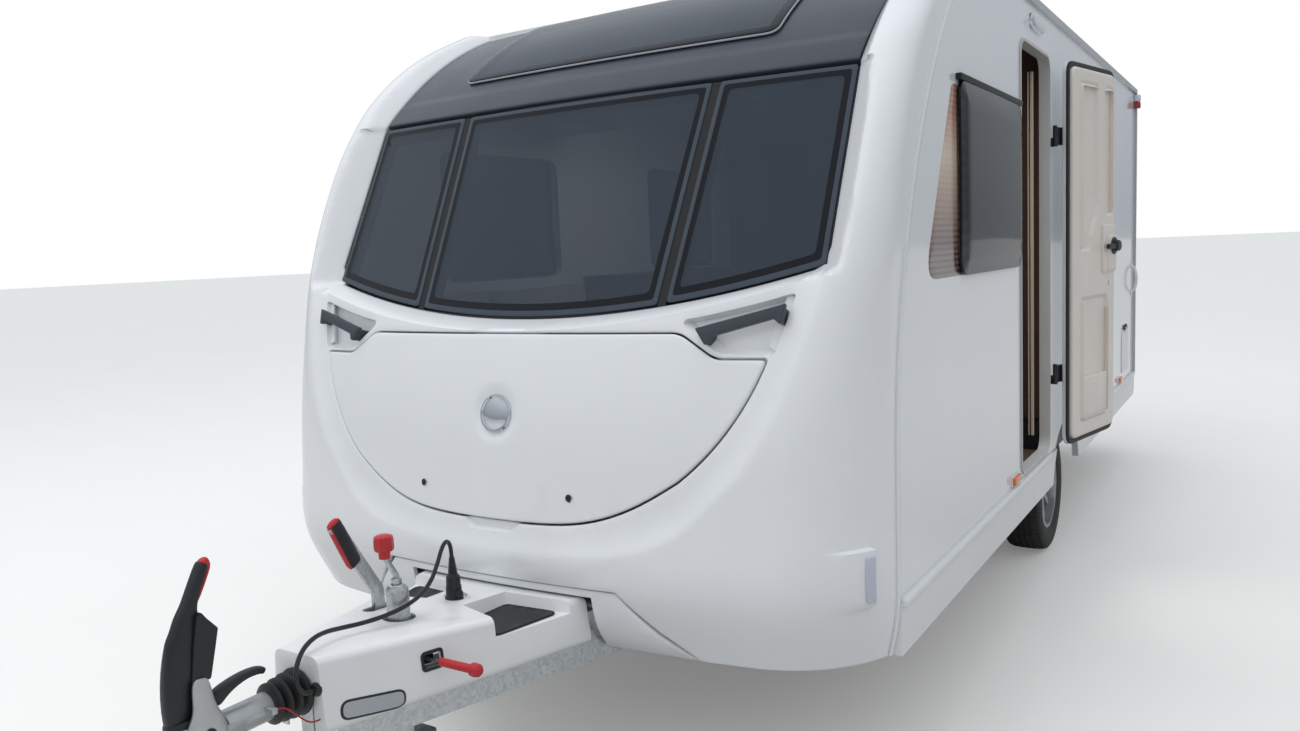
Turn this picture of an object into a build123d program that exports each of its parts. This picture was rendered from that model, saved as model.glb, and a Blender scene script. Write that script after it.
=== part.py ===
from build123d import *
import math
import os

# A touring caravan, millimetres. The origin is the centre of the tow ball in the coupling cup,
# the front faces -Y, the door side is +X and Z points up. Heights in the tables are above the
# ground, and level() turns them into the frame.

os.makedirs("parts", exist_ok=True)

# Body shell
BALL_HEIGHT = 490.0
BODY_WIDTH = 2230.0
REAR_Y = 6500.0
ROOF_HEIGHT = 2500.0
FLOOR_HEIGHT = 560.0
SKIRT_BOTTOM = 400.0
SKIRT_TOP = 550.0
SKIRT_THICK = 22.0
WALL = 30.0
ROOF_THICK = 32.0
FLOOR_THICK = 40.0
ROOF_START_Y = 2250.0
PANEL_GAP = 0.6
SEAT_GAP = 0.4
RUN_GAP = 6.0
NOTCH_GAP = 16.0

# Wheels and axle
AXLE_Y = 3880.0
TYRE_DIA = 596.0
TYRE_WIDTH = 185.0
RIM_DIA = 380.0
RIM_WIDTH = 160.0
WHEEL_INSET = 153.0
ARCH_RADIUS = 350.0
STUB_DIA = 50.0
HUB_BORE = 52.0
AXLE_TUBE_DIA = 100.0
TRAIL = 165.0

# Entrance door
DOOR_FRONT_Y = 2910.0
DOOR_REAR_Y = 3480.0
DOOR_SILL = 580.0
DOOR_HEADROOM = 210.0
DOOR_CLEAR = 8.0
DOOR_THICK = 38.0
DOOR_CORNER = 60.0
DOOR_HINGE_OUT = 22.0
DOOR_HINGE_Y = 3500.0
DOOR_OPEN = 168.0
HINGE_PIN_DIA = 12.0
HINGE_HEIGHTS = (915, 1960)
FRAME_LAP = 9.0

# Glazing
GLASS_THICK = 28.0
GLASS_GAP = 3.0
RAKE = 26.7
WINDOW_SILL = 1355.0
WINDOW_SILL_Y = 1208.0
WINDOW_TOP = 2050.0
WINDOW_MARGIN = 165.0
PANEL_BOW = 10000.0
SMILE = 3550.0

# Drawbar and coupling
BALL_DIA = 50.0
CUP_CLEAR = 0.5
DRAWTUBE_DIA = 50.0
DRAWTUBE_RISE = 38.0
RAIL_HEIGHT = 150.0
RAIL_WIDTH = 46.0
RAIL_X = 450.0
RAIL_MEET_X = 66.0
RAIL_MEET_Y = 330.0
RAIL_BEND_Y = 1500.0
COVER_FRONT_Y = 262.0
COVER_FRONT_HALF = 92.0
COVER_REAR_HALF = 332.0
COVER_REAR_Y = 1010.0
COVER_BOTTOM = 430.0
COVER_FRONT_TOP = 622.0
COVER_REAR_TOP = 566.0
COVER_WALL = 5.0
JOCKEY_Y = 597.0
JOCKEY_OUTER_DIA = 60.0
JOCKEY_INNER_DIA = 48.0
JOCKEY_WHEEL_DIA = 220.0
JOCKEY_WHEEL_WIDTH = 65.0
JOCKEY_TRAIL = 52.0


def level(height):
    """Height above the ground as a height in the frame."""
    return height - BALL_HEIGHT


HALF = BODY_WIDTH / 2
WHEEL_X = HALF - WHEEL_INSET
DOOR_TOP = ROOF_HEIGHT - DOOR_HEADROOM
DOOR_HINGE_X = HALF + DOOR_HINGE_OUT
WINDOW_HALF = HALF - WINDOW_MARGIN
FLOOR_TOP_Z = level(FLOOR_HEIGHT)
FLOOR_BOTTOM_Z = FLOOR_TOP_Z - FLOOR_THICK
ROOF_Z = level(ROOF_HEIGHT)
WALL_TOP_Z = ROOF_Z - ROOF_THICK
GROUND_Z = level(0)
WHEEL_Z = level(TYRE_DIA / 2)


def finish(part, name):
    """Labels a sub-part and writes its STEP file."""
    part.label = name
    export_step(part, f"parts/{name}.step")
    return part


# The nose: plan outlines at a few heights
# height, nose y, bow over the half width, corner radius, depth of the moulding
NOSE_SECTIONS = [
    (400, 1050, 125, 380, 30),
    (600, 965, 135, 330, 30),
    (850, 980, 135, 300, 30),
    (1250, 1060, 130, 220, 34),
    (1500, 1150, 112, 150, 150),
    (1750, 1270, 96, 110, 180),
    (2020, 1430, 90, 100, 170),
    (2160, 1549, 88, 95, 190),
    (2410, 1914, 84, 90, 230),
    (2500, 2120, 80, 85, 230),
]
NOSE_BACK_Y = 2800.0


def nose_outline(height, nose_y, bow, corner, inset, depth):
    """Plan outline of the nose at one height, moved in by a wall."""
    half = HALF - inset
    front = nose_y + depth
    with BuildSketch(Plane.XY.offset(level(height))) as outline:
        with BuildLine():
            ThreePointArc((-half, front + bow), (0, front), (half, front + bow))
            Polyline((half, front + bow), (half, NOSE_BACK_Y), (-half, NOSE_BACK_Y), (-half, front + bow))
        make_face()
        fillet(outline.vertices().group_by(Axis.Y)[0], max(corner - inset, 30))
    return outline.sketch


def nose_block(inset, solid_depth, extend=0.0):
    """The whole nose as a lofted block, moved in by a wall; extend runs it past both ends."""
    outlines = []
    for height, nose_y, bow, corner, depth in NOSE_SECTIONS:
        used = depth if solid_depth else inset
        outlines.append(nose_outline(height, nose_y, bow, corner, inset, used))
    with BuildPart() as block:
        loft(sections=outlines, ruled=solid_depth)
        if extend:
            for face in (block.faces().sort_by(Axis.Z)[0], block.faces().sort_by(Axis.Z)[-1]):
                extrude(face, amount=extend)
    return block.part


def side_prism(points_maker, x_low, x_high):
    """A solid of a side view's outline between two x values."""
    with BuildPart() as prism:
        with BuildSketch(Plane.YZ.offset(x_low)):
            with BuildLine():
                points_maker()
            make_face()
        extrude(amount=x_high - x_low)
    return prism.part


# Where the nose moulding ends and the side walls begin, as a side view
SEAM_LOW_Y = 1345.0
SEAM_BEND_Y = 1370.0
SEAM_BEND = 950.0


def seam_region(shift=0.0):
    """Side view of all that lies in front of the seam."""
    low = (SEAM_LOW_Y + shift, GROUND_Z)
    bend = (SEAM_BEND_Y + shift, level(SEAM_BEND))
    top = (ROOF_START_Y + shift, ROOF_Z)
    Line(low, bend)
    TangentArc(bend, top, tangent=(bend[0] - low[0], bend[1] - low[1]))
    Polyline(top, (top[0], ROOF_Z + 200), (-200, ROOF_Z + 200), (-200, GROUND_Z), low)


seam_front = side_prism(lambda: seam_region(0.0), -HALF - 100, HALF + 100)
seam_clear = side_prism(lambda: seam_region(PANEL_GAP), -HALF - 100, HALF + 100)

# The raked pane plane: local x is X, local y climbs the glass, z points outwards
rake = math.radians(RAKE)
pane_plane = Plane(
    origin=(0, WINDOW_SILL_Y, level(WINDOW_SILL)),
    x_dir=(1, 0, 0),
    z_dir=(0, -math.cos(rake), math.sin(rake)),
)
PANE_TOP = (WINDOW_TOP - WINDOW_SILL) / math.cos(rake)


def smile(x):
    """Climb of the windows' lower edge along the glass at a place across the front."""
    return (SMILE - math.sqrt(SMILE ** 2 - x ** 2)) / math.cos(rake)


def pane_outline(x_low, x_high, top_low, top_high, bottom_lift, top_lift, margin):
    """Outline of a pane: lower arc on the smile, straight sides and top, grown by a margin."""
    low = (x_low - margin, smile(x_low) + bottom_lift - margin)
    high = (x_high + margin, smile(x_high) + bottom_lift - margin)
    middle_x = (x_low + x_high) / 2
    middle = (middle_x, smile(middle_x) + bottom_lift - margin)
    top_right = (top_high + margin, PANE_TOP + top_lift + margin)
    top_left = (top_low - margin, PANE_TOP + top_lift + margin)
    ThreePointArc(low, middle, high)
    Polyline(high, top_right, top_left, low)


# The header above the windows: a slab bowed about a far vertical axis, like the panes
HEADER_STEPS = 6
HEADER_MID = (1880.0, 2320.0)
HEADER_END = (ROOF_START_Y, ROOF_HEIGHT - 4)
BOW_AXIS_Y = WINDOW_SILL_Y + PANEL_BOW
BOW_HALF_ANGLE = 6.5
bow_angle = math.radians(BOW_HALF_ANGLE)
bow_dir = (math.sin(bow_angle), -math.cos(bow_angle), 0)
bow_plane = Plane(
    origin=(0, BOW_AXIS_Y, 0),
    x_dir=bow_dir,
    z_dir=(bow_dir[1], -bow_dir[0], 0),
)


def bowed(points_maker):
    """Solid of a side view swept across the front about the far vertical axis."""
    with BuildPart() as slab:
        with BuildSketch(bow_plane):
            with BuildLine():
                points_maker()
            make_face()
        revolve(axis=Axis((0, BOW_AXIS_Y, 0), (0, 0, 1)), revolution_arc=-2 * BOW_HALF_ANGLE)
    return slab.part


def on_bow(y, z):
    """Side view place in the bow plane's own coordinates."""
    return (BOW_AXIS_Y - y, z)


window_top_y = WINDOW_SILL_Y + (WINDOW_TOP - WINDOW_SILL) * math.tan(rake)
normal_y = math.cos(rake)
normal_z = -math.sin(rake)


def glass_profile(low, high, thick, proud=0.0):
    """Side view of a raked slab between two heights."""
    corners = []
    for height in (low, high):
        y = WINDOW_SILL_Y + (height - WINDOW_SILL) * math.tan(rake)
        corners.append((y - proud * normal_y, level(height) - proud * normal_z))
    (y0, z0), (y1, z1) = corners
    Polyline(
        on_bow(y0, z0),
        on_bow(y1, z1),
        on_bow(y1 + thick * normal_y, z1 + thick * normal_z),
        on_bow(y0 + thick * normal_y, z0 + thick * normal_z),
        on_bow(y0, z0),
    )


def header_profile(lift, thick):
    """Side view of the header slab: an arc from the windows' top to the roof."""
    start = (window_top_y + 5, level(WINDOW_TOP) + 10 + lift)
    middle = (HEADER_MID[0], level(HEADER_MID[1]) + lift)
    end = (HEADER_END[0] - PANEL_GAP, level(HEADER_END[1]) + lift)
    inner_start = (start[0] + thick * normal_y, start[1] + thick * normal_z)
    inner_middle = (middle[0] + thick * 0.55, middle[1] - thick * 0.83)
    inner_end = (end[0], end[1] - thick)
    outer = ThreePointArc(on_bow(*start), on_bow(*middle), on_bow(*end), mode=Mode.PRIVATE)
    inner = ThreePointArc(on_bow(*inner_start), on_bow(*inner_middle), on_bow(*inner_end), mode=Mode.PRIVATE)
    shares = [step / HEADER_STEPS for step in range(HEADER_STEPS + 1)]
    Polyline(*[outer @ share for share in shares], *[inner @ share for share in reversed(shares)], outer @ 0)


# Gas locker lid outline, as a front view
LID_TOP = 1312.0
LID_STEP_X = 575.0
LID_EAR_X = 700.0
LID_EAR = 1242.0
LID_HALF = 843.0
LID_SIDE = (664.0, 963.0)
LID_LOW = (300.0, 776.0)
LID_BOTTOM = 769.0
LID_GAP = 7.0
LID_THICK = 24.0


def lid_outline(grow):
    """Front view of the lid, grown by a margin."""
    top = level(LID_TOP) + grow
    ear = level(LID_EAR) + grow
    half = LID_HALF + grow
    side = (LID_SIDE[0] + grow * 0.8, level(LID_SIDE[1]) - grow * 0.6)
    low = (LID_LOW[0], level(LID_LOW[1]) - grow)
    bottom = (0, level(LID_BOTTOM) - grow)
    Polyline(
        (-half, ear),
        (-LID_EAR_X, ear),
        (-LID_STEP_X, top),
        (LID_STEP_X, top),
        (LID_EAR_X, ear),
        (half, ear),
    )
    ThreePointArc((half, ear), side, low)
    ThreePointArc(low, bottom, (-low[0], low[1]))
    ThreePointArc((-low[0], low[1]), (-side[0], side[1]), (-half, ear))


def lid_prism(grow, y_low, y_high):
    """The lid's outline as a solid along Y."""
    with BuildPart() as prism:
        with BuildSketch(Plane.XZ.offset(-y_low)):
            with BuildLine():
                lid_outline(grow)
            make_face()
        extrude(amount=-(y_high - y_low))
    return prism.part


# Hinge of the lid: knuckles on the moulding in two notches of the lid, and the lid's pins
LID_HINGE_Y = 1084.0
LID_HINGE = 1306.0
LID_HINGE_X = 90.0
LID_PIN_DIA = 6.0
PIN_CLEAR = 0.1
KNUCKLE_DIA = 14.0
KNUCKLE_LONG = 24.0
LID_NOTCH = (30.0, 1294.0)


def lid_knuckles():
    """Two knuckles that reach down from the moulding's edge, with their necks and holes."""
    with BuildPart() as knuckles:
        for x in (-LID_HINGE_X, LID_HINGE_X):
            with BuildSketch(Plane.YZ.offset(x - KNUCKLE_LONG / 2)):
                with Locations((LID_HINGE_Y, level(LID_HINGE))):
                    Circle(KNUCKLE_DIA / 2)
                with BuildLine():
                    Polyline(
                        (LID_HINGE_Y - 4, level(LID_HINGE)),
                        (LID_HINGE_Y + 5, level(LID_HINGE) + 15.5),
                        (LID_HINGE_Y + 20, level(LID_HINGE) + 15.5),
                        (LID_HINGE_Y + 7, level(LID_HINGE)),
                        (LID_HINGE_Y - 4, level(LID_HINGE)),
                    )
                make_face()
                with Locations((LID_HINGE_Y, level(LID_HINGE))):
                    Circle(LID_PIN_DIA / 2 + PIN_CLEAR, mode=Mode.SUBTRACT)
            extrude(amount=KNUCKLE_LONG)
    return knuckles.part


# The lower valance fills a bay in the moulding's lower edge: half width and height of its corners
VALANCE = [(640, 396), (540, 480), (430, 596)]
VALANCE_SET = 10.0
COVER_NOTCH_HALF = COVER_REAR_HALF + NOTCH_GAP
COVER_NOTCH_TOP = COVER_REAR_TOP + 8.0


def valance_prism(grow):
    """The valance's bay as a solid along Y."""
    with BuildPart() as prism:
        with BuildSketch(Plane.XZ.offset(-800)):
            with BuildLine():
                right = [(x + grow, level(height) + grow) for x, height in VALANCE]
                left = [(-x, z) for x, z in reversed(right)]
                Polyline(*right, *left, right[0])
            make_face()
        extrude(amount=-800)
    return prism.part


# Scoops behind the front grab handles: centre x and height, length, height, tilt
SCOOP_X = 762.0
SCOOP = 1318.0
SCOOP_LENGTH = 300.0
SCOOP_HIGH = 96.0
SCOOP_TILT = 14.0
SCOOP_DEPTH = 34.0


def handle_scoops():
    """The two scoops, shallow pockets that follow the nose."""
    with BuildPart() as scoops:
        for side in (1, -1):
            with BuildSketch(Plane.XZ.offset(-800)):
                with Locations((side * SCOOP_X, level(SCOOP))):
                    SlotOverall(SCOOP_LENGTH, SCOOP_HIGH, rotation=side * SCOOP_TILT)
            extrude(amount=-800)
        add(nose_block(SCOOP_DEPTH, False, extend=20), mode=Mode.SUBTRACT)
    return scoops.part


nose_outer = nose_block(0.0, False)
nose_inner = nose_block(WALL, True, extend=300)

with BuildPart() as front_moulding:
    add(nose_outer)
    add(nose_inner, mode=Mode.SUBTRACT)
    add(seam_front, mode=Mode.INTERSECT)
    # window and header well, flared outwards
    with BuildSketch(pane_plane):
        with BuildLine():
            pane_outline(-WINDOW_HALF, WINDOW_HALF, -WINDOW_HALF, WINDOW_HALF, 0, 1100, GLASS_GAP)
        make_face()
    extrude(amount=240, taper=-42, mode=Mode.SUBTRACT)
    with BuildSketch(pane_plane):
        with BuildLine():
            pane_outline(-WINDOW_HALF, WINDOW_HALF, -WINDOW_HALF, WINDOW_HALF, 0, 1100, GLASS_GAP)
        make_face()
    extrude(amount=-600, mode=Mode.SUBTRACT)
    # opening of the gas locker, the bay of the lower valance and the scoops of the handles
    add(lid_prism(LID_GAP, 800, 1500), mode=Mode.SUBTRACT)
    add(valance_prism(PANEL_GAP), mode=Mode.SUBTRACT)
    add(handle_scoops(), mode=Mode.SUBTRACT)
    add(lid_knuckles())
finish(front_moulding.part, "front_moulding")

with BuildPart() as front_valance:
    add(valance_prism(0.0))
    add(nose_block(VALANCE_SET, False), mode=Mode.INTERSECT)
    add(nose_block(VALANCE_SET + 20, False, extend=20), mode=Mode.SUBTRACT)
    with Locations((0, 1050, level(SKIRT_BOTTOM - 10))):
        Box(2 * COVER_NOTCH_HALF, 700, 2 * (COVER_NOTCH_TOP - SKIRT_BOTTOM + 10), mode=Mode.SUBTRACT)
finish(front_valance.part, "front_valance")

with BuildPart() as gas_locker_lid:
    add(lid_prism(0, 800, 1500))
    add(nose_block(-4.0, False), mode=Mode.INTERSECT)
    add(nose_block(LID_THICK - 4.0, False, extend=20), mode=Mode.SUBTRACT)
    notch_width, notch_low = LID_NOTCH
    with Locations(*[(x, LID_HINGE_Y, level(notch_low) + 20) for x in (-LID_HINGE_X, LID_HINGE_X)]):
        Box(notch_width, 100, 40, mode=Mode.SUBTRACT)
    for x in (-LID_HINGE_X, LID_HINGE_X):
        with BuildSketch(Plane.YZ.offset(x - notch_width / 2 - 6)):
            with Locations((LID_HINGE_Y, level(LID_HINGE))):
                Circle(LID_PIN_DIA / 2)
        extrude(amount=notch_width + 12)
finish(gas_locker_lid.part, "gas_locker_lid")

# Front panes: x at the sill and at the top, both ends
PANES = [
    (-462, 462, -493, 493),
    (487, WINDOW_HALF, 518, WINDOW_HALF),
    (-WINDOW_HALF, -487, -WINDOW_HALF, -518),
]
pane_slab = bowed(lambda: glass_profile(1200, 2300, GLASS_THICK))
with BuildPart() as front_windows:
    for x_low, x_high, top_low, top_high in PANES:
        with BuildSketch(pane_plane.offset(60)):
            with BuildLine():
                pane_outline(x_low, x_high, top_low, top_high, 0, 0, -GLASS_GAP / 2)
            make_face()
        extrude(amount=-200)
    add(pane_slab, mode=Mode.INTERSECT)
finish(front_windows.part, "front_windows")

# Seal and pillars round the panes: a lip behind each pane's edge, filled out between the panes
SEAL_LAP = 34.0
SEAL_BEHIND = 16.0
seal_slab = bowed(lambda: glass_profile(1200, 2300, GLASS_THICK + SEAL_BEHIND - 3, proud=-3.0))
with BuildPart() as window_surround:
    with BuildSketch(pane_plane.offset(60)):
        with BuildLine():
            pane_outline(-WINDOW_HALF, WINDOW_HALF, -WINDOW_HALF, WINDOW_HALF, 0, 0, GLASS_GAP - SEAT_GAP)
        make_face()
    extrude(amount=-200)
    add(seal_slab, mode=Mode.INTERSECT)
    for x_low, x_high, top_low, top_high in PANES:
        with BuildSketch(pane_plane.offset(60)):
            with BuildLine():
                pane_outline(x_low, x_high, top_low, top_high, 0, 0, -SEAL_LAP)
            make_face()
        extrude(amount=-200, mode=Mode.SUBTRACT)
    pane_room = bowed(lambda: glass_profile(1200, 2300, GLASS_THICK + SEAT_GAP + 10, proud=10.0))
    for x_low, x_high, top_low, top_high in PANES:
        with BuildPart(mode=Mode.PRIVATE) as pane_hole:
            with BuildSketch(pane_plane.offset(60)):
                with BuildLine():
                    pane_outline(x_low, x_high, top_low, top_high, 0, 0, SEAT_GAP - GLASS_GAP / 2)
                make_face()
            extrude(amount=-200)
            add(pane_room, mode=Mode.INTERSECT)
        add(pane_hole.part, mode=Mode.SUBTRACT)
finish(window_surround.part, "window_surround")

header_slab = bowed(lambda: header_profile(0.0, GLASS_THICK))
SKYLIGHT_HALF = 630.0
SKYLIGHT_FRONT_Y = 1714.0
SKYLIGHT_REAR_Y = 2160.0
SKYLIGHT_CORNER = 70.0


def skylight_prism(margin):
    """Plan outline of the skylight as a tall solid."""
    with BuildPart() as prism:
        with BuildSketch(Plane.XY.offset(level(2000))):
            with Locations((0, (SKYLIGHT_FRONT_Y + SKYLIGHT_REAR_Y) / 2)):
                RectangleRounded(
                    2 * (SKYLIGHT_HALF + margin),
                    SKYLIGHT_REAR_Y - SKYLIGHT_FRONT_Y + 2 * margin,
                    SKYLIGHT_CORNER,
                )
        extrude(amount=700)
    return prism.part


with BuildPart() as front_header:
    with Locations((0, ROOF_START_Y - PANEL_GAP - 600, level(2300))):
        Box(2 * WINDOW_HALF, 1200, 900)
    add(header_slab, mode=Mode.INTERSECT)
    add(skylight_prism(0), mode=Mode.SUBTRACT)
finish(front_header.part, "front_header")

with BuildPart() as front_skylight:
    add(bowed(lambda: header_profile(10.0, GLASS_THICK)))
    add(skylight_prism(-SEAT_GAP), mode=Mode.INTERSECT)
finish(front_skylight.part, "front_skylight")

# Side walls
WALL_BOTTOM_Z = level(SKIRT_TOP)
WALL_REAR_Y = REAR_Y - WALL
# side, y low, y high, height low, height high, corner: window openings
SIDE_WINDOWS = [
    (1, 2020, 2850, 1440, 2010, 60),
    (-1, 2020, 2850, 1440, 2010, 60),
    (-1, 3700, 4500, 1440, 2010, 60),
    (-1, 5650, 6050, 1560, 2010, 60),
]
WINDOW_LAP = 22.0
WINDOW_PROUD = 24.0
# width, height and sill height of the rear window
REAR_WINDOW = (1300, 560, 1430)
# side, y low, y high, height low, height high, name: service hatches
HATCHES = [
    (1, 5880, 6200, 620, 890, "locker_hatch_nearside"),
    (-1, 1560, 1900, 640, 960, "locker_hatch_offside"),
    (-1, 4850, 5300, 640, 1000, "cassette_hatch_offside"),
]
HATCH_GAP = 3.0


def wall_outline():
    """Side view of a wall behind the seam."""
    Polyline(
        (1200, WALL_BOTTOM_Z),
        (WALL_REAR_Y - PANEL_GAP, WALL_BOTTOM_Z),
        (WALL_REAR_Y - PANEL_GAP, WALL_TOP_Z - PANEL_GAP),
        (1200, WALL_TOP_Z - PANEL_GAP),
        (1200, WALL_BOTTOM_Z),
    )


def opening(y_low, y_high, low, high, corner, grow=0.0):
    """A rounded opening as a side view sketch."""
    with Locations(((y_low + y_high) / 2, level((low + high) / 2))):
        RectangleRounded(y_high - y_low + 2 * grow, high - low + 2 * grow, corner)


def arch_prism(radius, x_low, x_high):
    """Solid of the wheel arch's opening: a half disc on straight legs."""
    with BuildPart() as prism:
        with BuildSketch(Plane.YZ.offset(x_low)):
            with Locations((AXLE_Y, WHEEL_Z)):
                Circle(radius)
            with Locations((AXLE_Y, WHEEL_Z - radius / 2)):
                Rectangle(2 * radius, radius)
        extrude(amount=x_high - x_low)
    return prism.part


for side, name in ((1, "nearside_wall"), (-1, "offside_wall")):
    inner_x = min(side * (HALF - WALL), side * HALF)
    with BuildPart() as wall:
        with BuildSketch(Plane.YZ.offset(inner_x)):
            with BuildLine():
                wall_outline()
            make_face()
        extrude(amount=WALL)
        with BuildSketch(Plane.YZ.offset(inner_x - 5)):
            for which, y_low, y_high, low, high, corner in SIDE_WINDOWS:
                if which == side:
                    opening(y_low, y_high, low, high, corner)
            for which, y_low, y_high, low, high, _ in HATCHES:
                if which == side:
                    opening(y_low, y_high, low, high, 20, HATCH_GAP)
            if side == 1:
                opening(DOOR_FRONT_Y, DOOR_REAR_Y, DOOR_SILL, DOOR_TOP, DOOR_CORNER)
        extrude(amount=WALL + 10, mode=Mode.SUBTRACT)
        add(seam_clear, mode=Mode.SUBTRACT)
        add(arch_prism(ARCH_RADIUS, -HALF - 50, HALF + 50), mode=Mode.SUBTRACT)
    finish(wall.part, name)

with BuildPart() as body_windows:
    for side, y_low, y_high, low, high, corner in SIDE_WINDOWS:
        skin_x = min(side * (HALF + 0.3), side * (HALF + WINDOW_PROUD))
        with BuildSketch(Plane.YZ.offset(skin_x)):
            opening(y_low, y_high, low, high, corner + WINDOW_LAP, WINDOW_LAP)
        extrude(amount=WINDOW_PROUD - 0.3)
    with BuildSketch(Plane.XZ.offset(-(REAR_Y + 0.3))):
        with Locations((0, level(REAR_WINDOW[2] + REAR_WINDOW[1] / 2))):
            RectangleRounded(REAR_WINDOW[0] + 2 * WINDOW_LAP, REAR_WINDOW[1] + 2 * WINDOW_LAP, 82)
    extrude(amount=-(WINDOW_PROUD - 0.3))
finish(body_windows.part, "body_windows")

# Each hatch hangs in its opening from a hinge along its top edge
HATCH_PROUD = 4.0
HATCH_AXIS = 8.0
HATCH_PIN_DIA = 5.0
HATCH_KNUCKLE_DIA = 11.0
for side, y_low, y_high, low, high, name in HATCHES:
    middle_y = (y_low + y_high) / 2
    hinge_spot = (side * (HALF + HATCH_AXIS), level(high) + HATCH_AXIS)
    with BuildPart() as hatch:
        with BuildSketch(Plane.YZ.offset(min(side * (HALF - WALL), side * (HALF + HATCH_PROUD)))):
            opening(y_low, y_high, low, high, 18)
        extrude(amount=WALL + HATCH_PROUD)
        with BuildSketch(Plane.XZ.offset(-(middle_y - 30))):
            with Locations(hinge_spot):
                Circle(HATCH_KNUCKLE_DIA / 2)
            with Locations((side * (HALF + HATCH_PROUD + 2), level(high) - 6)):
                Rectangle(6, 28)
            with Locations(hinge_spot):
                Circle(HATCH_PIN_DIA / 2 + PIN_CLEAR, mode=Mode.SUBTRACT)
        extrude(amount=-60)
    finish(hatch.part, name)

# Roof and rear
ROOF_VENTS = [(0, 2900, 400, 400), (250, 4700, 400, 400), (-650, 5900, 280, 280)]
with BuildPart() as roof:
    with Locations((0, (ROOF_START_Y + REAR_Y) / 2, ROOF_Z - ROOF_THICK / 2)):
        Box(BODY_WIDTH, REAR_Y - ROOF_START_Y, ROOF_THICK)
    fillet(roof.edges().filter_by(Axis.Y).group_by(Axis.Z)[-1], 22)
    fillet(roof.faces().sort_by(Axis.Y)[-1].edges().sort_by(Axis.Z)[-1], 22)
    with Locations(*[(x, y, ROOF_Z) for x, y, _, _ in ROOF_VENTS]):
        Box(240, 240, 200, mode=Mode.SUBTRACT)
finish(roof.part, "roof")

# Roof vents and the aerial dome
AERIAL_Y = 3950.0
AERIAL_X = 780.0
with BuildPart() as roof_fittings:
    for x, y, length, width in ROOF_VENTS:
        with BuildSketch(Plane.XY.offset(ROOF_Z + 0.3)):
            with Locations((x, y)):
                RectangleRounded(width, length, 45)
        extrude(amount=60, taper=12)
    with BuildSketch(Plane(origin=(AERIAL_X, AERIAL_Y, ROOF_Z + 0.3), x_dir=(1, 0, 0), z_dir=(0, -1, 0))):
        with BuildLine():
            Polyline((0, 0), (60, 0), (42, 26), (95, 74), (84, 94), (50, 104), (0, 107), (0, 0))
        make_face()
    revolve(axis=Axis((AERIAL_X, AERIAL_Y, 0), (0, 0, 1)))
finish(roof_fittings.part, "roof_fittings")

with BuildPart() as rear_panel:
    with Locations((0, REAR_Y - WALL / 2, (WALL_TOP_Z + level(SKIRT_BOTTOM)) / 2)):
        Box(BODY_WIDTH, WALL, WALL_TOP_Z - level(SKIRT_BOTTOM) - 2 * PANEL_GAP)
    with BuildSketch(Plane.XZ.offset(-(REAR_Y - WALL - 5))):
        with Locations((0, level(REAR_WINDOW[2] + REAR_WINDOW[1] / 2))):
            RectangleRounded(REAR_WINDOW[0], REAR_WINDOW[1], 60)
    extrude(amount=-(WALL + 10), mode=Mode.SUBTRACT)
finish(rear_panel.part, "rear_panel")

# Floor, with the wells of the wheels
WELL_INNER_X = WHEEL_X - TYRE_WIDTH / 2 - 55
WELL_HALF_Y = ARCH_RADIUS + 2
with BuildPart() as floor:
    with Locations((0, (1420 + WALL_REAR_Y) / 2, FLOOR_BOTTOM_Z + FLOOR_THICK / 2)):
        Box(2 * (HALF - WALL - PANEL_GAP), WALL_REAR_Y - 1420 - 2 * PANEL_GAP, FLOOR_THICK)
    for side in (1, -1):
        with Locations((side * (WELL_INNER_X + 150), AXLE_Y, FLOOR_TOP_Z)):
            Box(300, 2 * WELL_HALF_Y, 200, mode=Mode.SUBTRACT)
finish(floor.part, "floor")

WELL_SKIN = 4.0
WELL_TOP = 690.0
with BuildPart() as wheel_housings:
    for side in (1, -1):
        width = HALF - WALL - PANEL_GAP - WELL_INNER_X
        centre_x = side * (WELL_INNER_X + width / 2)
        height = level(WELL_TOP) - FLOOR_BOTTOM_Z
        with Locations((centre_x, AXLE_Y, FLOOR_BOTTOM_Z + height / 2)):
            Box(width, 2 * (WELL_HALF_Y - PANEL_GAP), height)
        inner_half_y = WELL_HALF_Y - PANEL_GAP - WELL_SKIN
        with Locations((centre_x, AXLE_Y, FLOOR_BOTTOM_Z + (height - WELL_SKIN) / 2)):
            Box(width - 2 * WELL_SKIN, 2 * inner_half_y, height - WELL_SKIN, mode=Mode.SUBTRACT)
finish(wheel_housings.part, "wheel_housings")

# Skirts along the sides
with BuildPart() as skirts:
    for side in (1, -1):
        low_x = min(side * (HALF - SKIRT_THICK), side * (HALF + 8))
        with BuildSketch(Plane.YZ.offset(low_x)):
            with BuildLine():
                Polyline(
                    (SEAM_BEND_Y, level(SKIRT_BOTTOM)),
                    (WALL_REAR_Y - PANEL_GAP, level(SKIRT_BOTTOM)),
                    (WALL_REAR_Y - PANEL_GAP, WALL_BOTTOM_Z - PANEL_GAP),
                    (SEAM_BEND_Y, WALL_BOTTOM_Z - PANEL_GAP),
                    (SEAM_BEND_Y, level(SKIRT_BOTTOM)),
                )
            make_face()
        extrude(amount=SKIRT_THICK + 8)
    add(arch_prism(ARCH_RADIUS, -HALF - 50, HALF + 50), mode=Mode.SUBTRACT)
finish(skirts.part, "skirts")

# Chassis: two pressed rails that run together to the drawbar, and cross members
rail_bottom = FLOOR_BOTTOM_Z - RAIL_HEIGHT


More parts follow.
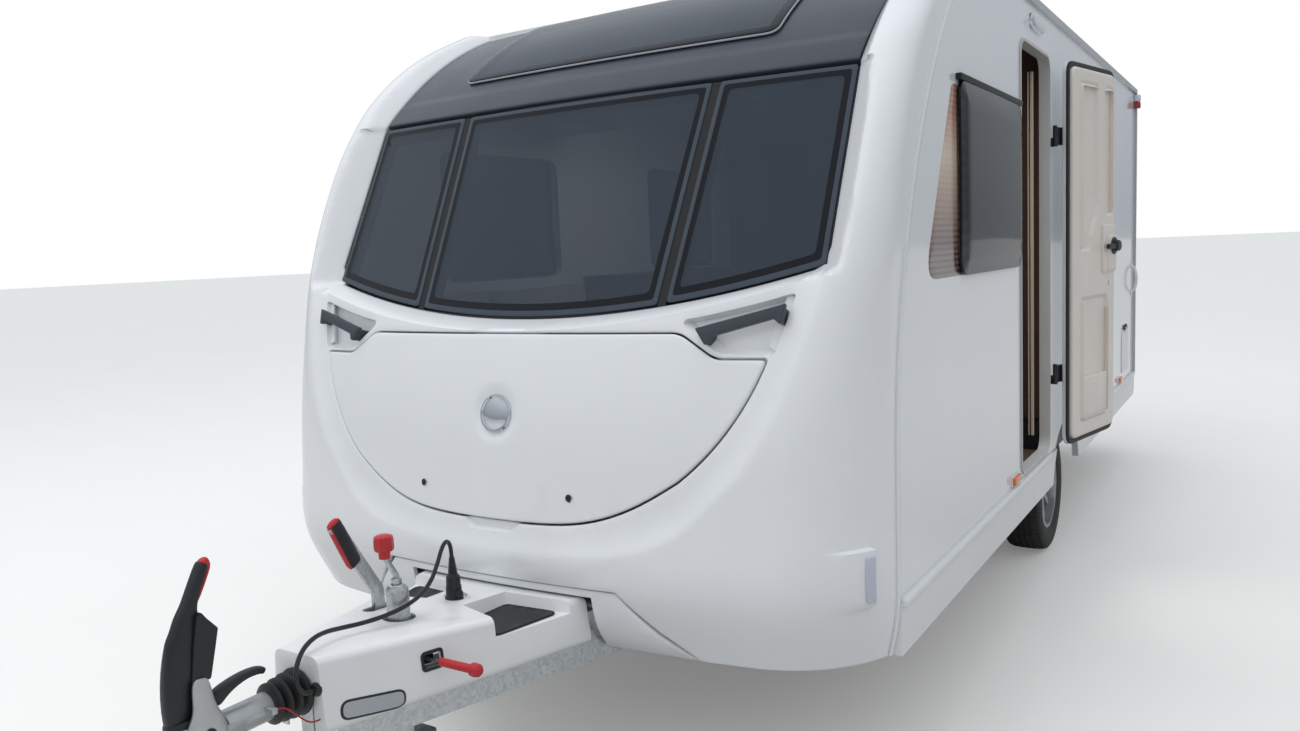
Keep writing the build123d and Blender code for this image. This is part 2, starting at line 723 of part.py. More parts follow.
def rail_plan(side, half_width):
    """Plan outline of one rail."""
    path = [(RAIL_MEET_X, RAIL_MEET_Y), (RAIL_X, RAIL_BEND_Y), (RAIL_X, WALL_REAR_Y - 60)]
    inner = [(side * (x - half_width), y) for x, y in path]
    outer = [(side * (x + half_width), y) for x, y in reversed(path)]
    Polyline(*inner, *outer, inner[0])


CROSS_YS = [1560, 2500, 3300, 5000, 6300]
with BuildPart() as chassis_frame:
    for side in (1, -1):
        with BuildSketch(Plane.XY.offset(rail_bottom)):
            with BuildLine():
                rail_plan(side, RAIL_WIDTH / 2)
            make_face()
        extrude(amount=RAIL_HEIGHT - 0.5)
    for y in CROSS_YS:
        with Locations((0, y, FLOOR_BOTTOM_Z - 40.5)):
            Box(2 * RAIL_X, 50, 80)
    for side in (1, -1):
        with Locations((side * 860, 1560, FLOOR_BOTTOM_Z - 20.5), (side * 860, 6200, FLOOR_BOTTOM_Z - 20.5)):
            Box(440, 60, 40)
finish(chassis_frame.part, "chassis_frame")


def rail_inner_x(y):
    """Inner face of a rail at a place along the drawbar."""
    share = (y - RAIL_MEET_Y) / (RAIL_BEND_Y - RAIL_MEET_Y)
    return RAIL_MEET_X + (RAIL_X - RAIL_MEET_X) * share - RAIL_WIDTH / 2


# Axle tube, trailing arms and stubs
ARM_THICK = 38.0
ARM_X = WHEEL_X - TYRE_WIDTH / 2 - 107.5
STUB_PAST = 30.0
tube_z = WHEEL_Z + 4
with BuildPart() as axle:
    with BuildSketch(Plane.YZ.offset(-ARM_X - 2)):
        with Locations((AXLE_Y - TRAIL, tube_z)):
            RegularPolygon(AXLE_TUBE_DIA / 2, 6)
    extrude(amount=2 * ARM_X + 4)
    for side in (1, -1):
        low_x = min(side * ARM_X, side * (ARM_X + ARM_THICK))
        with BuildSketch(Plane.YZ.offset(low_x)):
            with Locations((AXLE_Y - TRAIL, tube_z)):
                Circle(62)
            with Locations((AXLE_Y, WHEEL_Z)):
                Circle(48)
            with BuildLine():
                Polyline(
                    (AXLE_Y - TRAIL, tube_z + 62),
                    (AXLE_Y, WHEEL_Z + 48),
                    (AXLE_Y, WHEEL_Z - 48),
                    (AXLE_Y - TRAIL, tube_z - 62),
                    (AXLE_Y - TRAIL, tube_z + 62),
                )
            make_face()
        extrude(amount=ARM_THICK)
        stub_start = ARM_X + ARM_THICK - 1
        low_x = min(side * stub_start, side * (WHEEL_X + STUB_PAST))
        with BuildSketch(Plane.YZ.offset(low_x)):
            with Locations((AXLE_Y, WHEEL_Z)):
                Circle(STUB_DIA / 2)
        extrude(amount=WHEEL_X + STUB_PAST - stub_start)
        with Locations((side * RAIL_X, AXLE_Y - TRAIL, (rail_bottom + tube_z) / 2)):
            Box(70, 110, rail_bottom - tube_z - 0.6)
finish(axle.part, "axle")

# Wheels: tyre and rim on each side
RIM_SPOKES = 10
for side, name in ((1, "nearside"), (-1, "offside")):
    wheel_plane = Plane(origin=(side * WHEEL_X, AXLE_Y, WHEEL_Z), x_dir=(0, 1, 0), z_dir=(side, 0, 0))
    with BuildPart() as tyre:
        with BuildSketch(Plane(wheel_plane.origin, x_dir=(side, 0, 0), z_dir=(0, -1, 0))):
            with BuildLine():
                radius = TYRE_DIA / 2
                half_width = TYRE_WIDTH / 2
                bead = RIM_DIA / 2 + 0.5
                Polyline((-70, bead), (70, bead), (half_width - 4, bead + 30))
                ThreePointArc((half_width - 4, bead + 30), (half_width, bead + 58), (half_width - 12, radius - 14))
                Polyline((half_width - 12, radius - 14), (half_width - 28, radius), (28 - half_width, radius))
                Line((28 - half_width, radius), (12 - half_width, radius - 14))
                ThreePointArc((12 - half_width, radius - 14), (-half_width, bead + 58), (4 - half_width, bead + 30))
                Line((4 - half_width, bead + 30), (-70, bead))
            make_face()
        revolve(axis=Axis((0, AXLE_Y, WHEEL_Z), (1, 0, 0)))
    finish(tyre.part, f"{name}_tyre")
    with BuildPart() as rim:
        with BuildSketch(wheel_plane.offset(-RIM_WIDTH / 2)):
            Circle(RIM_DIA / 2)
            Circle(RIM_DIA / 2 - 16, mode=Mode.SUBTRACT)
        extrude(amount=RIM_WIDTH)
        with BuildSketch(wheel_plane.offset(22)):
            Circle(52)
            for turn in range(RIM_SPOKES):
                with PolarLocations(104, 1, start_angle=turn * 360 / RIM_SPOKES):
                    Rectangle(150, 26)
        extrude(amount=26)
        with BuildSketch(wheel_plane.offset(-60)):
            Circle(52)
        extrude(amount=100)
        with BuildSketch(wheel_plane.offset(-60)):
            Circle(HUB_BORE / 2)
        extrude(amount=92, mode=Mode.SUBTRACT)
    finish(rim.part, f"{name}_rim")

# Entrance door, built closed and turned open about its hinge line
door_axis = Axis((DOOR_HINGE_X, DOOR_HINGE_Y, 0), (0, 0, 1))
with BuildPart() as door:
    with BuildSketch(Plane.YZ.offset(HALF + 2 - DOOR_THICK)):
        opening(
            DOOR_FRONT_Y + DOOR_CLEAR,
            DOOR_REAR_Y - DOOR_CLEAR,
            DOOR_SILL + DOOR_CLEAR,
            DOOR_TOP - DOOR_CLEAR,
            DOOR_CORNER - DOOR_CLEAR,
        )
    extrude(amount=DOOR_THICK)
    # recesses of the inner liner
    with BuildSketch(Plane.YZ.offset(HALF + 2 - DOOR_THICK)):
        opening(3150, 3400, 1300, 2180, 25)
        opening(2990, 3090, 1500, 2180, 25)
        opening(3000, 3380, 640, 1150, 40)
    extrude(amount=14, mode=Mode.SUBTRACT)
    # knuckles of the hinges, carried by the leaf's edge
    for height in HINGE_HEIGHTS:
        with BuildSketch(Plane.XY.offset(level(height) + 2)):
            with Locations((DOOR_HINGE_X, DOOR_HINGE_Y)):
                Circle(HINGE_PIN_DIA / 2 + 5)
            with Locations((DOOR_HINGE_X - 8, DOOR_HINGE_Y - 34)):
                Rectangle(12, 62)
            with Locations((DOOR_HINGE_X - 16, DOOR_HINGE_Y - 48)):
                Rectangle(20, 34)
        extrude(amount=40)
        with BuildSketch(Plane.XY.offset(level(height) + 2)):
            with Locations((DOOR_HINGE_X, DOOR_HINGE_Y)):
                Circle(HINGE_PIN_DIA / 2 + 0.3)
        extrude(amount=40, mode=Mode.SUBTRACT)
finish(door.part.rotate(door_axis, DOOR_OPEN), "door")

with BuildPart() as door_frame:
    with BuildSketch(Plane.YZ.offset(HALF + 0.3)):
        opening(DOOR_FRONT_Y, DOOR_REAR_Y, DOOR_SILL, DOOR_TOP, DOOR_CORNER + FRAME_LAP, FRAME_LAP)
    extrude(amount=6)
    with BuildSketch(Plane.YZ.offset(HALF - 40)):
        opening(DOOR_FRONT_Y, DOOR_REAR_Y, DOOR_SILL, DOOR_TOP, DOOR_CORNER, -0.3)
    extrude(amount=46.3)
    with BuildSketch(Plane.YZ.offset(HALF - 45)):
        opening(DOOR_FRONT_Y, DOOR_REAR_Y, DOOR_SILL, DOOR_TOP, DOOR_CORNER - 2, -2.3)
    extrude(amount=60, mode=Mode.SUBTRACT)
finish(door_frame.part, "door_frame")

with BuildPart() as body_hinges:
    for height in HINGE_HEIGHTS:
        with BuildSketch(Plane.XY.offset(level(height) - 45)):
            with Locations((DOOR_HINGE_X, DOOR_HINGE_Y)):
                Circle(HINGE_PIN_DIA / 2 + 5)
            with Locations(((HALF + DOOR_HINGE_X) / 2, DOOR_HINGE_Y + 6)):
                Rectangle(DOOR_HINGE_X - HALF, 16)
        extrude(amount=38)
        with BuildSketch(Plane.XY.offset(level(height) - 45)):
            with Locations((DOOR_HINGE_X, DOOR_HINGE_Y)):
                Circle(HINGE_PIN_DIA / 2)
        extrude(amount=90)
    for side, y_low, y_high, low, high, name in HATCHES:
        middle_y = (y_low + y_high) / 2
        spot = (side * (HALF + HATCH_AXIS), level(high) + HATCH_AXIS)
        for start in (middle_y - 62, middle_y + 32):
            with BuildSketch(Plane.XZ.offset(-start)):
                with Locations(spot):
                    Circle(HATCH_KNUCKLE_DIA / 2)
                with Locations((side * (HALF + 0.3 + HATCH_AXIS / 2), level(high) + 20)):
                    Rectangle(HATCH_AXIS - 0.6, 24)
            extrude(amount=-30)
        with BuildSketch(Plane.XZ.offset(-(middle_y - 62))):
            with Locations(spot):
                Circle(HATCH_PIN_DIA / 2)
        extrude(amount=-124)
finish(body_hinges.part, "body_hinges")

# Gas locker tub behind the lid
TUB_HALF = HALF - 215
TUB_WALL = 12.0
TUB_REAR_Y = 1410.0
TUB_BOTTOM = 520.5
TUB_TOP = 1322.0
with BuildPart() as gas_locker_tub:
    with Locations((0, (TUB_REAR_Y + 900) / 2, level((TUB_BOTTOM + TUB_TOP) / 2))):
        Box(2 * TUB_HALF, TUB_REAR_Y - 900, TUB_TOP - TUB_BOTTOM)
    add(nose_block(60.0, False), mode=Mode.INTERSECT)
    with Locations((0, (TUB_REAR_Y + 900) / 2 - TUB_WALL, level((TUB_BOTTOM + TUB_TOP) / 2))):
        Box(
            2 * (TUB_HALF - TUB_WALL),
            TUB_REAR_Y - 900,
            TUB_TOP - TUB_BOTTOM - 2 * TUB_WALL,
            mode=Mode.SUBTRACT,
        )
    add(front_moulding.part, mode=Mode.SUBTRACT)
finish(gas_locker_tub.part, "gas_locker_tub")

# Drawbar cover: a lofted shell over the rails
PLUG_Y = 810.0
SOCKET_DIA = 52.0
BRAKE_X = -120.0
BRAKE_Y = 648.0
CLAMP_ROD_Y = 540.0
CLAMP_ROD = 531.0
COVER_LEAN = 16.0
cover_z = level(COVER_BOTTOM)


def cover_outline(y, half_width, top, inset):
    """Cross outline of the cover at one place along the drawbar."""
    with BuildSketch(Plane.XZ.offset(-y)) as outline:
        with BuildLine():
            half = half_width - inset
            ceiling = level(top) - inset
            base = cover_z - inset
            Polyline(
                (-half, base),
                (half, base),
                (half - COVER_LEAN, ceiling),
                (COVER_LEAN - half, ceiling),
                (-half, base),
            )
        make_face()
        fillet(outline.vertices().group_by(Axis.Z)[-1], 22 - inset)
    return outline.sketch


LEDGE = 534.0
PAD_THICK = 6.0


def ledge_prism(grow):
    """The stepped shoulders of the cover, cut down to a ledge for the treads."""
    with BuildPart() as prism:
        for side in (1, -1):
            with BuildSketch(Plane.XY.offset(level(LEDGE) - grow)):
                with BuildLine():
                    Polyline(
                        (side * (70 - grow), 770 - grow),
                        (side * (80 - grow), 935 + grow),
                        (side * 420, 965 + grow),
                        (side * 420, 660 - grow),
                        (side * (70 - grow), 770 - grow),
                    )
                make_face()
            extrude(amount=160)
    return prism.part


with BuildPart() as cover_core:
    loft(
        sections=[
            cover_outline(COVER_FRONT_Y + COVER_WALL, COVER_FRONT_HALF, COVER_FRONT_TOP, COVER_WALL),
            cover_outline(COVER_REAR_Y + 1, COVER_REAR_HALF, COVER_REAR_TOP, COVER_WALL),
        ],
        ruled=True,
    )
    add(ledge_prism(COVER_WALL), mode=Mode.SUBTRACT)

with BuildPart() as drawbar_cover:
    loft(
        sections=[
            cover_outline(COVER_FRONT_Y, COVER_FRONT_HALF, COVER_FRONT_TOP, 0),
            cover_outline(COVER_REAR_Y, COVER_REAR_HALF, COVER_REAR_TOP, 0),
        ],
        ruled=True,
    )
    add(ledge_prism(0.0), mode=Mode.SUBTRACT)
    add(cover_core.part, mode=Mode.SUBTRACT)
    # jockey opening, handbrake slot, plug well and the opening for the drawtube
    with BuildSketch(Plane.XY.offset(cover_z + 90)):
        with Locations((0, JOCKEY_Y)):
            Circle(JOCKEY_OUTER_DIA / 2 + 14)
        with Locations((0, PLUG_Y)):
            Circle(SOCKET_DIA / 2 + 0.5)
        with Locations((BRAKE_X, 650)):
            SlotOverall(130, 40, rotation=90)
    extrude(amount=200, mode=Mode.SUBTRACT)
    with Locations((170, CLAMP_ROD_Y, level(CLAMP_ROD))):
        Box(60, 46, 36, mode=Mode.SUBTRACT)
    with BuildSketch(Plane.XZ.offset(-COVER_FRONT_Y + 5)):
        with Locations((0, DRAWTUBE_RISE)):
            Circle(50)
        with Locations((0, DRAWTUBE_RISE - 60)):
            Rectangle(100, 120)
    extrude(amount=-20, mode=Mode.SUBTRACT)
finish(drawbar_cover.part, "drawbar_cover")

with BuildPart() as step_pads:
    for side in (1, -1):
        with BuildSketch(Plane.XY.offset(level(LEDGE) + 0.3)):
            with BuildLine():
                Polyline(
                    (side * 88, 790),
                    (side * 96, 915),
                    (side * 262, 930),
                    (side * 212, 735),
                    (side * 88, 790),
                )
            make_face()
        extrude(amount=PAD_THICK)
finish(step_pads.part, "step_pads")

# Coupling head: a cast body round the ball, with a sleeve for the drawtube
HEAD_TOP = 52.0
HEAD_BOTTOM = -36.0
HEAD_HALF = 48.0
SLEEVE_FRONT_Y = 52.0
SLEEVE_REAR_Y = 172.0
cup_radius = BALL_DIA / 2 + CUP_CLEAR
with BuildPart() as coupling_head:
    with BuildSketch(Plane.XY.offset(HEAD_BOTTOM)):
        Circle(HEAD_HALF)
        with BuildLine():
            Polyline((-HEAD_HALF, 0), (HEAD_HALF, 0), (36, 90), (-36, 90), (-HEAD_HALF, 0))
        make_face()
    extrude(amount=HEAD_TOP - HEAD_BOTTOM)
    fillet(coupling_head.faces().sort_by(Axis.Z)[-1].edges(), 14)
    with BuildSketch(Plane.XZ.offset(-SLEEVE_FRONT_Y)):
        with Locations((0, DRAWTUBE_RISE)):
            Circle(DRAWTUBE_DIA / 2 + 9)
    extrude(amount=-(SLEEVE_REAR_Y - SLEEVE_FRONT_Y))
    with BuildSketch(Plane.XZ.offset(-(SLEEVE_FRONT_Y + 40))):
        with Locations((0, DRAWTUBE_RISE)):
            Circle(DRAWTUBE_DIA / 2 + 0.2)
    extrude(amount=-(SLEEVE_REAR_Y - SLEEVE_FRONT_Y), mode=Mode.SUBTRACT)
    with BuildSketch(Plane.XY.offset(HEAD_BOTTOM - 1)):
        Circle(cup_radius)
    extrude(amount=1 - HEAD_BOTTOM, mode=Mode.SUBTRACT)
    Sphere(cup_radius, mode=Mode.SUBTRACT)
    # eye of the breakaway cable
    with Locations((46, 149, level(535))):
        Box(28, 14, 14)
finish(coupling_head.part, "coupling_head")

DRAWTUBE_REAR_Y = 500.0
with BuildPart() as drawtube:
    with BuildSketch(Plane.XZ.offset(-(SLEEVE_FRONT_Y + 40.3))):
        with Locations((0, DRAWTUBE_RISE)):
            Circle(DRAWTUBE_DIA / 2)
    extrude(amount=-(DRAWTUBE_REAR_Y - SLEEVE_FRONT_Y - 40.3))
finish(drawtube.part, "drawtube")

HOUSING_FRONT_Y = 276.0
HOUSING_DIA = 78.0
with BuildPart() as overrun_housing:
    with BuildSketch(Plane.XZ.offset(-HOUSING_FRONT_Y)):
        with Locations((0, DRAWTUBE_RISE)):
            Circle(HOUSING_DIA / 2)
    extrude(amount=-(DRAWTUBE_REAR_Y - HOUSING_FRONT_Y))
    for y in (RAIL_MEET_Y + 30, DRAWTUBE_REAR_Y - 30):
        with Locations((0, y, level(FLOOR_HEIGHT - FLOOR_THICK - 45))):
            Box(2 * (rail_inner_x(y - 18) - 0.3), 36, 70)
    with BuildSketch(Plane.XZ.offset(-(HOUSING_FRONT_Y - 1))):
        with Locations((0, DRAWTUBE_RISE)):
            Circle(DRAWTUBE_DIA / 2 + 0.3)
    extrude(amount=-(DRAWTUBE_REAR_Y - HOUSING_FRONT_Y + 2), mode=Mode.SUBTRACT)
finish(overrun_housing.part, "overrun_housing")

# Bellows between the coupling head and the housing
BELLOWS_RIBS = 4
bellows_start = SLEEVE_REAR_Y + 1
bellows_pitch = (HOUSING_FRONT_Y - 1 - bellows_start) / BELLOWS_RIBS
with BuildPart() as bellows:
    with BuildSketch(Plane.XY):
        with BuildLine():
            low_radius = DRAWTUBE_DIA / 2 + 0.4
            points = [(low_radius, bellows_start)]
            for rib in range(BELLOWS_RIBS):
                y = bellows_start + rib * bellows_pitch
                points.append((33, y))
                points.append((46, y + bellows_pitch * 0.35))
                points.append((46, y + bellows_pitch * 0.65))
            points.append((33, HOUSING_FRONT_Y - 1))
            points.append((low_radius, HOUSING_FRONT_Y - 1))
            Polyline(*points, points[0])
        make_face()
    revolve(axis=Axis.Y)
bellows_solid = bellows.part.moved(Location((0, 0, DRAWTUBE_RISE)))
finish(bellows_solid, "bellows")

# Stabiliser handle, coupling handle and handbrake lever, as side views
with BuildPart() as coupling_handles:
    with BuildSketch(Plane.YZ.offset(-22)):
        with BuildLine():
            Polyline(
                (-74, level(545)),
                (34, level(542)),
                (44, level(640)),
                (68, level(752)),
                (24, level(830)),
                (52, level(905)),
                (40, level(914)),
                (2, level(822)),
                (-42, level(776)),
                (-72, level(665)),
                (-74, level(545)),
            )
        make_face()
    extrude(amount=44)
    with BuildSketch(Plane.YZ.offset(-16)):
        with BuildLine():
            Polyline(
                (18, level(536)),
                (64, level(560)),
                (96, level(612)),
                (176, level(624)),
                (198, level(612)),
                (176, level(600)),
                (104, level(592)),
                (84, level(553)),
                (60, level(530)),
                (18, level(536)),
            )
        make_face()
    extrude(amount=32)
    add(coupling_head.part, mode=Mode.SUBTRACT)
finish(coupling_handles.part, "coupling_handles")

with BuildPart() as handbrake_lever:
    with BuildSketch(Plane.YZ.offset(BRAKE_X - 7)):
        with BuildLine():
            Polyline(
                (622, level(450)),
                (664, level(450)),
                (654, level(650)),
                (600, level(740)),
                (520, level(872)),
                (486, level(850)),
                (566, level(722)),
                (618, level(640)),
                (622, level(450)),
            )
        make_face()
    extrude(amount=14)
    pivot_x = rail_inner_x(BRAKE_Y - 23) - 0.4
    with Locations(((BRAKE_X + 7 - pivot_x) / 2, BRAKE_Y, level(462))):
        Box(pivot_x + BRAKE_X + 7, 46, 50)
finish(handbrake_lever.part, "handbrake_lever")

# Jockey wheel: clamp and outer tube, inner tube, fork and wheel
JOCKEY_TOP = 628.0
JOCKEY_FOOT = 415.0
with BuildPart() as jockey_clamp:
    with BuildSketch(Plane.XY.offset(level(JOCKEY_FOOT))):
        with Locations((0, JOCKEY_Y)):
            Circle(JOCKEY_OUTER_DIA / 2)
            Circle(JOCKEY_INNER_DIA / 2 + 1.0, mode=Mode.SUBTRACT)
    extrude(amount=JOCKEY_TOP - JOCKEY_FOOT)
    # bracket across the rails
    with BuildSketch(Plane.XY.offset(level(430))):
        with Locations((0, JOCKEY_Y - 10)):
            Rectangle(2 * (rail_inner_x(JOCKEY_Y - 40) - 0.3), 60)
        with Locations((0, JOCKEY_Y)):
            Circle(JOCKEY_OUTER_DIA / 2 - 2, mode=Mode.SUBTRACT)
    extrude(amount=60)
    # clamp rod, grip and its ball end
    with BuildSketch(Plane.YZ.offset(60)):
        with Locations((CLAMP_ROD_Y, level(CLAMP_ROD))):
            Circle(5)
    extrude(amount=150)
    with BuildSketch(Plane.YZ.offset(200)):
        with Locations((CLAMP_ROD_Y, level(CLAMP_ROD))):
            Circle(10)
    extrude(amount=110)
    with Locations((316, CLAMP_ROD_Y, level(CLAMP_ROD))):
        Sphere(16)
    with Locations((70, CLAMP_ROD_Y + 6, level(CLAMP_ROD - 25))):
        Box(30, 38, 60)
    # cap, screw nut, crank and knob
    with BuildSketch(Plane.XY.offset(level(JOCKEY_TOP))):
        with Locations((0, JOCKEY_Y)):
            Circle(JOCKEY_OUTER_DIA / 2)
    extrude(amount=10)
    with BuildSketch(Plane.XY.offset(level(JOCKEY_TOP) + 10)):
        with Locations((0, JOCKEY_Y)):
            RegularPolygon(12, 6)
    extrude(amount=32)
    with BuildSketch(Plane.YZ.offset(-6)):
        with BuildLine():
            Polyline(
                (JOCKEY_Y - 6, level(668)),
                (JOCKEY_Y + 6, level(668)),
                (JOCKEY_Y + 6, level(715)),
                (JOCKEY_Y - 28, level(772)),
                (JOCKEY_Y - 40, level(772)),
                (JOCKEY_Y - 6, level(712)),
                (JOCKEY_Y - 6, level(668)),
            )
        make_face()
    extrude(amount=12)
    with BuildSketch(Plane.XY.offset(level(770))):
        with Locations((0, JOCKEY_Y - 34)):
            Circle(14)
    extrude(amount=22)
    with BuildSketch(Plane.XY.offset(level(791))):
        with Locations((0, JOCKEY_Y - 34)):
            Circle(23)
    extrude(amount=38)
finish(jockey_clamp.part, "jockey_clamp")

INNER_TOP = 480.0
INNER_FOOT = 262.0
with BuildPart() as jockey_inner_tube:
    with BuildSketch(Plane.XY.offset(level(INNER_FOOT))):
        with Locations((0, JOCKEY_Y)):
            Circle(JOCKEY_INNER_DIA / 2)
            Circle(JOCKEY_INNER_DIA / 2 - 4, mode=Mode.SUBTRACT)
    extrude(amount=INNER_TOP - INNER_FOOT)
finish(jockey_inner_tube.part, "jockey_inner_tube")

FORK_HALF = JOCKEY_WHEEL_WIDTH / 2 + 8
jockey_axle_z = level(JOCKEY_WHEEL_DIA / 2)
jockey_axle_y = JOCKEY_Y + JOCKEY_TRAIL
with BuildPart() as jockey_fork:
    with BuildSketch(Plane.XY.offset(level(INNER_FOOT - 16))):
        with Locations((0, JOCKEY_Y + 20)):
            RectangleRounded(2 * FORK_HALF + 8, 110, 20)
    extrude(amount=15.5)
    for side in (1, -1):
        low_x = min(side * FORK_HALF, side * (FORK_HALF + 4))
        with BuildSketch(Plane.YZ.offset(low_x)):
            with BuildLine():
                Polyline(
                    (JOCKEY_Y - 30, level(INNER_FOOT - 12)),
                    (JOCKEY_Y + 70, level(INNER_FOOT - 12)),
                    (jockey_axle_y + 20, jockey_axle_z - 16),
                    (jockey_axle_y - 20, jockey_axle_z - 16),
                    (JOCKEY_Y - 30, level(INNER_FOOT - 12)),
                )
            make_face()
        extrude(amount=4)
    with BuildSketch(Plane.YZ.offset(-FORK_HALF - 6)):
        with Locations((jockey_axle_y, jockey_axle_z)):
            Circle(8)
    extrude(amount=2 * FORK_HALF + 12)
finish(jockey_fork.part, "jockey_fork")

with BuildPart() as jockey_wheel:
    with BuildSketch(Plane(origin=(0, jockey_axle_y, jockey_axle_z), x_dir=(1, 0, 0), z_dir=(0, -1, 0))):
        with BuildLine():
            rim = JOCKEY_WHEEL_DIA / 2
            half = JOCKEY_WHEEL_WIDTH / 2
            Line((-half + 8, rim), (half - 8, rim))
            ThreePointArc((half - 8, rim), (half - 2, rim - 8), (half, rim - 20))
            Polyline((half, rim - 20), (half, rim - 46), (20, rim - 50), (20, 18), (half, 16), (half, 8.5))
            Line((half, 8.5), (-half, 8.5))
            Polyline((-half, 8.5), (-half, 16), (-20, 18), (-20, rim - 50), (-half, rim - 46), (-half, rim - 20))
            ThreePointArc((-half, rim - 20), (2 - half, rim - 8), (8 - half, rim))
        make_face()
    revolve(axis=Axis((0, jockey_axle_y, jockey_axle_z), (1, 0, 0)))
finish(jockey_wheel.part, "jockey_wheel")

# Corner steadies, stowed under the floor
STEADY_LENGTH = 470.0
STEADY_Z = FLOOR_BOTTOM_Z - 70
# x, y of the pivot, direction of the arm along Y
STEADIES = [
    (620, 1640, 1, "front_nearside"),
    (-620, 1640, 1, "front_offside"),
    (620, 6120, -1, "rear_nearside"),
    (-620, 6120, -1, "rear_offside"),
]
with BuildPart() as steady_brackets:
    for x, y, heading, name in STEADIES:
        for offset in (-34, 30):
            with Locations((x + offset + 2, y, STEADY_Z + 34.7)):
                Box(4, 70, 70)
        with Locations((x, y, FLOOR_BOTTOM_Z - 2.3)):
            Box(90, 90, 4)
        with BuildSketch(Plane.YZ.offset(x - 40)):
            with Locations((y, STEADY_Z + 18)):
                Circle(8)
        extrude(amount=80)
finish(steady_brackets.part, "steady_brackets")
for x, y, heading, name in STEADIES:
    with BuildPart() as steady:
        with BuildSketch(Plane.YZ.offset(x - 20)):
            with Locations((y, STEADY_Z + 18)):
                Circle(20)
            with BuildLine():
                Polyline(
                    (y, STEADY_Z + 38),
                    (y + heading * STEADY_LENGTH, STEADY_Z + 28),
                    (y + heading * STEADY_LENGTH, STEADY_Z + 8),
                    (y, STEADY_Z - 2),
                    (y, STEADY_Z + 38),
                )
            make_face()
        extrude(amount=40)
        with BuildSketch(Plane.YZ.offset(x - 21)):
            with Locations((y, STEADY_Z + 18)):
                Circle(8.3)
        extrude(amount=42, mode=Mode.SUBTRACT)
        with Locations((x, y + heading * (STEADY_LENGTH + 4), STEADY_Z + 18)):
            Box(110, 8, 70)
    finish(steady.part, f"steady_{name}")

# Parking socket and the plug in it
def cover_top(y):
    """Height of the cover's top at a place along the drawbar."""
    share = (y - COVER_FRONT_Y) / (COVER_REAR_Y - COVER_FRONT_Y)
    return COVER_FRONT_TOP + (COVER_REAR_TOP - COVER_FRONT_TOP) * share


SOCKET_TOP = cover_top(PLUG_Y) + 4.0
BOOT_TOP = 702.0
with BuildPart() as parking_socket:
    with BuildSketch(Plane.XY.offset(level(SOCKET_TOP - 40))):
        with Locations((0, PLUG_Y)):
            Circle(SOCKET_DIA / 2)
    extrude(amount=40)
finish(parking_socket.part, "parking_socket")

with BuildPart() as cable_plug:
    with BuildSketch(Plane(origin=(0, PLUG_Y, level(SOCKET_TOP)), x_dir=(1, 0, 0), z_dir=(0, -1, 0))):
        with BuildLine():
            high = BOOT_TOP - SOCKET_TOP
            Polyline((0, 0.3), (22, 0.3), (22, 34), (20, 36), (20, 62), (13, 70), (7.5, high), (0, high), (0, 0.3))
        make_face()
    revolve(axis=Axis((0, PLUG_Y, 0), (0, 0, 1)))
finish(cable_plug.part, "cable_plug")

# The towing cable, from the plug over the cover to its grommet, heights above the ground
CABLE_DIA = 12.0
CABLE_X = 68.0
CABLE_HEIGHT = 545.0
TOWING_CABLE = [
    (0, 810, 702),
    (0, 810, 736),
    (4, 790, 757),
    (10, 764, 744),
    (20, 732, 706),
    (34, 690, 672),
    (48, 636, 653),
    (50, 578, 641),
    (36, 520, 633),
    (16, 462, 630),
    (5, 405, 636),
    (9, 350, 646),
    (22, 300, 650),
    (38, 252, 639),
    (54, 218, 610),
    (66, 206, 576),
    (72, 222, 550),
    (CABLE_X, 242, CABLE_HEIGHT),
    (CABLE_X, COVER_FRONT_Y, CABLE_HEIGHT),
]
BREAKAWAY_DIA = 4.0
BREAKAWAY_CABLE = [
    (54, 156, 535),
    (54, 172, 535),
    (58, 190, 522),
    (62, 208, 500),
    (66, 226, 480),
    (70, 244, 470),
    (70, COVER_FRONT_Y, 470),
]
BEND_SHARE = 0.45


def cord_radii(points):
    """Arc radius at each inner point of a cord's route."""
    radii = []
    for before, here, after in zip(points, points[1:], points[2:]):
        run_in = Vector(*here) - Vector(*before)
        run_out = Vector(*after) - Vector(*here)
        turn = math.radians(run_in.get_angle(run_out))
        radii.append(BEND_SHARE * min(run_in.length, run_out.length) / math.tan(turn / 2))
    return radii


def cord_tube(route, diameter, name):
    """Sweeps a cord's round section along its route and prints what it measures."""
    points = [(x, y, level(height)) for x, y, height in route]
    radii = cord_radii(points)
    with BuildPart() as tube:
        with BuildLine() as line:
            FilletPolyline(*points, radius=radii)
        with BuildSketch(Plane(origin=line.wires()[0] @ 0, z_dir=line.wires()[0] % 0)):
            Circle(diameter / 2)
        sweep()
    length = line.wires()[0].length
    share = tube.part.volume / (math.pi * diameter ** 2 / 4 * length)
    print(name, "length", round(length), "radii", [round(r) for r in radii], "volume share", round(share, 3))
    return finish(tube.part, name)


cord_tube(TOWING_CABLE, CABLE_DIA, "towing_cable")
cord_tube(BREAKAWAY_CABLE, BREAKAWAY_DIA, "breakaway_cable")

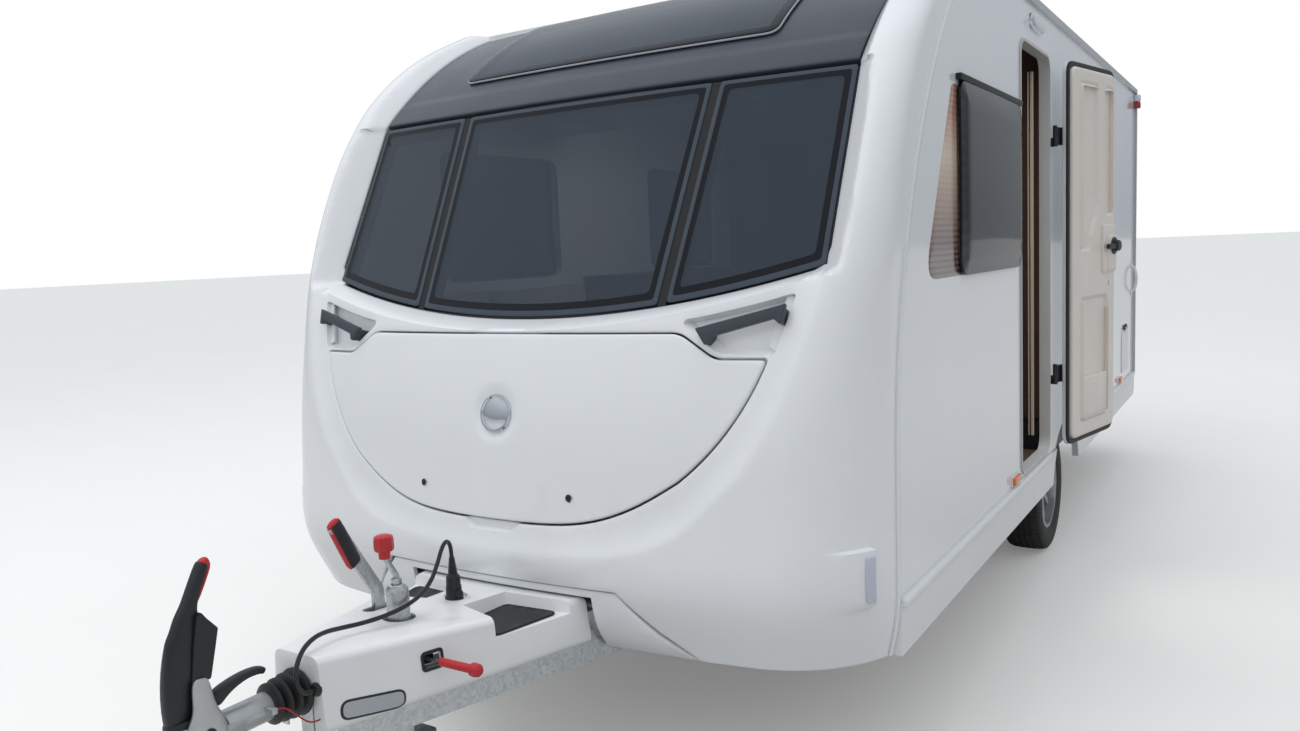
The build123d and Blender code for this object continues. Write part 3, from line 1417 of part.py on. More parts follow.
# Lamps: amber side lamps, pill markers at the nose, end markers under the roof, the awning lamp
# side, y, height
END_MARKER = ROOF_HEIGHT - 102
AWNING_LAMP = ROOF_HEIGHT - 115
MARKER_PILL_X = HALF - 41
SIDE_LAMPS = [(1, 2785, 590), (-1, 2785, 590), (1, 5780, 590), (-1, 5780, 590)]
with BuildPart() as nose_markers:
    for side in (1, -1):
        with BuildSketch(Plane.XZ.offset(-1150)):
            with Locations((side * MARKER_PILL_X, level(664))):
                SlotOverall(128, 26, rotation=90)
        extrude(amount=-120)
    add(nose_block(-5.0, False), mode=Mode.INTERSECT)
    add(front_moulding.part, mode=Mode.SUBTRACT)
    add(nose_block(12.0, False, extend=20), mode=Mode.SUBTRACT)

with BuildPart() as outer_lamps:
    for side, y, height in SIDE_LAMPS:
        low_x = min(side * (HALF + 0.3), side * (HALF + 16))
        with BuildSketch(Plane.YZ.offset(low_x)):
            with Locations((y, level(height))):
                RectangleRounded(110, 32, 12)
        extrude(amount=15.7)
    for side in (1, -1):
        low_x = min(side * (HALF + 0.3), side * (HALF + 46))
        with BuildSketch(Plane.YZ.offset(low_x)):
            with Locations((6440, level(END_MARKER))):
                RectangleRounded(42, 90, 16)
        extrude(amount=45.7)
    with BuildSketch(Plane.YZ.offset(HALF + 0.3)):
        with Locations((3195, level(AWNING_LAMP))):
            SlotOverall(240, 60)
    extrude(amount=26, taper=15)
    for side in (1, -1):
        with BuildSketch(Plane.XZ.offset(-(REAR_Y + 0.4))):
            with Locations((side * 985, level(905))):
                RectangleRounded(170, 480, 40)
        extrude(amount=-38, taper=14)
    add(nose_markers.part)
finish(outer_lamps.part, "outer_lamps")

# Awning rails along the roof's edges
AWNING_RAIL_LOW = ROOF_HEIGHT - 45
with BuildPart() as awning_rails:
    for side in (1, -1):
        low_x = min(side * (HALF + 0.3), side * (HALF + 14))
        with BuildSketch(Plane.YZ.offset(low_x)):
            with BuildLine():
                Polyline(
                    (2320, level(AWNING_RAIL_LOW)),
                    (REAR_Y - 2, level(AWNING_RAIL_LOW)),
                    (REAR_Y - 2, level(AWNING_RAIL_LOW + 28)),
                    (2360, level(AWNING_RAIL_LOW + 28)),
                    (2320, level(AWNING_RAIL_LOW)),
                )
            make_face()
        extrude(amount=13.7)
        with BuildSketch(Plane.YZ.offset(low_x)):
            with BuildLine():
                Polyline(
                    (REAR_Y - 26, level(SKIRT_TOP)),
                    (REAR_Y - 2, level(SKIRT_TOP)),
                    (REAR_Y - 2, level(AWNING_RAIL_LOW)),
                    (REAR_Y - 26, level(AWNING_RAIL_LOW)),
                    (REAR_Y - 26, level(SKIRT_TOP)),
                )
            make_face()
        extrude(amount=13.7)
finish(awning_rails.part, "awning_rails")

# Front grab handles, badge disc and the lid's two locks
HANDLE_INNER = (648, 1300)
HANDLE_OUTER = (884, 1368)
with BuildPart() as front_handles:
    for side in (1, -1):
        inner = Vector(side * HANDLE_INNER[0], 1098, level(HANDLE_INNER[1]))
        outer = Vector(side * HANDLE_OUTER[0], 1146, level(HANDLE_OUTER[1]))
        with BuildLine() as bar_line:
            FilletPolyline(inner + Vector(0, 60, -6), inner, outer, outer + Vector(0, 60, -6), radius=12)
        with BuildSketch(Plane(origin=inner + Vector(0, 60, -6), x_dir=(0, 0, 1), z_dir=(0, -1, 0.1))):
            RectangleRounded(26, 16, 6)
        sweep()
    add(front_moulding.part, mode=Mode.SUBTRACT)
finish(front_handles.part, "front_handles")

BADGE = 1080.0
BADGE_DIA = 116.0
LOCK_X = 281.0
LOCK = 853.0
with BuildPart() as lid_trim:
    with BuildSketch(Plane.XZ.offset(-1000)):
        with Locations((0, level(BADGE))):
            Circle(BADGE_DIA / 2)
    extrude(amount=-16)
    for x in (-LOCK_X, LOCK_X):
        with BuildSketch(Plane.XZ.offset(-970)):
            with Locations((x, level(LOCK))):
                Circle(11)
        extrude(amount=-20)
    add(gas_locker_lid.part, mode=Mode.SUBTRACT)
finish(lid_trim.part, "lid_trim")

# Rear bumper with the lamp clusters
BUMPER_TOP = 640.0
with BuildPart() as rear_bumper:
    with BuildSketch(Plane.YZ.offset(-HALF)):
        with BuildLine():
            Polyline(
                (REAR_Y + 0.4, level(SKIRT_BOTTOM)),
                (REAR_Y + 60, level(SKIRT_BOTTOM + 10)),
                (REAR_Y + 80, level(SKIRT_BOTTOM + 90)),
                (REAR_Y + 60, level(BUMPER_TOP - 30)),
                (REAR_Y + 0.4, level(BUMPER_TOP)),
                (REAR_Y + 0.4, level(SKIRT_BOTTOM)),
            )
        make_face()
    extrude(amount=BODY_WIDTH)
    fillet(rear_bumper.edges().filter_by(Axis.Z, reverse=True).group_by(Axis.Y)[-1].filter_by(Axis.X), 10)
finish(rear_bumper.part, "rear_bumper")

# Inside, what shows through the glass and the doorway
SEAT_DEPTH = 640.0
SEAT_BASE_TOP = 880.0
SEAT_FRONT_Y = 1440.0
SEAT_REAR_Y = 2860.0
CUSHION_THICK = 140.0
BACK_THICK = 130.0
BACK_HIGH = 380.0
cabin_half = HALF - WALL
seat_middle_y = (SEAT_FRONT_Y + SEAT_REAR_Y) / 2
with BuildPart() as seat_bases:
    for side in (1, -1):
        centre_x = side * (cabin_half - 0.6 - SEAT_DEPTH / 2)
        with Locations((centre_x, seat_middle_y, (level(SEAT_BASE_TOP) + FLOOR_TOP_Z) / 2 + 0.2)):
            Box(SEAT_DEPTH, SEAT_REAR_Y - SEAT_FRONT_Y, SEAT_BASE_TOP - FLOOR_HEIGHT - 0.4)
finish(seat_bases.part, "seat_bases")

with BuildPart() as seat_cushions:
    for side in (1, -1):
        centre_x = side * (cabin_half - 20 - SEAT_DEPTH / 2)
        with Locations((centre_x, seat_middle_y, level(SEAT_BASE_TOP) + SEAT_GAP + CUSHION_THICK / 2)):
            Box(SEAT_DEPTH, SEAT_REAR_Y - SEAT_FRONT_Y - 20, CUSHION_THICK)
finish(seat_cushions.part, "seat_cushions")

with BuildPart() as back_cushions:
    for side in (1, -1):
        centre_x = side * (cabin_half - 24 - BACK_THICK / 2)
        base_z = level(SEAT_BASE_TOP) + CUSHION_THICK + 1
        with Locations((centre_x, seat_middle_y, base_z + BACK_HIGH / 2)):
            Box(BACK_THICK, SEAT_REAR_Y - SEAT_FRONT_Y - 60, BACK_HIGH)
finish(back_cushions.part, "back_cushions")

KITCHEN_DEPTH = 560.0
WORKTOP = 1400.0
WARDROBE_DEPTH = 520.0
WARDROBE_TOP = ROOF_HEIGHT - 100
WARDROBE_LONG = 1080.0
CHEST_TOP = 1120.0
LOCKER_DEEP = 340.0
BULKHEAD_Y = 4700.0
floor_top = FLOOR_HEIGHT + 0.4
with BuildPart() as cabin_furniture:
    # kitchen unit and its worktop, offside
    with Locations((-(cabin_half - 0.6 - KITCHEN_DEPTH / 2), 3840, level((floor_top + WORKTOP) / 2))):
        Box(KITCHEN_DEPTH, 1600, WORKTOP - floor_top)
    with Locations((-(cabin_half - 0.6 - KITCHEN_DEPTH / 2 - 10), 3840, level(WORKTOP + 14))):
        Box(KITCHEN_DEPTH + 20, 1620, 28)
    # wardrobe, nearside behind the door
    with Locations((cabin_half - 0.6 - WARDROBE_DEPTH / 2, 4120, level((floor_top + WARDROBE_TOP) / 2))):
        Box(WARDROBE_DEPTH, WARDROBE_LONG, WARDROBE_TOP - floor_top)
    # the wheel housings stand inside both
    for side in (1, -1):
        with Locations((side * (cabin_half - 120), AXLE_Y, level(WELL_TOP) - 100)):
            Box(400, 2 * WELL_HALF_Y + 6, 212, mode=Mode.SUBTRACT)
    # chest between the seats, lockers under the roof and the washroom's wall
    with Locations((0, SEAT_FRONT_Y + 200, level((floor_top + CHEST_TOP) / 2))):
        Box(440, 400, CHEST_TOP - floor_top)
    for side in (1, -1):
        with Locations((side * (cabin_half - 0.6 - LOCKER_DEEP / 2), 2650, WALL_TOP_Z - 170.8)):
            Box(LOCKER_DEEP, 500, 340)
    with Locations((0, BULKHEAD_Y, (FLOOR_TOP_Z + WALL_TOP_Z) / 2)):
        Box(2 * (cabin_half - 0.6), 30, WALL_TOP_Z - FLOOR_TOP_Z - 0.8)
finish(cabin_furniture.part, "cabin_furniture")
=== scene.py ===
"""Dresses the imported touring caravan: its surfaces, glazing, soft goods, cords and studio."""
from __future__ import annotations

import logging
import math
from dataclasses import dataclass, field
from enum import Enum
from typing import Callable, Sequence

import bmesh
import bpy
import numpy as np
from mathutils import Matrix, Vector
from mathutils.bvhtree import BVHTree
from mathutils.geometry import delaunay_2d_cdt

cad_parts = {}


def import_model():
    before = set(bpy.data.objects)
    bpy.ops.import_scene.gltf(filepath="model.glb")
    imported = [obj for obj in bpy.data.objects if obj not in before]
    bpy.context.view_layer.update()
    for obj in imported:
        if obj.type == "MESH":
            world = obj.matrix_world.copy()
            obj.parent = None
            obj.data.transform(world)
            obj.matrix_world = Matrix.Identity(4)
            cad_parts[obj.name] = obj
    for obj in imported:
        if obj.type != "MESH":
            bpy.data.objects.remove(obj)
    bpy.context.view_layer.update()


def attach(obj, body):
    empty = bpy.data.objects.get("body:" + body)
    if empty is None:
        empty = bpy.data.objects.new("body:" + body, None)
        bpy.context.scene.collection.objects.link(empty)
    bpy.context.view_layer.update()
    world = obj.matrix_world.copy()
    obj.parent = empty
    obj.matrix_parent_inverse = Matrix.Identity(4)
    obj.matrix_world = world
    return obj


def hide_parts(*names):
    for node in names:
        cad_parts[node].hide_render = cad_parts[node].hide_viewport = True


LOG = logging.getLogger("caravan")
Point = tuple[float, float]
Loop = list[Point]
Place = Callable[[float, float, float], Vector]
Object = bpy.types.Object
Material = bpy.types.Material
Socket = bpy.types.NodeSocket

# The body that carries all fixed pieces
BODY = "caravan_body"


# Driving sizes, metres; heights are above the ground and level() turns them into the frame
BALL_HEIGHT = 0.490
HALF = 1.115
ROOF = 2.500
ROOF_START_Y = 2.250
REAR_Y = 6.500
RAKE = math.radians(26.7)
SILL = 1.355
SILL_Y = 1.208
WINDOW_TOP = 2.050
WINDOW_HALF = 0.950
BOW_RADIUS = 10.0
BOW_AXIS_Y = SILL_Y + BOW_RADIUS
SMILE_RADIUS = 3.550
# A point inside the cabin, from which all panels face outwards
BODY_CENTRE = Vector((0.0, 3.5, 0.8))


def level(height: float) -> float:
    """Height above the ground as a height in the frame."""
    return height - BALL_HEIGHT


def smooth_max(a: float, b: float, blend: float) -> float:
    """The larger of two values with a rounded change between them."""
    gap = max(blend - abs(a - b), 0.0)
    return max(a, b) + gap * gap / (4 * blend)


def ease(value: float, low: float, high: float) -> float:
    """Smooth step from 0 at low to 1 at high."""
    t = min(max((value - low) / (high - low), 0.0), 1.0)
    return t * t * (3 - 2 * t)


def rounded(points: Sequence[Point], radius: float | Sequence[float], steps: int = 6) -> Loop:
    """Rounds the corners of a closed outline.

    Args:
        points: The outline's corners in order.
        radius: Corner radius, or one for each corner.
        steps: Segments in each arc.

    Returns:
        The outline with an arc at each corner.
    """
    radii = [radius] * len(points) if isinstance(radius, float) else list(radius)
    loop: Loop = []
    for index, corner in enumerate(points):
        here = Vector(corner)
        before = Vector(points[index - 1]) - here
        after = Vector(points[(index + 1) % len(points)]) - here
        half_turn = before.angle(after) / 2
        cut = min(radii[index] / math.tan(half_turn), before.length * 0.49, after.length * 0.49)
        if cut < 1e-4:
            loop.append((here.x, here.y))
            continue
        start, end = here + before.normalized() * cut, here + after.normalized() * cut
        for step in range(steps + 1):
            t = step / steps
            point = start * (1 - t) ** 2 + here * 2 * t * (1 - t) + end * t ** 2
            loop.append((point.x, point.y))
    return loop


def softly(points: Sequence[Point], rounds: int = 4) -> Loop:
    """Cuts a closed outline's corners again and again until it is one smooth curve.

    Args:
        points: The outline's corners in order.
        rounds: How often the corners are cut.

    Returns:
        The smooth outline.
    """
    loop = list(points)
    for _ in range(rounds):
        cut: Loop = []
        for a, b in zip(loop, [*loop[1:], loop[0]]):
            cut.append((a[0] * 0.75 + b[0] * 0.25, a[1] * 0.75 + b[1] * 0.25))
            cut.append((a[0] * 0.25 + b[0] * 0.75, a[1] * 0.25 + b[1] * 0.75))
        loop = cut
    return loop


def gap_to(here: Point, starts: np.ndarray, ends: np.ndarray) -> float:
    """Measures the distance from a point to the nearest of some straight runs.

    Args:
        here: The point.
        starts: First point of each run.
        ends: Last point of each run.

    Returns:
        The distance.
    """
    spot, run = np.array(here), ends - starts
    t = np.clip(np.einsum("ij,ij->i", spot - starts, run) / np.einsum("ij,ij->i", run, run), 0, 1)
    return float(np.min(np.linalg.norm(starts + run * t[:, None] - spot, axis=1)))


def depth_in(here: Point, loop: np.ndarray) -> float:
    """Distance of a point from a closed outline, negative outside it."""
    gap = gap_to(here, loop, np.roll(loop, -1, axis=0))
    return gap if inside(np.array([here]), loop)[0] else -gap


def refined(loop: Sequence[Point], step: float) -> Loop:
    """Splits the long runs of a closed outline and makes it run anticlockwise.

    Args:
        loop: The outline.
        step: Longest run that is kept.

    Returns:
        The outline with more points.
    """
    area = sum(a[0] * b[1] - b[0] * a[1] for a, b in zip(loop, [*loop[1:], loop[0]]))
    ordered = list(loop) if area > 0 else list(reversed(loop))
    result: Loop = []
    for a, b in zip(ordered, [*ordered[1:], ordered[0]]):
        length = math.dist(a, b)
        if length < 1e-5:
            continue
        pieces = max(1, math.ceil(length / step))
        result.extend((a[0] + (b[0] - a[0]) * k / pieces, a[1] + (b[1] - a[1]) * k / pieces)
                      for k in range(pieces))
    return result


def offset(loop: Sequence[Point], distance: float) -> Loop:
    """Moves an anticlockwise outline inwards.

    Args:
        loop: The outline.
        distance: How far it moves; a negative distance moves it outwards.

    Returns:
        The moved outline.
    """
    points = np.array(loop)
    ahead = np.roll(points, -1, axis=0) - points
    ahead /= np.linalg.norm(ahead, axis=1)[:, None]
    behind = np.roll(ahead, 1, axis=0)
    normal = np.stack([-(ahead[:, 1] + behind[:, 1]), ahead[:, 0] + behind[:, 0]], axis=1) / 2
    scale = np.clip(np.einsum("ij,ij->i", normal, normal), 0.35, None)[:, None]
    moved = points + normal / scale * distance
    return [(float(x), float(y)) for x, y in moved]


def inside(points: np.ndarray, loop: Sequence[Point]) -> np.ndarray:
    """Tells which points lie inside a closed outline.

    Args:
        points: Rows of two coordinates.
        loop: The outline.

    Returns:
        One truth value for each row.
    """
    a = np.array(loop)
    b = np.roll(a, -1, axis=0)
    x, y = points[:, 0:1], points[:, 1:2]
    crosses = (a[:, 1] > y) != (b[:, 1] > y)
    rise = np.where(b[:, 1] == a[:, 1], 1e-12, b[:, 1] - a[:, 1])
    where = (b[:, 0] - a[:, 0]) * (y - a[:, 1]) / rise + a[:, 0]
    return np.sum(crosses & (x < where), axis=1) % 2 == 1


def circle_through(a: Point, b: Point, c: Point) -> tuple[Point, float]:
    """Finds the circle through three points.

    Args:
        a: First point.
        b: Second point.
        c: Third point.

    Returns:
        Its centre and its radius.
    """
    d = 2 * (a[0] * (b[1] - c[1]) + b[0] * (c[1] - a[1]) + c[0] * (a[1] - b[1]))
    square_a, square_b, square_c = (p[0] ** 2 + p[1] ** 2 for p in (a, b, c))
    x = (square_a * (b[1] - c[1]) + square_b * (c[1] - a[1]) + square_c * (a[1] - b[1])) / d
    y = (square_a * (c[0] - b[0]) + square_b * (a[0] - c[0]) + square_c * (b[0] - a[0])) / d
    return (x, y), math.dist((x, y), a)


def activate(obj: Object) -> None:
    """Selects one object alone and makes it active."""
    bpy.ops.object.select_all(action="DESELECT")
    obj.select_set(True)
    bpy.context.view_layer.objects.active = obj


def shade(obj: Object, degrees: float = 35.0) -> Object:
    """Shades an object smooth up to an angle."""
    activate(obj)
    bpy.ops.object.shade_smooth_by_angle(angle=math.radians(degrees))
    return obj


def new_piece(
    name: str,
    points: Sequence[Vector],
    faces: Sequence[Sequence[int]],
    finishes: Sequence[Finish],
    zones: Sequence[int] | None = None,
    degrees: float = 35.0,
) -> Object:
    """Makes an object from points and faces, welded, facing outwards and shaded.

    Args:
        name: Object name.
        points: Places of the vertices.
        faces: Vertex numbers of each face.
        finishes: Finishes of the object's slots.
        zones: Slot number of each face.
        degrees: Angle up to which edges are shaded smooth.

    Returns:
        The new object.
    """
    mesh = bpy.data.meshes.new(name)
    mesh.from_pydata([tuple(p) for p in points], [], [tuple(f) for f in faces])
    for finish in finishes:
        mesh.materials.append(finish.material())
    if zones is not None:
        mesh.polygons.foreach_set("material_index", list(zones))
    shell = bmesh.new()
    shell.from_mesh(mesh)
    bmesh.ops.remove_doubles(shell, verts=shell.verts, dist=1e-5)
    bmesh.ops.recalc_face_normals(shell, faces=shell.faces)
    shell.to_mesh(mesh)
    shell.free()
    obj = bpy.data.objects.new(name, mesh)
    bpy.context.scene.collection.objects.link(obj)
    return shade(obj, degrees)


def on_surface(surface: Callable[[float, float], Vector], centre: Vector = BODY_CENTRE) -> Place:
    """Turns a surface into a place function that steps inwards by a depth.

    Args:
        surface: Gives the point at two surface coordinates.
        centre: A point on the inner side.

    Returns:
        A function of both coordinates and the depth.
    """
    step = 0.002

    def place(u: float, v: float, depth: float) -> Vector:
        """The point at a depth under the surface."""
        here = surface(u, v)
        if abs(depth) < 1e-7:
            return here
        across = surface(u + step, v) - surface(u - step, v)
        along = surface(u, v + step) - surface(u, v - step)
        normal = across.cross(along).normalized()
        if normal.dot(centre - here) < 0:
            normal.negate()
        return here + normal * depth

    return place


@dataclass
class Panel:
    """A moulded sheet with rolled edges, holes and zones of its own material."""

    outline: Sequence[Point]
    place: Place
    thickness: float = 0.006
    roll: float = 0.004
    pitch: float = 0.025
    holes: Sequence[Sequence[Point]] = ()
    hole_roll: float = 0.004
    zones: Sequence[Sequence[Point]] = ()
    roll_steps: int = 3

    def edge_rings(self, loop: Loop, roll: float, sign: float) -> list[tuple[Loop, float]]:
        """Rolls an edge over.

        Args:
            loop: The edge.
            roll: Radius of the roll.
            sign: 1 for the outline, -1 for a hole.

        Returns:
            The loops of the roll, each with its depth.
        """
        rings = []
        for step in range(self.roll_steps + 1):
            turn = math.pi / 2 * step / self.roll_steps
            inset = sign * roll * (1 - math.sin(turn))
            rings.append((offset(loop, inset), roll * (1 - math.cos(turn))))
        rings.append((loop, self.thickness))
        return rings

    def grid(self, borders: Sequence[Loop], outer: Loop) -> np.ndarray:
        """Spreads staggered points over the face.

        Args:
            borders: Loops that the points stay clear of.
            outer: Outline that holds the points.

        Returns:
            Rows of two coordinates.
        """
        low, high = np.min(outer, axis=0), np.max(outer, axis=0)
        rows = np.arange(low[1] + self.pitch / 2, high[1], self.pitch * 0.87)
        points = []
        for row, v in enumerate(rows):
            start = low[0] + self.pitch * (0.5 if row % 2 else 0.25)
            points.extend((u, v) for u in np.arange(start, high[0], self.pitch))
        cloud = np.array(points)
        fixed = np.concatenate([np.array(loop) for loop in borders])
        keep = inside(cloud, outer)
        cloud = cloud[keep]
        clear = np.ones(len(cloud), bool)
        for start in range(0, len(cloud), 2000):
            part = cloud[start:start + 2000]
            gaps = np.min(np.linalg.norm(part[:, None, :] - fixed[None, :, :], axis=2), axis=1)
            clear[start:start + 2000] = gaps > self.pitch * 0.5
        return cloud[clear]

    def build(self, name: str, finishes: Sequence[Finish]) -> Object:
        """Makes the panel as a closed mesh.

        Args:
            name: Object name.
            finishes: Finish of the border, then one for each zone.

        Returns:
            The new object.
        """
        step = self.pitch * 0.7
        edges = [(refined(self.outline, step), self.roll, 1.0)]
        edges += [(refined(hole, step), self.hole_roll, -1.0) for hole in self.holes]
        rings = [self.edge_rings(loop, roll, sign) for loop, roll, sign in edges]
        borders = [ring[0][0] for ring in rings]
        zones = [refined(zone, step) for zone in self.zones]
        loops = [*borders, *zones]
        flat: list[Point] = []
        links: list[tuple[int, int]] = []
        for loop in loops:
            first = len(flat)
            flat.extend(loop)
            links.extend((first + k, first + (k + 1) % len(loop)) for k in range(len(loop)))
        flat.extend((float(u), float(v)) for u, v in self.grid(loops, borders[0]))
        out, _, triangles, origins, _, _ = delaunay_2d_cdt([Vector(p) for p in flat], links, [], 0, 1e-6)
        number = {}
        for index, sources in enumerate(origins):
            for source in sources:
                number[source] = index
        corners = np.array([tuple(p) for p in out])
        middles = np.array([corners[list(t)].mean(axis=0) for t in triangles])
        kept = inside(middles, borders[0])
        for border in borders[1:]:
            kept &= ~inside(middles, border)
        level_of = np.zeros(len(triangles), int)
        for index, zone in enumerate(zones):
            level_of[inside(middles, zone)] = index + 1
        count = len(out)
        points = [self.place(p[0], p[1], 0.0) for p in corners]
        points += [self.place(p[0], p[1], self.thickness) for p in corners]
        faces, slots = [], []
        top_slot = len(finishes) - 1
        for triangle, keep, zone in zip(triangles, kept, level_of):
            if keep:
                faces.append(tuple(triangle))
                faces.append(tuple(count + k for k in reversed(triangle)))
                slots += [min(int(zone), top_slot)] * 2
        start = 0
        for ring_set in rings:
            size = len(ring_set[0][0])
            previous = [number[start + k] for k in range(size)]
            last = [count + k for k in previous]
            for loop, depth in ring_set[1:]:
                first = len(points)
                points.extend(self.place(u, v, depth) for u, v in loop)
                following = list(range(first, first + size))
                faces += self.bridge(previous, following)
                slots += [0] * size
                previous = following
            faces += self.bridge(previous, last)
            slots += [0] * size
            start += size
        return new_piece(name, points, faces, finishes, slots)

    @staticmethod
    def bridge(first: Sequence[int], second: Sequence[int]) -> list[tuple[int, ...]]:
        """Faces between two rings of the same count."""
        size = len(first)
        return [(first[k], first[(k + 1) % size], second[(k + 1) % size], second[k]) for k in range(size)]


def ring_of(
    centre: Vector,
    across: Vector,
    up: Vector,
    half: Point,
    power: float,
    count: int,
) -> list[Vector]:
    """Spreads points along a rounded cross outline.

    Args:
        centre: Middle of the outline.
        across: Direction of the first half size.
        up: Direction of the second half size.
        half: The two half sizes.
        power: 2 for an ellipse, more for squarer corners.
        count: Points round the outline.

    Returns:
        The points.
    """
    points = []
    for k in range(count):
        turn = 2 * math.pi * (k + 0.5) / count
        c, s = math.cos(turn), math.sin(turn)
        u = math.copysign(abs(c) ** (2 / power), c) * half[0]
        v = math.copysign(abs(s) ** (2 / power), s) * half[1]
        points.append(centre + across * u + up * v)
    return points


@dataclass
class Station:
    """One cross outline of a lofted form: its place, half sizes and squareness."""

    at: tuple[float, float, float]
    half: Point
    power: float = 2.6


def from_mm(rows: Sequence[tuple[float, ...]], power: float = Station.power) -> list[Station]:
    """Stations from rows in millimetres: x, y, height above the ground and both half sizes."""
    return [Station((x / 1000, y / 1000, level(height / 1000)), (across / 1000, up / 1000), power)
            for x, y, height, across, up in rows]


def loft(
    name: str,
    stations: Sequence[Station],
    finishes: Sequence[Finish],
    side: Vector = Vector((1, 0, 0)),
    count: int = 20,
    zone: Callable[[int, int], int] | None = None,
    smooth: int = 0,
    degrees: float = 40.0,
) -> Object:
    """Lofts a closed form through stations along a path.

    Args:
        name: Object name.
        stations: Cross outlines in order.
        finishes: Finishes of the slots.
        side: Direction of each outline's first half size.
        count: Points round each outline.
        zone: Gives a face's slot from its station and its place round the outline.
        smooth: Levels of subdivision put on at the end.
        degrees: Angle up to which edges are shaded smooth.

    Returns:
        The new object.
    """
    places = [Vector(s.at) for s in stations]
    points: list[Vector] = []
    for index, station in enumerate(stations):
        before, after = places[max(index - 1, 0)], places[min(index + 1, len(places) - 1)]
        along = (after - before).normalized()
        across = (side - along * side.dot(along)).normalized()
        points += ring_of(places[index], across, along.cross(across), station.half, station.power, count)
    faces, slots = [], []
    for index in range(len(stations) - 1):
        for k in range(count):
            a, b = index * count + k, index * count + (k + 1) % count
            faces.append((a, b, b + count, a + count))
            slots.append(zone(index, k) if zone else 0)
    for first, station in ((0, 0), (len(points) - count, len(stations) - 2)):
        faces.append(tuple(range(first, first + count)))
        slots.append(zone(station, 0) if zone else 0)
    obj = new_piece(name, points, faces, finishes, slots, degrees)
    if smooth:
        modifier = obj.modifiers.new("Smooth", "SUBSURF")
        modifier.levels = modifier.render_levels = smooth
        activate(obj)
        bpy.ops.object.modifier_apply(modifier=modifier.name)
    return obj


def lathe(
    name: str,
    profile: Sequence[Point],
    at: Vector,
    axis: Vector,
    finish: Finish,
    steps: int = 40,
    degrees: float = 32.0,
) -> Object:
    """Turns a profile about an axis with the spin tool.

    Args:
        name: Object name.
        profile: Radius and distance along the axis, from the axis and back to it.
        at: A point on the axis.
        axis: Direction of the axis.
        finish: Finish of the piece.
        steps: Segments of a full turn.
        degrees: Angle up to which edges are shaded smooth.

    Returns:
        The new object.
    """
    along = axis.normalized()
    out = along.orthogonal().normalized()
    mesh = bpy.data.meshes.new(name)
    places = [at + out * radius + along * distance for radius, distance in profile]
    mesh.from_pydata([tuple(p) for p in places], [(k, k + 1) for k in range(len(places) - 1)], [])
    mesh.materials.append(finish.material())
    obj = bpy.data.objects.new(name, mesh)
    bpy.context.scene.collection.objects.link(obj)
    activate(obj)
    bpy.ops.object.mode_set(mode="EDIT")
    bpy.ops.mesh.select_all(action="SELECT")
    bpy.ops.mesh.spin(steps=steps, angle=2 * math.pi, center=at, axis=along)
    bpy.ops.mesh.select_all(action="SELECT")
    bpy.ops.mesh.remove_doubles(threshold=0.00002)
    bpy.ops.mesh.normals_make_consistent(inside=False)
    bpy.ops.object.mode_set(mode="OBJECT")
    return shade(obj, degrees)


def rounded_box(
    name: str,
    x: Point,
    y: Point,
    height: Point,
    radius: float,
    finish: Finish,
    segments: int = 3,
) -> Object:
    """Adds a box and bevels all its edges.

    Args:
        name: Object name.
        x: Both sides, in either order.
        y: Front and back.
        height: Bottom and top, above the ground.
        radius: Edge radius.
        finish: Finish of the piece.
        segments: Segments of each rounded edge.

    Returns:
        The new object.
    """
    low = Vector((min(x), y[0], level(height[0])))
    high = Vector((max(x), y[1], level(height[1])))
    bpy.ops.object.select_all(action="DESELECT")
    bpy.ops.mesh.primitive_cube_add(size=1.0, location=(low + high) / 2, scale=high - low)
    obj = bpy.context.active_object
    obj.name = obj.data.name = name
    bpy.ops.object.transform_apply(location=True, rotation=True, scale=True)
    bpy.ops.object.mode_set(mode="EDIT")
    bpy.ops.mesh.select_all(action="SELECT")
    bpy.ops.mesh.bevel(offset=radius, segments=segments, profile=0.5, affect="EDGES")
    bpy.ops.object.mode_set(mode="OBJECT")
    obj.data.materials.append(finish.material())
    return shade(obj)


def bead(
    name: str,
    path: Sequence[Vector],
    half: Point,
    finish: Finish,
    closed: bool = True,
    up: Vector = Vector((0, 0, 1)),
    count: int = 8,
) -> Object:
    """Runs a rounded strip along a path.

    Args:
        name: Object name.
        path: Points that the strip's middle follows.
        half: Half width and half height of the strip.
        finish: Finish of the piece.
        closed: Whether the path ends where it starts.
        up: Direction of the strip's half height.
        count: Points round the strip.

    Returns:
        The new object.
    """
    points: list[Vector] = []
    total = len(path)
    for index, here in enumerate(path):
        before = path[index - 1] if closed or index else path[0]
        after = path[(index + 1) % total] if closed or index < total - 1 else path[-1]
        along = (after - before).normalized()
        across = along.cross(up).normalized()
        points += ring_of(here, across, across.cross(along), half, 2.6, count)
    faces = []
    for index in range(total if closed else total - 1):
        for k in range(count):
            a, b = index * count + k, index * count + (k + 1) % count
            c, d = (index + 1) % total * count + (k + 1) % count, (index + 1) % total * count + k
            faces.append((a, b, c, d))
    if not closed:
        faces += [tuple(range(count)), tuple(range(len(points) - count, len(points)))]
    return new_piece(name, points, faces, [finish], None, 50.0)


def joined(name: str, parts: Sequence[Object]) -> Object:
    """Joins objects into one.

    Args:
        name: Name of the whole.
        parts: The objects.

    Returns:
        The joined object.
    """
    bpy.ops.object.select_all(action="DESELECT")
    for part in parts:
        part.select_set(True)
    bpy.context.view_layer.objects.active = parts[0]
    if len(parts) > 1:
        bpy.ops.object.join()
    obj = bpy.context.active_object
    obj.name = obj.data.name = name
    return obj


def turned(obj: Object, matrix: Matrix) -> Object:
    """Moves an object's mesh by a matrix."""
    obj.data.transform(matrix)
    obj.data.update()
    return obj


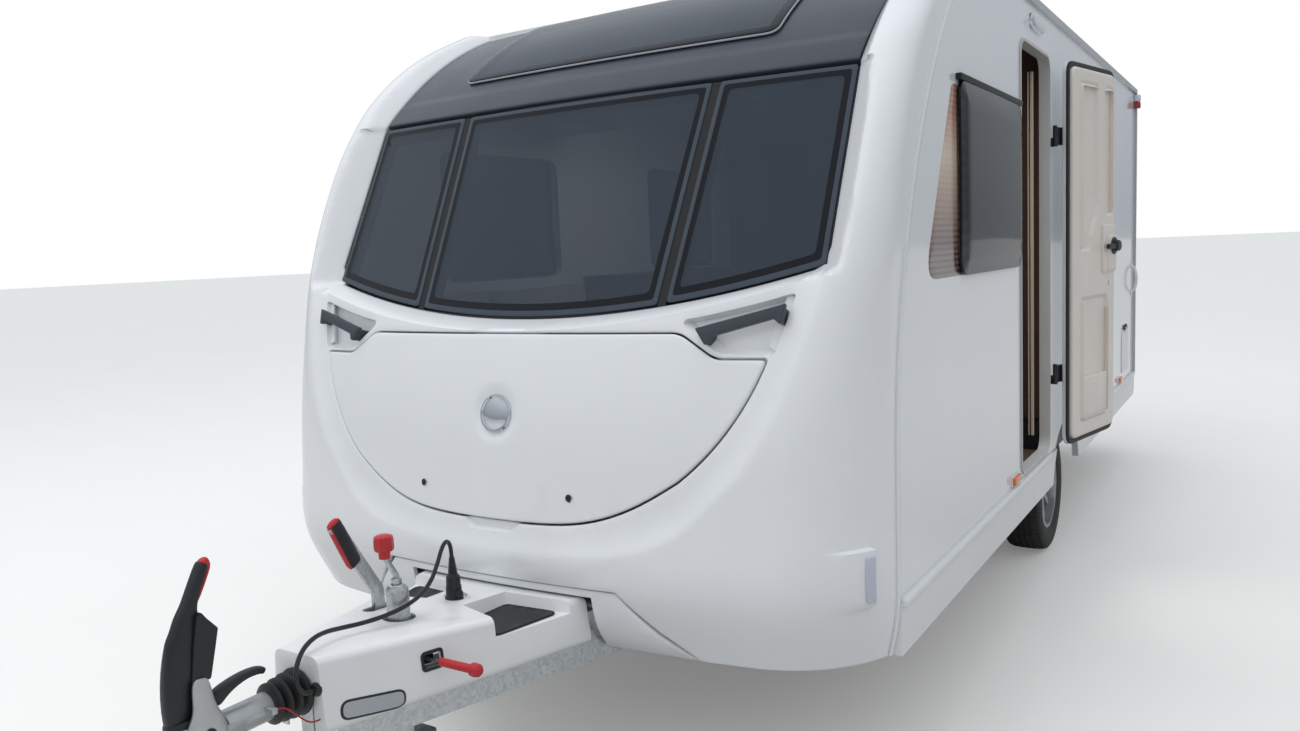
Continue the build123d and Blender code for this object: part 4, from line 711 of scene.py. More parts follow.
def mirrored(obj: Object, name: str) -> Object:
    """Copies an object to the other side of the middle, facing outwards.

    Args:
        obj: The object.
        name: Name of the copy.

    Returns:
        The copy.
    """
    copy = obj.copy()
    copy.data = obj.data.copy()
    copy.name = copy.data.name = name
    bpy.context.scene.collection.objects.link(copy)
    copy.data.transform(Matrix.Scale(-1, 4, Vector((1, 0, 0))))
    copy.data.flip_normals()
    return copy


def softened(node: str, radius: float, finish: Finish, degrees: float = 30.0) -> Object:
    """Copies a node's mesh with its edges rounded and lets the copy stand for the node.

    Args:
        node: Name of the node.
        radius: Edge radius.
        finish: Finish of the piece.
        degrees: Edges sharper than this are rounded.

    Returns:
        The new object.
    """
    source = bpy.data.objects[node]
    piece = source.copy()
    piece.data = source.data.copy()
    piece.parent = None
    piece.matrix_world = Matrix.Identity(4)
    piece.name = piece.data.name = f"{node}_finished"
    bpy.context.scene.collection.objects.link(piece)
    piece.data.materials.clear()
    piece.data.materials.append(finish.material())
    activate(piece)
    bpy.ops.object.mode_set(mode="EDIT")
    bpy.ops.mesh.select_all(action="SELECT")
    bpy.ops.mesh.remove_doubles(threshold=0.00002)
    bpy.ops.mesh.dissolve_limited(angle_limit=math.radians(1.0))
    bpy.ops.object.mode_set(mode="OBJECT")
    modifier = piece.modifiers.new("Edges", "BEVEL")
    modifier.width = radius
    modifier.segments = 2
    modifier.limit_method = "ANGLE"
    modifier.angle_limit = math.radians(degrees)
    modifier.harden_normals = False
    bpy.ops.object.modifier_apply(modifier=modifier.name)
    shade(piece, 40.0)
    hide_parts(node)
    return piece


def linear(hex_colour: str) -> tuple[float, float, float, float]:
    """Turns an sRGB hex colour into linear values."""
    values = []
    for start in (1, 3, 5):
        part = int(hex_colour[start:start + 2], 16) / 255
        values.append(part / 12.92 if part <= 0.04045 else ((part + 0.055) / 1.055) ** 2.4)
    return values[0], values[1], values[2], 1.0


def add_node(
    owner: Material | bpy.types.World,
    kind: str,
    values: dict[str | int, object] | None = None,
    **settings: object,
) -> bpy.types.Node:
    """Adds a node with its settings, socket values and links.

    Args:
        owner: Material or world that gets the node.
        kind: Blender's type name of the node.
        values: Socket values or source sockets by the input's name or number.
        settings: Properties of the node.

    Returns:
        The new node.
    """
    node = owner.node_tree.nodes.new(kind)
    for key, value in settings.items():
        setattr(node, key, value)
    for key, value in (values or {}).items():
        if isinstance(value, Socket):
            owner.node_tree.links.new(value, node.inputs[key])
        else:
            node.inputs[key].default_value = value
    return node


@dataclass(frozen=True)
class Finish:
    """A surface finish: colour with faint cloudy variation, gloss and a fine moulded or worn grain."""

    name: str
    colour: str
    second: str = ""
    roughness: float = 0.4
    metallic: float = 0.0
    ior: float = 1.5
    coat: float = 0.0
    grain_mm: float = 1.2
    grain_depth: float = 0.04
    cloud_mm: float = 180.0
    alpha: float = 1.0
    gloss_spread: float = 0.06

    def pattern(self, material: Material, coords: Socket) -> Socket:
        """The cloudy mix factor that most finishes share."""
        return add_node(material, "ShaderNodeTexNoise", {
            "Vector": coords, "Scale": 1000 / self.cloud_mm, "Detail": 3.0, "Roughness": 0.55}).outputs["Fac"]

    def relief(self, material: Material, coords: Socket) -> Socket:
        """The height of the fine grain."""
        return add_node(material, "ShaderNodeTexNoise", {
            "Vector": coords, "Scale": 1000 / self.grain_mm, "Detail": 2.0}).outputs["Fac"]

    def colours(self, material: Material, coords: Socket, factor: Socket) -> Socket:
        """The base colour, mixed between the finish's two colours."""
        return add_node(material, "ShaderNodeMix", {
            "Factor": factor, 6: linear(self.colour), 7: linear(self.second or self.colour)},
            data_type="RGBA").outputs[2]

    def material(self) -> Material:
        """Builds the material once and gives it back after that."""
        existing = bpy.data.materials.get(self.name)
        if existing:
            return existing
        material = bpy.data.materials.new(self.name)
        material.use_nodes = True
        shader = material.node_tree.nodes["Principled BSDF"]
        links = material.node_tree.links
        coords = add_node(material, "ShaderNodeTexCoord").outputs["Object"]
        factor = self.pattern(material, coords)
        links.new(self.colours(material, coords, factor), shader.inputs["Base Color"])
        gloss = add_node(material, "ShaderNodeMapRange", {
            "Value": factor, "To Min": max(self.roughness - self.gloss_spread, 0.02),
            "To Max": min(self.roughness + self.gloss_spread, 1.0)})
        links.new(gloss.outputs["Result"], shader.inputs["Roughness"])
        bump = add_node(material, "ShaderNodeBump", {
            "Height": self.relief(material, coords), "Strength": self.grain_depth, "Distance": 0.001})
        links.new(bump.outputs["Normal"], shader.inputs["Normal"])
        shader.inputs["Metallic"].default_value = self.metallic
        shader.inputs["IOR"].default_value = self.ior
        shader.inputs["Coat Weight"].default_value = self.coat
        shader.inputs["Coat Roughness"].default_value = 0.05
        shader.inputs["Alpha"].default_value = self.alpha
        return material


@dataclass(frozen=True)
class Galvanised(Finish):
    """Hot-dip zinc: flat crystals, each with its own grey."""

    crystal_mm: float = 9.0

    def pattern(self, material: Material, coords: Socket) -> Socket:
        """Crystal cells of the zinc layer."""
        cells = add_node(material, "ShaderNodeTexVoronoi", {
            "Vector": coords, "Scale": 1000 / self.crystal_mm})
        return add_node(material, "ShaderNodeSeparateColor", {"Color": cells.outputs["Color"]}).outputs["Red"]


@dataclass(frozen=True)
class Woven(Finish):
    """Plain weave: two crossing wave patterns give the threads."""

    thread_mm: float = 3.0

    def relief(self, material: Material, coords: Socket) -> Socket:
        """Height of the warp and weft."""
        heights = [add_node(
            material, "ShaderNodeTexWave",
            {"Vector": coords, "Scale": 1000 / self.thread_mm / 6.28, "Distortion": 0.6},
            bands_direction=direction).outputs["Fac"] for direction in ("Y", "Z")]
        return add_node(material, "ShaderNodeMath", {0: heights[0], 1: heights[1]},
                        operation="MULTIPLY").outputs["Value"]


@dataclass(frozen=True)
class Veneer(Finish):
    """Wood-look laminate: long grain drawn along the height."""

    def pattern(self, material: Material, coords: Socket) -> Socket:
        """Stretched streaks of the grain."""
        stretched = add_node(material, "ShaderNodeMapping", {"Vector": coords, "Scale": (1.0, 1.0, 0.08)})
        return add_node(material, "ShaderNodeTexNoise", {
            "Vector": stretched.outputs["Vector"], "Scale": 60.0, "Detail": 6.0,
            "Distortion": 0.8}).outputs["Fac"]


@dataclass(frozen=True)
class GradedFilm(Finish):
    """Printed film whose colour runs from copper at the top over cream to brown, with rows of small dots."""

    low: float = 1.42
    high: float = 2.02
    stops: tuple[tuple[float, str], ...] = (
        (0.0, "#3E2C2E"), (0.18, "#6B4A46"), (0.42, "#B59A86"), (0.62, "#D9C3AC"), (0.82, "#B9866F"),
        (1.0, "#8F5A4C"))
    row_mm: float = 18.0
    dot_colour: str = "#E8D6C4"
    dot_share: float = 0.22

    def colours(self, material: Material, coords: Socket, factor: Socket) -> Socket:
        """Height gradient with a lattice of faint round dots."""
        axes = add_node(material, "ShaderNodeSeparateXYZ", {"Vector": coords})
        share = add_node(material, "ShaderNodeMapRange", {
            "Value": axes.outputs["Z"], "From Min": level(self.low), "From Max": level(self.high)})
        ramp = add_node(material, "ShaderNodeValToRGB", {"Fac": share.outputs["Result"]})
        elements = ramp.color_ramp.elements
        while len(elements) < len(self.stops):
            elements.new(0.5)
        for element, (position, colour) in zip(elements, self.stops):
            element.position = position
            element.color = linear(colour)
        dots = add_node(material, "ShaderNodeTexVoronoi", {
            "Vector": coords, "Scale": 1000 / self.row_mm, "Randomness": 0.0})
        edge = add_node(material, "ShaderNodeMath", {0: dots.outputs["Distance"], 1: 0.34},
                        operation="LESS_THAN")
        part = add_node(material, "ShaderNodeMath", {0: edge.outputs["Value"], 1: self.dot_share},
                        operation="MULTIPLY")
        return add_node(material, "ShaderNodeMix", {
            "Factor": part.outputs["Value"], 6: ramp.outputs["Color"], 7: linear(self.dot_colour)},
            data_type="RGBA").outputs[2]


# Moulded glass-fibre gel coat: glossy, with a slight ripple in long reflections
GELCOAT = Finish("Gelcoat_white", "#EDEFF1", "#E8EAED", 0.16, coat=0.5, grain_mm=60.0, grain_depth=0.03)
# Painted aluminium sheet on foam: glossy and almost flat
WALL_PAINT = Finish("Painted_aluminium_white", "#E9ECEF", "#E4E7EB", 0.14, coat=0.6, grain_mm=140.0,
                    grain_depth=0.03)
# Vacuum-formed ABS: white, satin, fine grain
ABS_WHITE = Finish("ABS_white", "#ECEDEE", "#E4E5E6", 0.32, grain_mm=2.0, grain_depth=0.05)
# Satin graphite film on the header: deep, with soft reflections
GRAPHITE = Finish("Graphite_film", "#363D46", "#30363F", 0.34, coat=0.15, grain_mm=40.0, grain_depth=0.02)
# Smoked acrylic double panes: dark tint, mirror gloss, part see-through
ACRYLIC = Finish("Smoked_acrylic", "#333F4B", "#2B3642", 0.04, ior=1.49, grain_mm=400.0, grain_depth=0.0,
                 alpha=0.70, gloss_spread=0.02)
# Acrylic printed black from behind: opaque, with duller reflections than the clear middle
ACRYLIC_EDGE = Finish("Smoked_acrylic_border", "#080D15", "#060A11", 0.14, ior=1.35, grain_mm=160.0,
                      grain_depth=0.02, gloss_spread=0.02)
# Side panes: smoked tint made darker and almost opaque, painted shade for the dim cabin behind them
ACRYLIC_SIDE_PAINTED_SHADE = Finish("Smoked_acrylic_side", "#14181D", "#101419", 0.05, ior=1.49, grain_mm=400.0,
                      grain_depth=0.0, alpha=0.86, gloss_spread=0.02)
# Blue-grey printed frame outside the black band of each pane
PANE_FRAME = Finish("Printed_acrylic_frame", "#39434F", "#333D48", 0.22, ior=1.49, grain_mm=160.0,
                    grain_depth=0.0, gloss_spread=0.02)
# Extruded rubber gasket: matt black
GASKET = Finish("EPDM_gasket", "#141415", "#1B1B1C", 0.55, grain_mm=1.0, grain_depth=0.1)
# Reflex plate: pale lilac white under a glossy top layer
MARKER_PLATE = Finish("Reflex_plate", "#C9CDDA", "#BDC2D0", 0.22, coat=0.4, grain_mm=4.0, grain_depth=0.1)
# Grained black ABS: soft highlights broken up by the mould's texture
ABS_BLACK = Finish("ABS_black", "#12161B", "#191D22", 0.42, grain_mm=1.5, grain_depth=0.25)
# Glass-filled nylon grip: dark grey, satin
GRIP_GREY = Finish("Nylon_grey", "#3B424A", "#343B42", 0.38, grain_mm=1.5, grain_depth=0.15)
# Hot-dip zinc on steel: dull grey with crystals a few millimetres wide
ZINC = Galvanised("Galvanised_steel", "#A9ADB0", "#C3C7C9", 0.38, 0.9, grain_mm=2.5, grain_depth=0.12)
# Cast spheroidal iron, zinc plated: pale, with a sandy skin
CASTING = Finish("Cast_iron_plated", "#C6C8C8", "#ADAFB0", 0.40, 0.80, grain_mm=2.0, grain_depth=0.35,
                 cloud_mm=40.0)
# Chrome plate: a mirror
CHROME = Finish("Chrome_plate", "#D5D8DB", "#C9CDD1", 0.08, 1.0, grain_mm=50.0, grain_depth=0.01)
# Brushed and anodised aluminium: satin metal
ANODISED = Finish("Anodised_aluminium", "#C4C7CA", "#B5B9BC", 0.34, 0.85, grain_mm=0.8, grain_depth=0.05)
# Metallic wheel paint under clear coat
ALLOY = Finish("Alloy_wheel_paint", "#B9BDC1", "#AEB2B6", 0.28, 0.75, coat=0.4, grain_mm=1.0,
               grain_depth=0.03)
# Vulcanised tyre rubber: matt, greyer in patches
TYRE = Finish("Tyre_rubber", "#1C1C1D", "#262524", 0.62, grain_mm=3.0, grain_depth=0.3, cloud_mm=60.0)
# Moulded rubber of bellows and pads: a little smoother than a tyre
RUBBER = Finish("Moulded_rubber", "#161617", "#202021", 0.5, grain_mm=2.0, grain_depth=0.2)
# Thermoformed beige ABS of the door's inside: leather-like grain
LINER = Finish("ABS_liner_beige", "#EBE4DD", "#E2DAD2", 0.36, grain_mm=1.6, grain_depth=0.22)
# Powder-coated aluminium of the door frame: pale grey, even
FRAME_GREY = Finish("Door_frame_grey", "#C9C9C8", "#BDBDBC", 0.4, grain_mm=2.0, grain_depth=0.06)
# Soft PVC: black sheath and red strand, both with a low sheen
CABLE = Finish("PVC_sheath", "#151617", "#1D1E1F", 0.34, grain_mm=2.0, grain_depth=0.08)
RED_PVC = Finish("PVC_red", "#B01C1C", "#A01616", 0.32, grain_mm=2.0, grain_depth=0.06)
# Injection-moulded red plastic of grips and knobs
RED_GRIP = Finish("Moulded_red", "#C4262A", "#B01F24", 0.33, grain_mm=2.0, grain_depth=0.1)
# Lenses of moulded acrylic: deep glossy colour over a prism pattern a few millimetres wide
AMBER = Finish("Amber_lens", "#F0700E", "#E36408", 0.14, ior=1.49, coat=0.6, grain_mm=5.0, grain_depth=0.3)
RED_LENS = Finish("Red_lens", "#B0151A", "#A01015", 0.14, ior=1.49, coat=0.6, grain_mm=5.0,
                  grain_depth=0.3)
CLEAR_LENS = Finish("Clear_lens", "#DDE2E8", "#CBD1D8", 0.1, ior=1.49, coat=0.6, grain_mm=6.0,
                    grain_depth=0.3)
# Laminates with printed wood grain: dark on the furniture, pale on its edges, worn brown on the floor
OAK = Veneer("Furniture_laminate", "#553C30", "#3E2B24", 0.4, grain_mm=3.0, grain_depth=0.08)
PALE_LAMINATE = Veneer("Pale_laminate", "#CDBFAE", "#B9A893", 0.38, grain_mm=3.0, grain_depth=0.06)
VINYL = Veneer("Floor_vinyl", "#6F5C4B", "#584838", 0.45, grain_mm=4.0, grain_depth=0.1)
# Plain-woven upholstery: matt, with a visible thread
FABRIC = Woven("Woven_upholstery", "#9B948B", "#857E75", 0.85, grain_depth=0.6, cloud_mm=25.0)
FABRIC_LIGHT = Woven("Woven_upholstery_light", "#B9B2A8", "#A59E94", 0.85, grain_depth=0.6, cloud_mm=25.0)
# Printed and silver self-adhesive films: smooth, slightly glossy
FILM = GradedFilm("Printed_side_film", "#B9866F", "#8F5A4C", 0.2, coat=0.4, grain_mm=80.0,
                  grain_depth=0.02)
SILVER_FILM = Finish("Silver_trim_film", "#A9AEB3", "#9DA2A7", 0.25, 0.3, coat=0.3, grain_mm=60.0,
                     grain_depth=0.02)


def smile(x: float) -> float:
    """Distance along the glass from the sill's middle to the lower edge at one x."""
    return (SMILE_RADIUS - math.sqrt(SMILE_RADIUS ** 2 - x * x)) / math.cos(RAKE)


def glass(x: float, v: float) -> Vector:
    """Point of the bowed glazing at an x and a distance up the glass."""
    y = SILL_Y + v * math.sin(RAKE)
    bowed_y = BOW_AXIS_Y - math.sqrt((BOW_AXIS_Y - y) ** 2 - x * x)
    return Vector((x, bowed_y, level(SILL + v * math.cos(RAKE))))


class NoseForm:
    """The moulded front as a surface: plan outlines at a few heights, the dish and the window well."""

    # height, nose y, bow over the half width, corner radius
    SECTIONS = (
        (0.400, 1.050, 0.125, 0.380), (0.600, 0.965, 0.135, 0.330), (0.850, 0.980, 0.135, 0.300),
        (1.250, 1.060, 0.130, 0.220), (1.500, 1.150, 0.112, 0.150), (1.750, 1.270, 0.096, 0.110),
        (2.020, 1.430, 0.090, 0.100), (2.160, 1.549, 0.088, 0.095), (2.410, 1.914, 0.084, 0.090),
        (2.500, 2.120, 0.080, 0.085),
    )
    # half of the soft ridge round the dish: x and height
    RIDGE = ((0.986, 1.475), (0.972, 1.395), (0.945, 1.277), (0.898, 1.130), (0.850, 1.030), (0.797, 0.945),
             (0.710, 0.852), (0.630, 0.776), (0.522, 0.720), (0.396, 0.692), (0.200, 0.676), (0.0, 0.672))
    # seam to the side wall: y at the ground and at the bend, height of the bend
    SEAM_LOW_Y, SEAM_BEND_Y, SEAM_BEND = 1.345, 1.370, 0.950
    # window well: half width, start of its wall under the glazing, slope of the wall, blend into the nose
    WELL_HALF = WINDOW_HALF + 0.003
    WELL_START = 0.003
    FLARE = 0.90
    BLEND = 0.016
    # rays that find the well's edge start at this height and are flattened by this share
    WELL_CENTRE = 2.02
    WELL_FLAT = 0.62
    DISH_DEPTH = 0.020
    DISH_EDGE = 0.045
    DISH_TOP = ((-1.0, 1.62), (1.0, 1.62))
    # pocket behind each grab handle: corners, depth and length of the wall
    SCOOP = ((0.598, 1.340), (0.606, 1.328), (0.640, 1.306), (0.694, 1.268), (0.726, 1.255), (0.790, 1.253),
             (0.850, 1.253), (0.862, 1.258), (0.868, 1.272), (0.886, 1.330), (0.906, 1.398), (0.906, 1.412),
             (0.894, 1.414), (0.842, 1.398), (0.705, 1.368), (0.640, 1.356), (0.604, 1.352))
    SCOOP_DEPTH = 0.034
    SCOOP_WALL = 0.014
    SCOOP_LIP = 0.002
    # x from and to, height from and to, past which the dish and the scoops have no depth
    DISH_REACH = (0.0, 1.05, 0.66, 1.62)
    SCOOP_REACH = (0.56, 1.02, 1.22, 1.44)
    # pocket of the marker plates: height from, height to, depth, length over which it runs out
    MARKER = (0.572, 0.748, 0.024, 0.160)
    MARKER_FLOOR, MARKER_ROOF, MARKER_END = 0.022, 0.006, 0.005
    MARKER_INWARD = (-0.90, 0.42)
    # finger hollow under the lid: half width below and above, height from and to, depth
    FINGER = (0.078, 0.104, 0.736, 0.7615, 0.014)
    # spacing of the heights at which the sections are tabled
    STEP = 0.004

    def __init__(self) -> None:
        """Fits smooth curves through the sections and measures the seam's arc."""
        self.heights = np.arange(0.38, 2.505, self.STEP)
        table = np.array(self.SECTIONS)
        self.columns = [self.curve(table[:, 0], table[:, k], self.heights) for k in (1, 2, 3)]
        self.ridge = np.array([*self.RIDGE, *((-x, z) for x, z in reversed(self.RIDGE[:-1]))])
        self.dish_loop = [*map(tuple, self.ridge), *self.DISH_TOP]
        self.scoop_loop = np.array(refined(softly(self.SCOOP), 0.012))
        self.marker_s = self.arc_of_x(1.083, 0.664)
        low = Vector((self.SEAM_LOW_Y, 0.0))
        bend = Vector((self.SEAM_BEND_Y, self.SEAM_BEND))
        along = (bend - low).normalized()
        side = Vector((along.y, -along.x))
        chord = Vector((ROOF_START_Y, ROOF)) - bend
        self.seam_radius = chord.length_squared / (2 * chord.dot(side))
        self.seam_centre = bend + side * self.seam_radius

    @staticmethod
    def curve(at: np.ndarray, values: np.ndarray, where: np.ndarray) -> np.ndarray:
        """Runs a smooth curve through values at uneven places.

        Args:
            at: Places of the values.
            values: The values.
            where: Places at which the curve is read.

        Returns:
            The curve's value at each of those places.
        """
        gaps = np.diff(at)
        slopes = np.diff(values) / gaps
        inner = (slopes[:-1] * gaps[1:] + slopes[1:] * gaps[:-1]) / (gaps[1:] + gaps[:-1])
        ends = np.concatenate([[slopes[0]], inner, [slopes[-1]]])
        spot = np.clip(np.searchsorted(at, where) - 1, 0, len(gaps) - 1)
        t = (where - at[spot]) / gaps[spot]
        a, b = values[spot], values[spot + 1]
        m, n = ends[spot] * gaps[spot], ends[spot + 1] * gaps[spot]
        return a + m * t + (3 * (b - a) - 2 * m - n) * t ** 2 + (2 * (a - b) + m + n) * t ** 3

    def section(self, height: float) -> tuple[float, float, float]:
        """Nose y, bow and corner radius at one height."""
        spot = min(max((height - self.heights[0]) / self.STEP, 0.0), len(self.heights) - 1.001)
        index, share = int(spot), spot - int(spot)
        return tuple(float(c[index] * (1 - share) + c[index + 1] * share) for c in self.columns)

    def arcs(self, height: float) -> tuple[float, float, float, float]:
        """Nose y, corner radius, bow radius and the bow's half angle at one height."""
        nose_y, bow, corner = self.section(height)
        radius = (HALF * HALF + bow * bow) / (2 * bow)
        return nose_y, corner, radius, math.asin((HALF - corner) / (radius - corner))

    def plan(self, s: float, height: float) -> Point:
        """Finds a point of the outline at one height.

        Args:
            s: Distance along the outline from the middle, positive on the nearside.
            height: Height above the ground.

        Returns:
            Its x and y.
        """
        nose_y, corner, radius, turn = self.arcs(height)
        centre_y = nose_y + radius
        knee_y = centre_y - math.sqrt((radius - corner) ** 2 - (HALF - corner) ** 2)
        first, second = radius * turn, corner * (math.pi / 2 - turn)
        a = abs(s)
        if a <= first:
            x, y = radius * math.sin(a / radius), centre_y - radius * math.cos(a / radius)
        elif a <= first + second:
            angle = turn + (a - first) / corner
            x, y = HALF - corner + corner * math.sin(angle), knee_y - corner * math.cos(angle)
        else:
            x, y = HALF, knee_y + a - first - second
        return math.copysign(x, s), y

    def arc_of_x(self, x: float, height: float) -> float:
        """Measures the distance along the outline to an x value.

        Args:
            x: Distance from the middle plane, positive on the nearside.
            height: Height above the ground.

        Returns:
            The distance, with the sign of x.
        """
        _, corner, radius, turn = self.arcs(height)
        a = abs(x)
        if a <= radius * math.sin(turn):
            s = radius * math.asin(a / radius)
        else:
            s = radius * turn + corner * (math.asin(min((a - HALF + corner) / corner, 1.0)) - turn)
        return math.copysign(s, x)

    def seam_y(self, height: float) -> float:
        """Place of the seam to the side wall at one height."""
        if height <= self.SEAM_BEND:
            return self.SEAM_LOW_Y + (self.SEAM_BEND_Y - self.SEAM_LOW_Y) * height / self.SEAM_BEND
        rise = height - self.seam_centre.y
        return self.seam_centre.x - math.sqrt(max(self.seam_radius ** 2 - rise ** 2, 0.0))

    def arc_of_y(self, y: float, height: float) -> float:
        """Measures the distance along the outline to a y value on the nearside.

        Args:
            y: Place along the body.
            height: Height above the ground.

        Returns:
            The distance.
        """
        low, high = 0.0, 4.0
        for _ in range(30):
            middle = (low + high) / 2
            if self.plan(middle, height)[1] < y:
                low = middle
            else:
                high = middle
        return low

    @staticmethod
    def beyond(x: float, height: float, reach: tuple[float, float, float, float]) -> bool:
        """Whether a point lies outside a range of x and height."""
        return not (reach[0] <= abs(x) <= reach[1] and reach[2] <= height <= reach[3])

    def dish(self, x: float, height: float) -> float:
        """Depth of the dish inside the soft ridge at an x and a height."""
        here = (x, height)
        if self.beyond(x, height, self.DISH_REACH) or not inside(np.array([here]), self.dish_loop)[0]:
            return 0.0
        gap = gap_to(here, self.ridge[:-1], self.ridge[1:])
        return self.DISH_DEPTH * (1 - math.exp(-(gap / self.DISH_EDGE) ** 1.3))

    def flare(self, x: float, height: float) -> float:
        """Finds the y of the well's wall, which slopes out from the edge of the glazing.

        Args:
            x: Distance from the middle plane.
            height: Height above the ground.

        Returns:
            The wall's y.
        """
        bow = BOW_RADIUS - math.sqrt(BOW_RADIUS ** 2 - min(abs(x), 1.2) ** 2)
        side = (abs(x) - self.WELL_HALF) / self.FLARE
        if height > WINDOW_TOP:
            return HEADER.y_at(height) + bow - max(side, 0.0) / HEADER.lean(height)
        under = smile(x) - self.WELL_START - (height - SILL) / math.cos(RAKE)
        under /= self.FLARE - math.tan(RAKE)
        glass_y = SILL_Y + (height - SILL) * math.tan(RAKE)
        return glass_y + bow - max(side, under) / math.cos(RAKE)

    def scoop(self, x: float, height: float) -> float:
        """Depth of the pocket behind a grab handle at an x and a height."""
        if self.beyond(x, height, self.SCOOP_REACH):
            return 0.0
        gap = depth_in((abs(x), height), self.scoop_loop)
        return self.SCOOP_DEPTH * ease(gap, -self.SCOOP_LIP, self.SCOOP_WALL)

    def marker(self, s: float, height: float) -> float:
        """Finds the depth of the marker plate's pocket, which runs out towards the middle.

        Args:
            s: Distance along the outline from the middle.
            height: Height above the ground.

        Returns:
            The depth.
        """
        low, high, depth, fade = self.MARKER
        end = self.marker_s
        walls = ease(height, low, low + self.MARKER_FLOOR) * (1 - ease(height, high - self.MARKER_ROOF, high))
        ends = ease(abs(s), end - fade, end - 0.05) * (1 - ease(abs(s), end, end + self.MARKER_END))
        return depth * walls * ends

    def finger(self, x: float, height: float) -> float:
        """Finds the depth of the hollow under the lid's lower edge.

        Args:
            x: Distance from the middle plane.
            height: Height above the ground.

        Returns:
            The depth.
        """
        half_low, half_high, low, high, depth = self.FINGER
        if self.beyond(x, height, (0.0, half_high, low, high + 0.03)):
            return 0.0
        half = half_low + (half_high - half_low) * min((height - low) / (high - low), 1.0)
        return depth * ease(height, low, low + 0.007) * (1 - ease(abs(x), half - 0.012, half))

    def well_curve(self, target: float) -> Loop:
        """Finds the curve round the window well on which its wall stands at one place.

        Args:
            target: Distance of the wall behind the nose.

        Returns:
            The curve in distance along the nose and height.
        """
        curve: Loop = []
        for degrees in np.linspace(-40.0, 220.0, 150):
            turn = -math.radians(degrees)
            low, high = 0.30, 1.30
            for _ in range(22):
                reach = (low + high) / 2
                x, h = reach * math.cos(turn), self.WELL_CENTRE + reach * math.sin(turn) * self.WELL_FLAT
                past = abs(x) > 1.10 or h > 2.46
                if past or self.flare(x, h) - self.plan(self.arc_of_x(x, h), h)[1] - self.dish(x, h) <= target:
                    high = reach
                else:
                    low = reach
            h = self.WELL_CENTRE + low * math.sin(turn) * self.WELL_FLAT
            curve.append((self.arc_of_x(low * math.cos(turn), h), h))
        return curve

    def creases(self) -> list[Loop]:
        """Outlines of the pockets, which the mesh follows, in distance along the nose and height."""
        loops = []
        low, high, _, fade = self.MARKER
        for side in (1, -1):
            for inset in (0.0, 0.007, 0.0135):
                loop = offset(self.scoop_loop, inset) if inset else self.scoop_loop
                loops.append([(self.arc_of_x(side * x, z), z) for x, z in loop])
            for inset in (0.0, self.MARKER_ROOF, self.MARKER_FLOOR):
                start = self.marker_s - fade
                end = self.marker_s + self.MARKER_END - min(inset, self.MARKER_ROOF)
                bottom, top = low + inset, high - inset * 0.3
                loops.append([(side * s, v) for s, v in (
                    (start, bottom), (end, bottom), (end, top), (start, top))])
        loops.append([*self.well_curve(-self.BLEND), *reversed(self.well_curve(self.BLEND))])
        half_low, half_high, low, high, _ = self.FINGER
        for inset in (0.0, 0.007):
            bottom, top = low + inset, high - 0.0005 - inset * 0.1
            loops.append([(self.arc_of_x(x, v), v) for x, v in (
                (inset - half_low, bottom), (half_low - inset, bottom),
                (half_high - inset, top), (inset - half_high, top))])
        return loops

    def surface(self, s: float, v: float, pockets: bool = True) -> Vector:
        """Finds a point of the moulding.

        Args:
            s: Distance along the outline from the middle.
            v: Height above the ground; past the roof's height the point moves back along the roof.
            pockets: Whether the handle, marker and finger pockets are sunk in.

        Returns:
            The point.
        """
        height = min(v, ROOF)
        x, y = self.plan(s, height)
        if abs(x) < 1.095 and height > 0.6:
            y += self.dish(x, height)
            y = smooth_max(y, self.flare(x, height), self.BLEND)
            if pockets:
                y += self.scoop(x, height)
        if pockets and height < 0.8:
            depth = self.marker(s, height)
            x += math.copysign(self.MARKER_INWARD[0] * depth, s)
            y += self.MARKER_INWARD[1] * depth + self.finger(x, height)
        return Vector((x, y + max(v - ROOF, 0.0), level(height)))


class HeaderForm:
    """The header above the windows: an arc in side view, bowed across the front."""

    START = (1.562, 2.060)
    MIDDLE = (1.880, 2.320)
    END = (2.250, 2.496)

    def __init__(self) -> None:
        """Finds the circle through the three points."""
        (self.x, self.y), self.radius = circle_through(self.START, self.MIDDLE, self.END)
        self.first, last = (math.atan2(z - self.y, y - self.x) for y, z in (self.START, self.END))
        self.length = self.radius * (self.first - last)

    def profile(self, v: float) -> Point:
        """Side view point at a distance up the arc."""
        angle = self.first - v / self.radius
        return self.x + self.radius * math.cos(angle), self.y + self.radius * math.sin(angle)

    def y_at(self, height: float) -> float:
        """Place of the arc at one height."""
        rise = min(height, self.END[1]) - self.y
        return self.x - math.sqrt(max(self.radius ** 2 - rise ** 2, 0.0)) + max(height - self.END[1], 0.0) * 3

    def lean(self, height: float) -> float:
        """Share of a step along the arc that goes upwards."""
        rise = min(height, self.END[1]) - self.y
        return max(math.sqrt(max(self.radius ** 2 - rise ** 2, 0.0)) / self.radius, 0.3)

    def v_of_y(self, x: float, y: float) -> float:
        """Distance up the arc of a plan point."""
        flat_y = BOW_AXIS_Y - math.sqrt((BOW_AXIS_Y - y) ** 2 + x * x)
        angle = math.acos(max(min((flat_y - self.x) / self.radius, 1.0), -1.0))
        return (self.first - angle) * self.radius

    def surface(self, x: float, v: float, lift: float = 0.0) -> Vector:
        """Finds a point of the bowed header.

        Args:
            x: Distance from the middle plane.
            v: Distance up the arc.
            lift: How far the point is lifted off the header.

        Returns:
            The point.
        """
        y, height = self.profile(v)
        bowed_y = BOW_AXIS_Y - math.sqrt((BOW_AXIS_Y - y) ** 2 - x * x)
        angle = self.first - v / self.radius
        return Vector((x, bowed_y + lift * math.cos(angle), level(height) + lift * math.sin(angle)))


HEADER = HeaderForm()
NOSE = NoseForm()


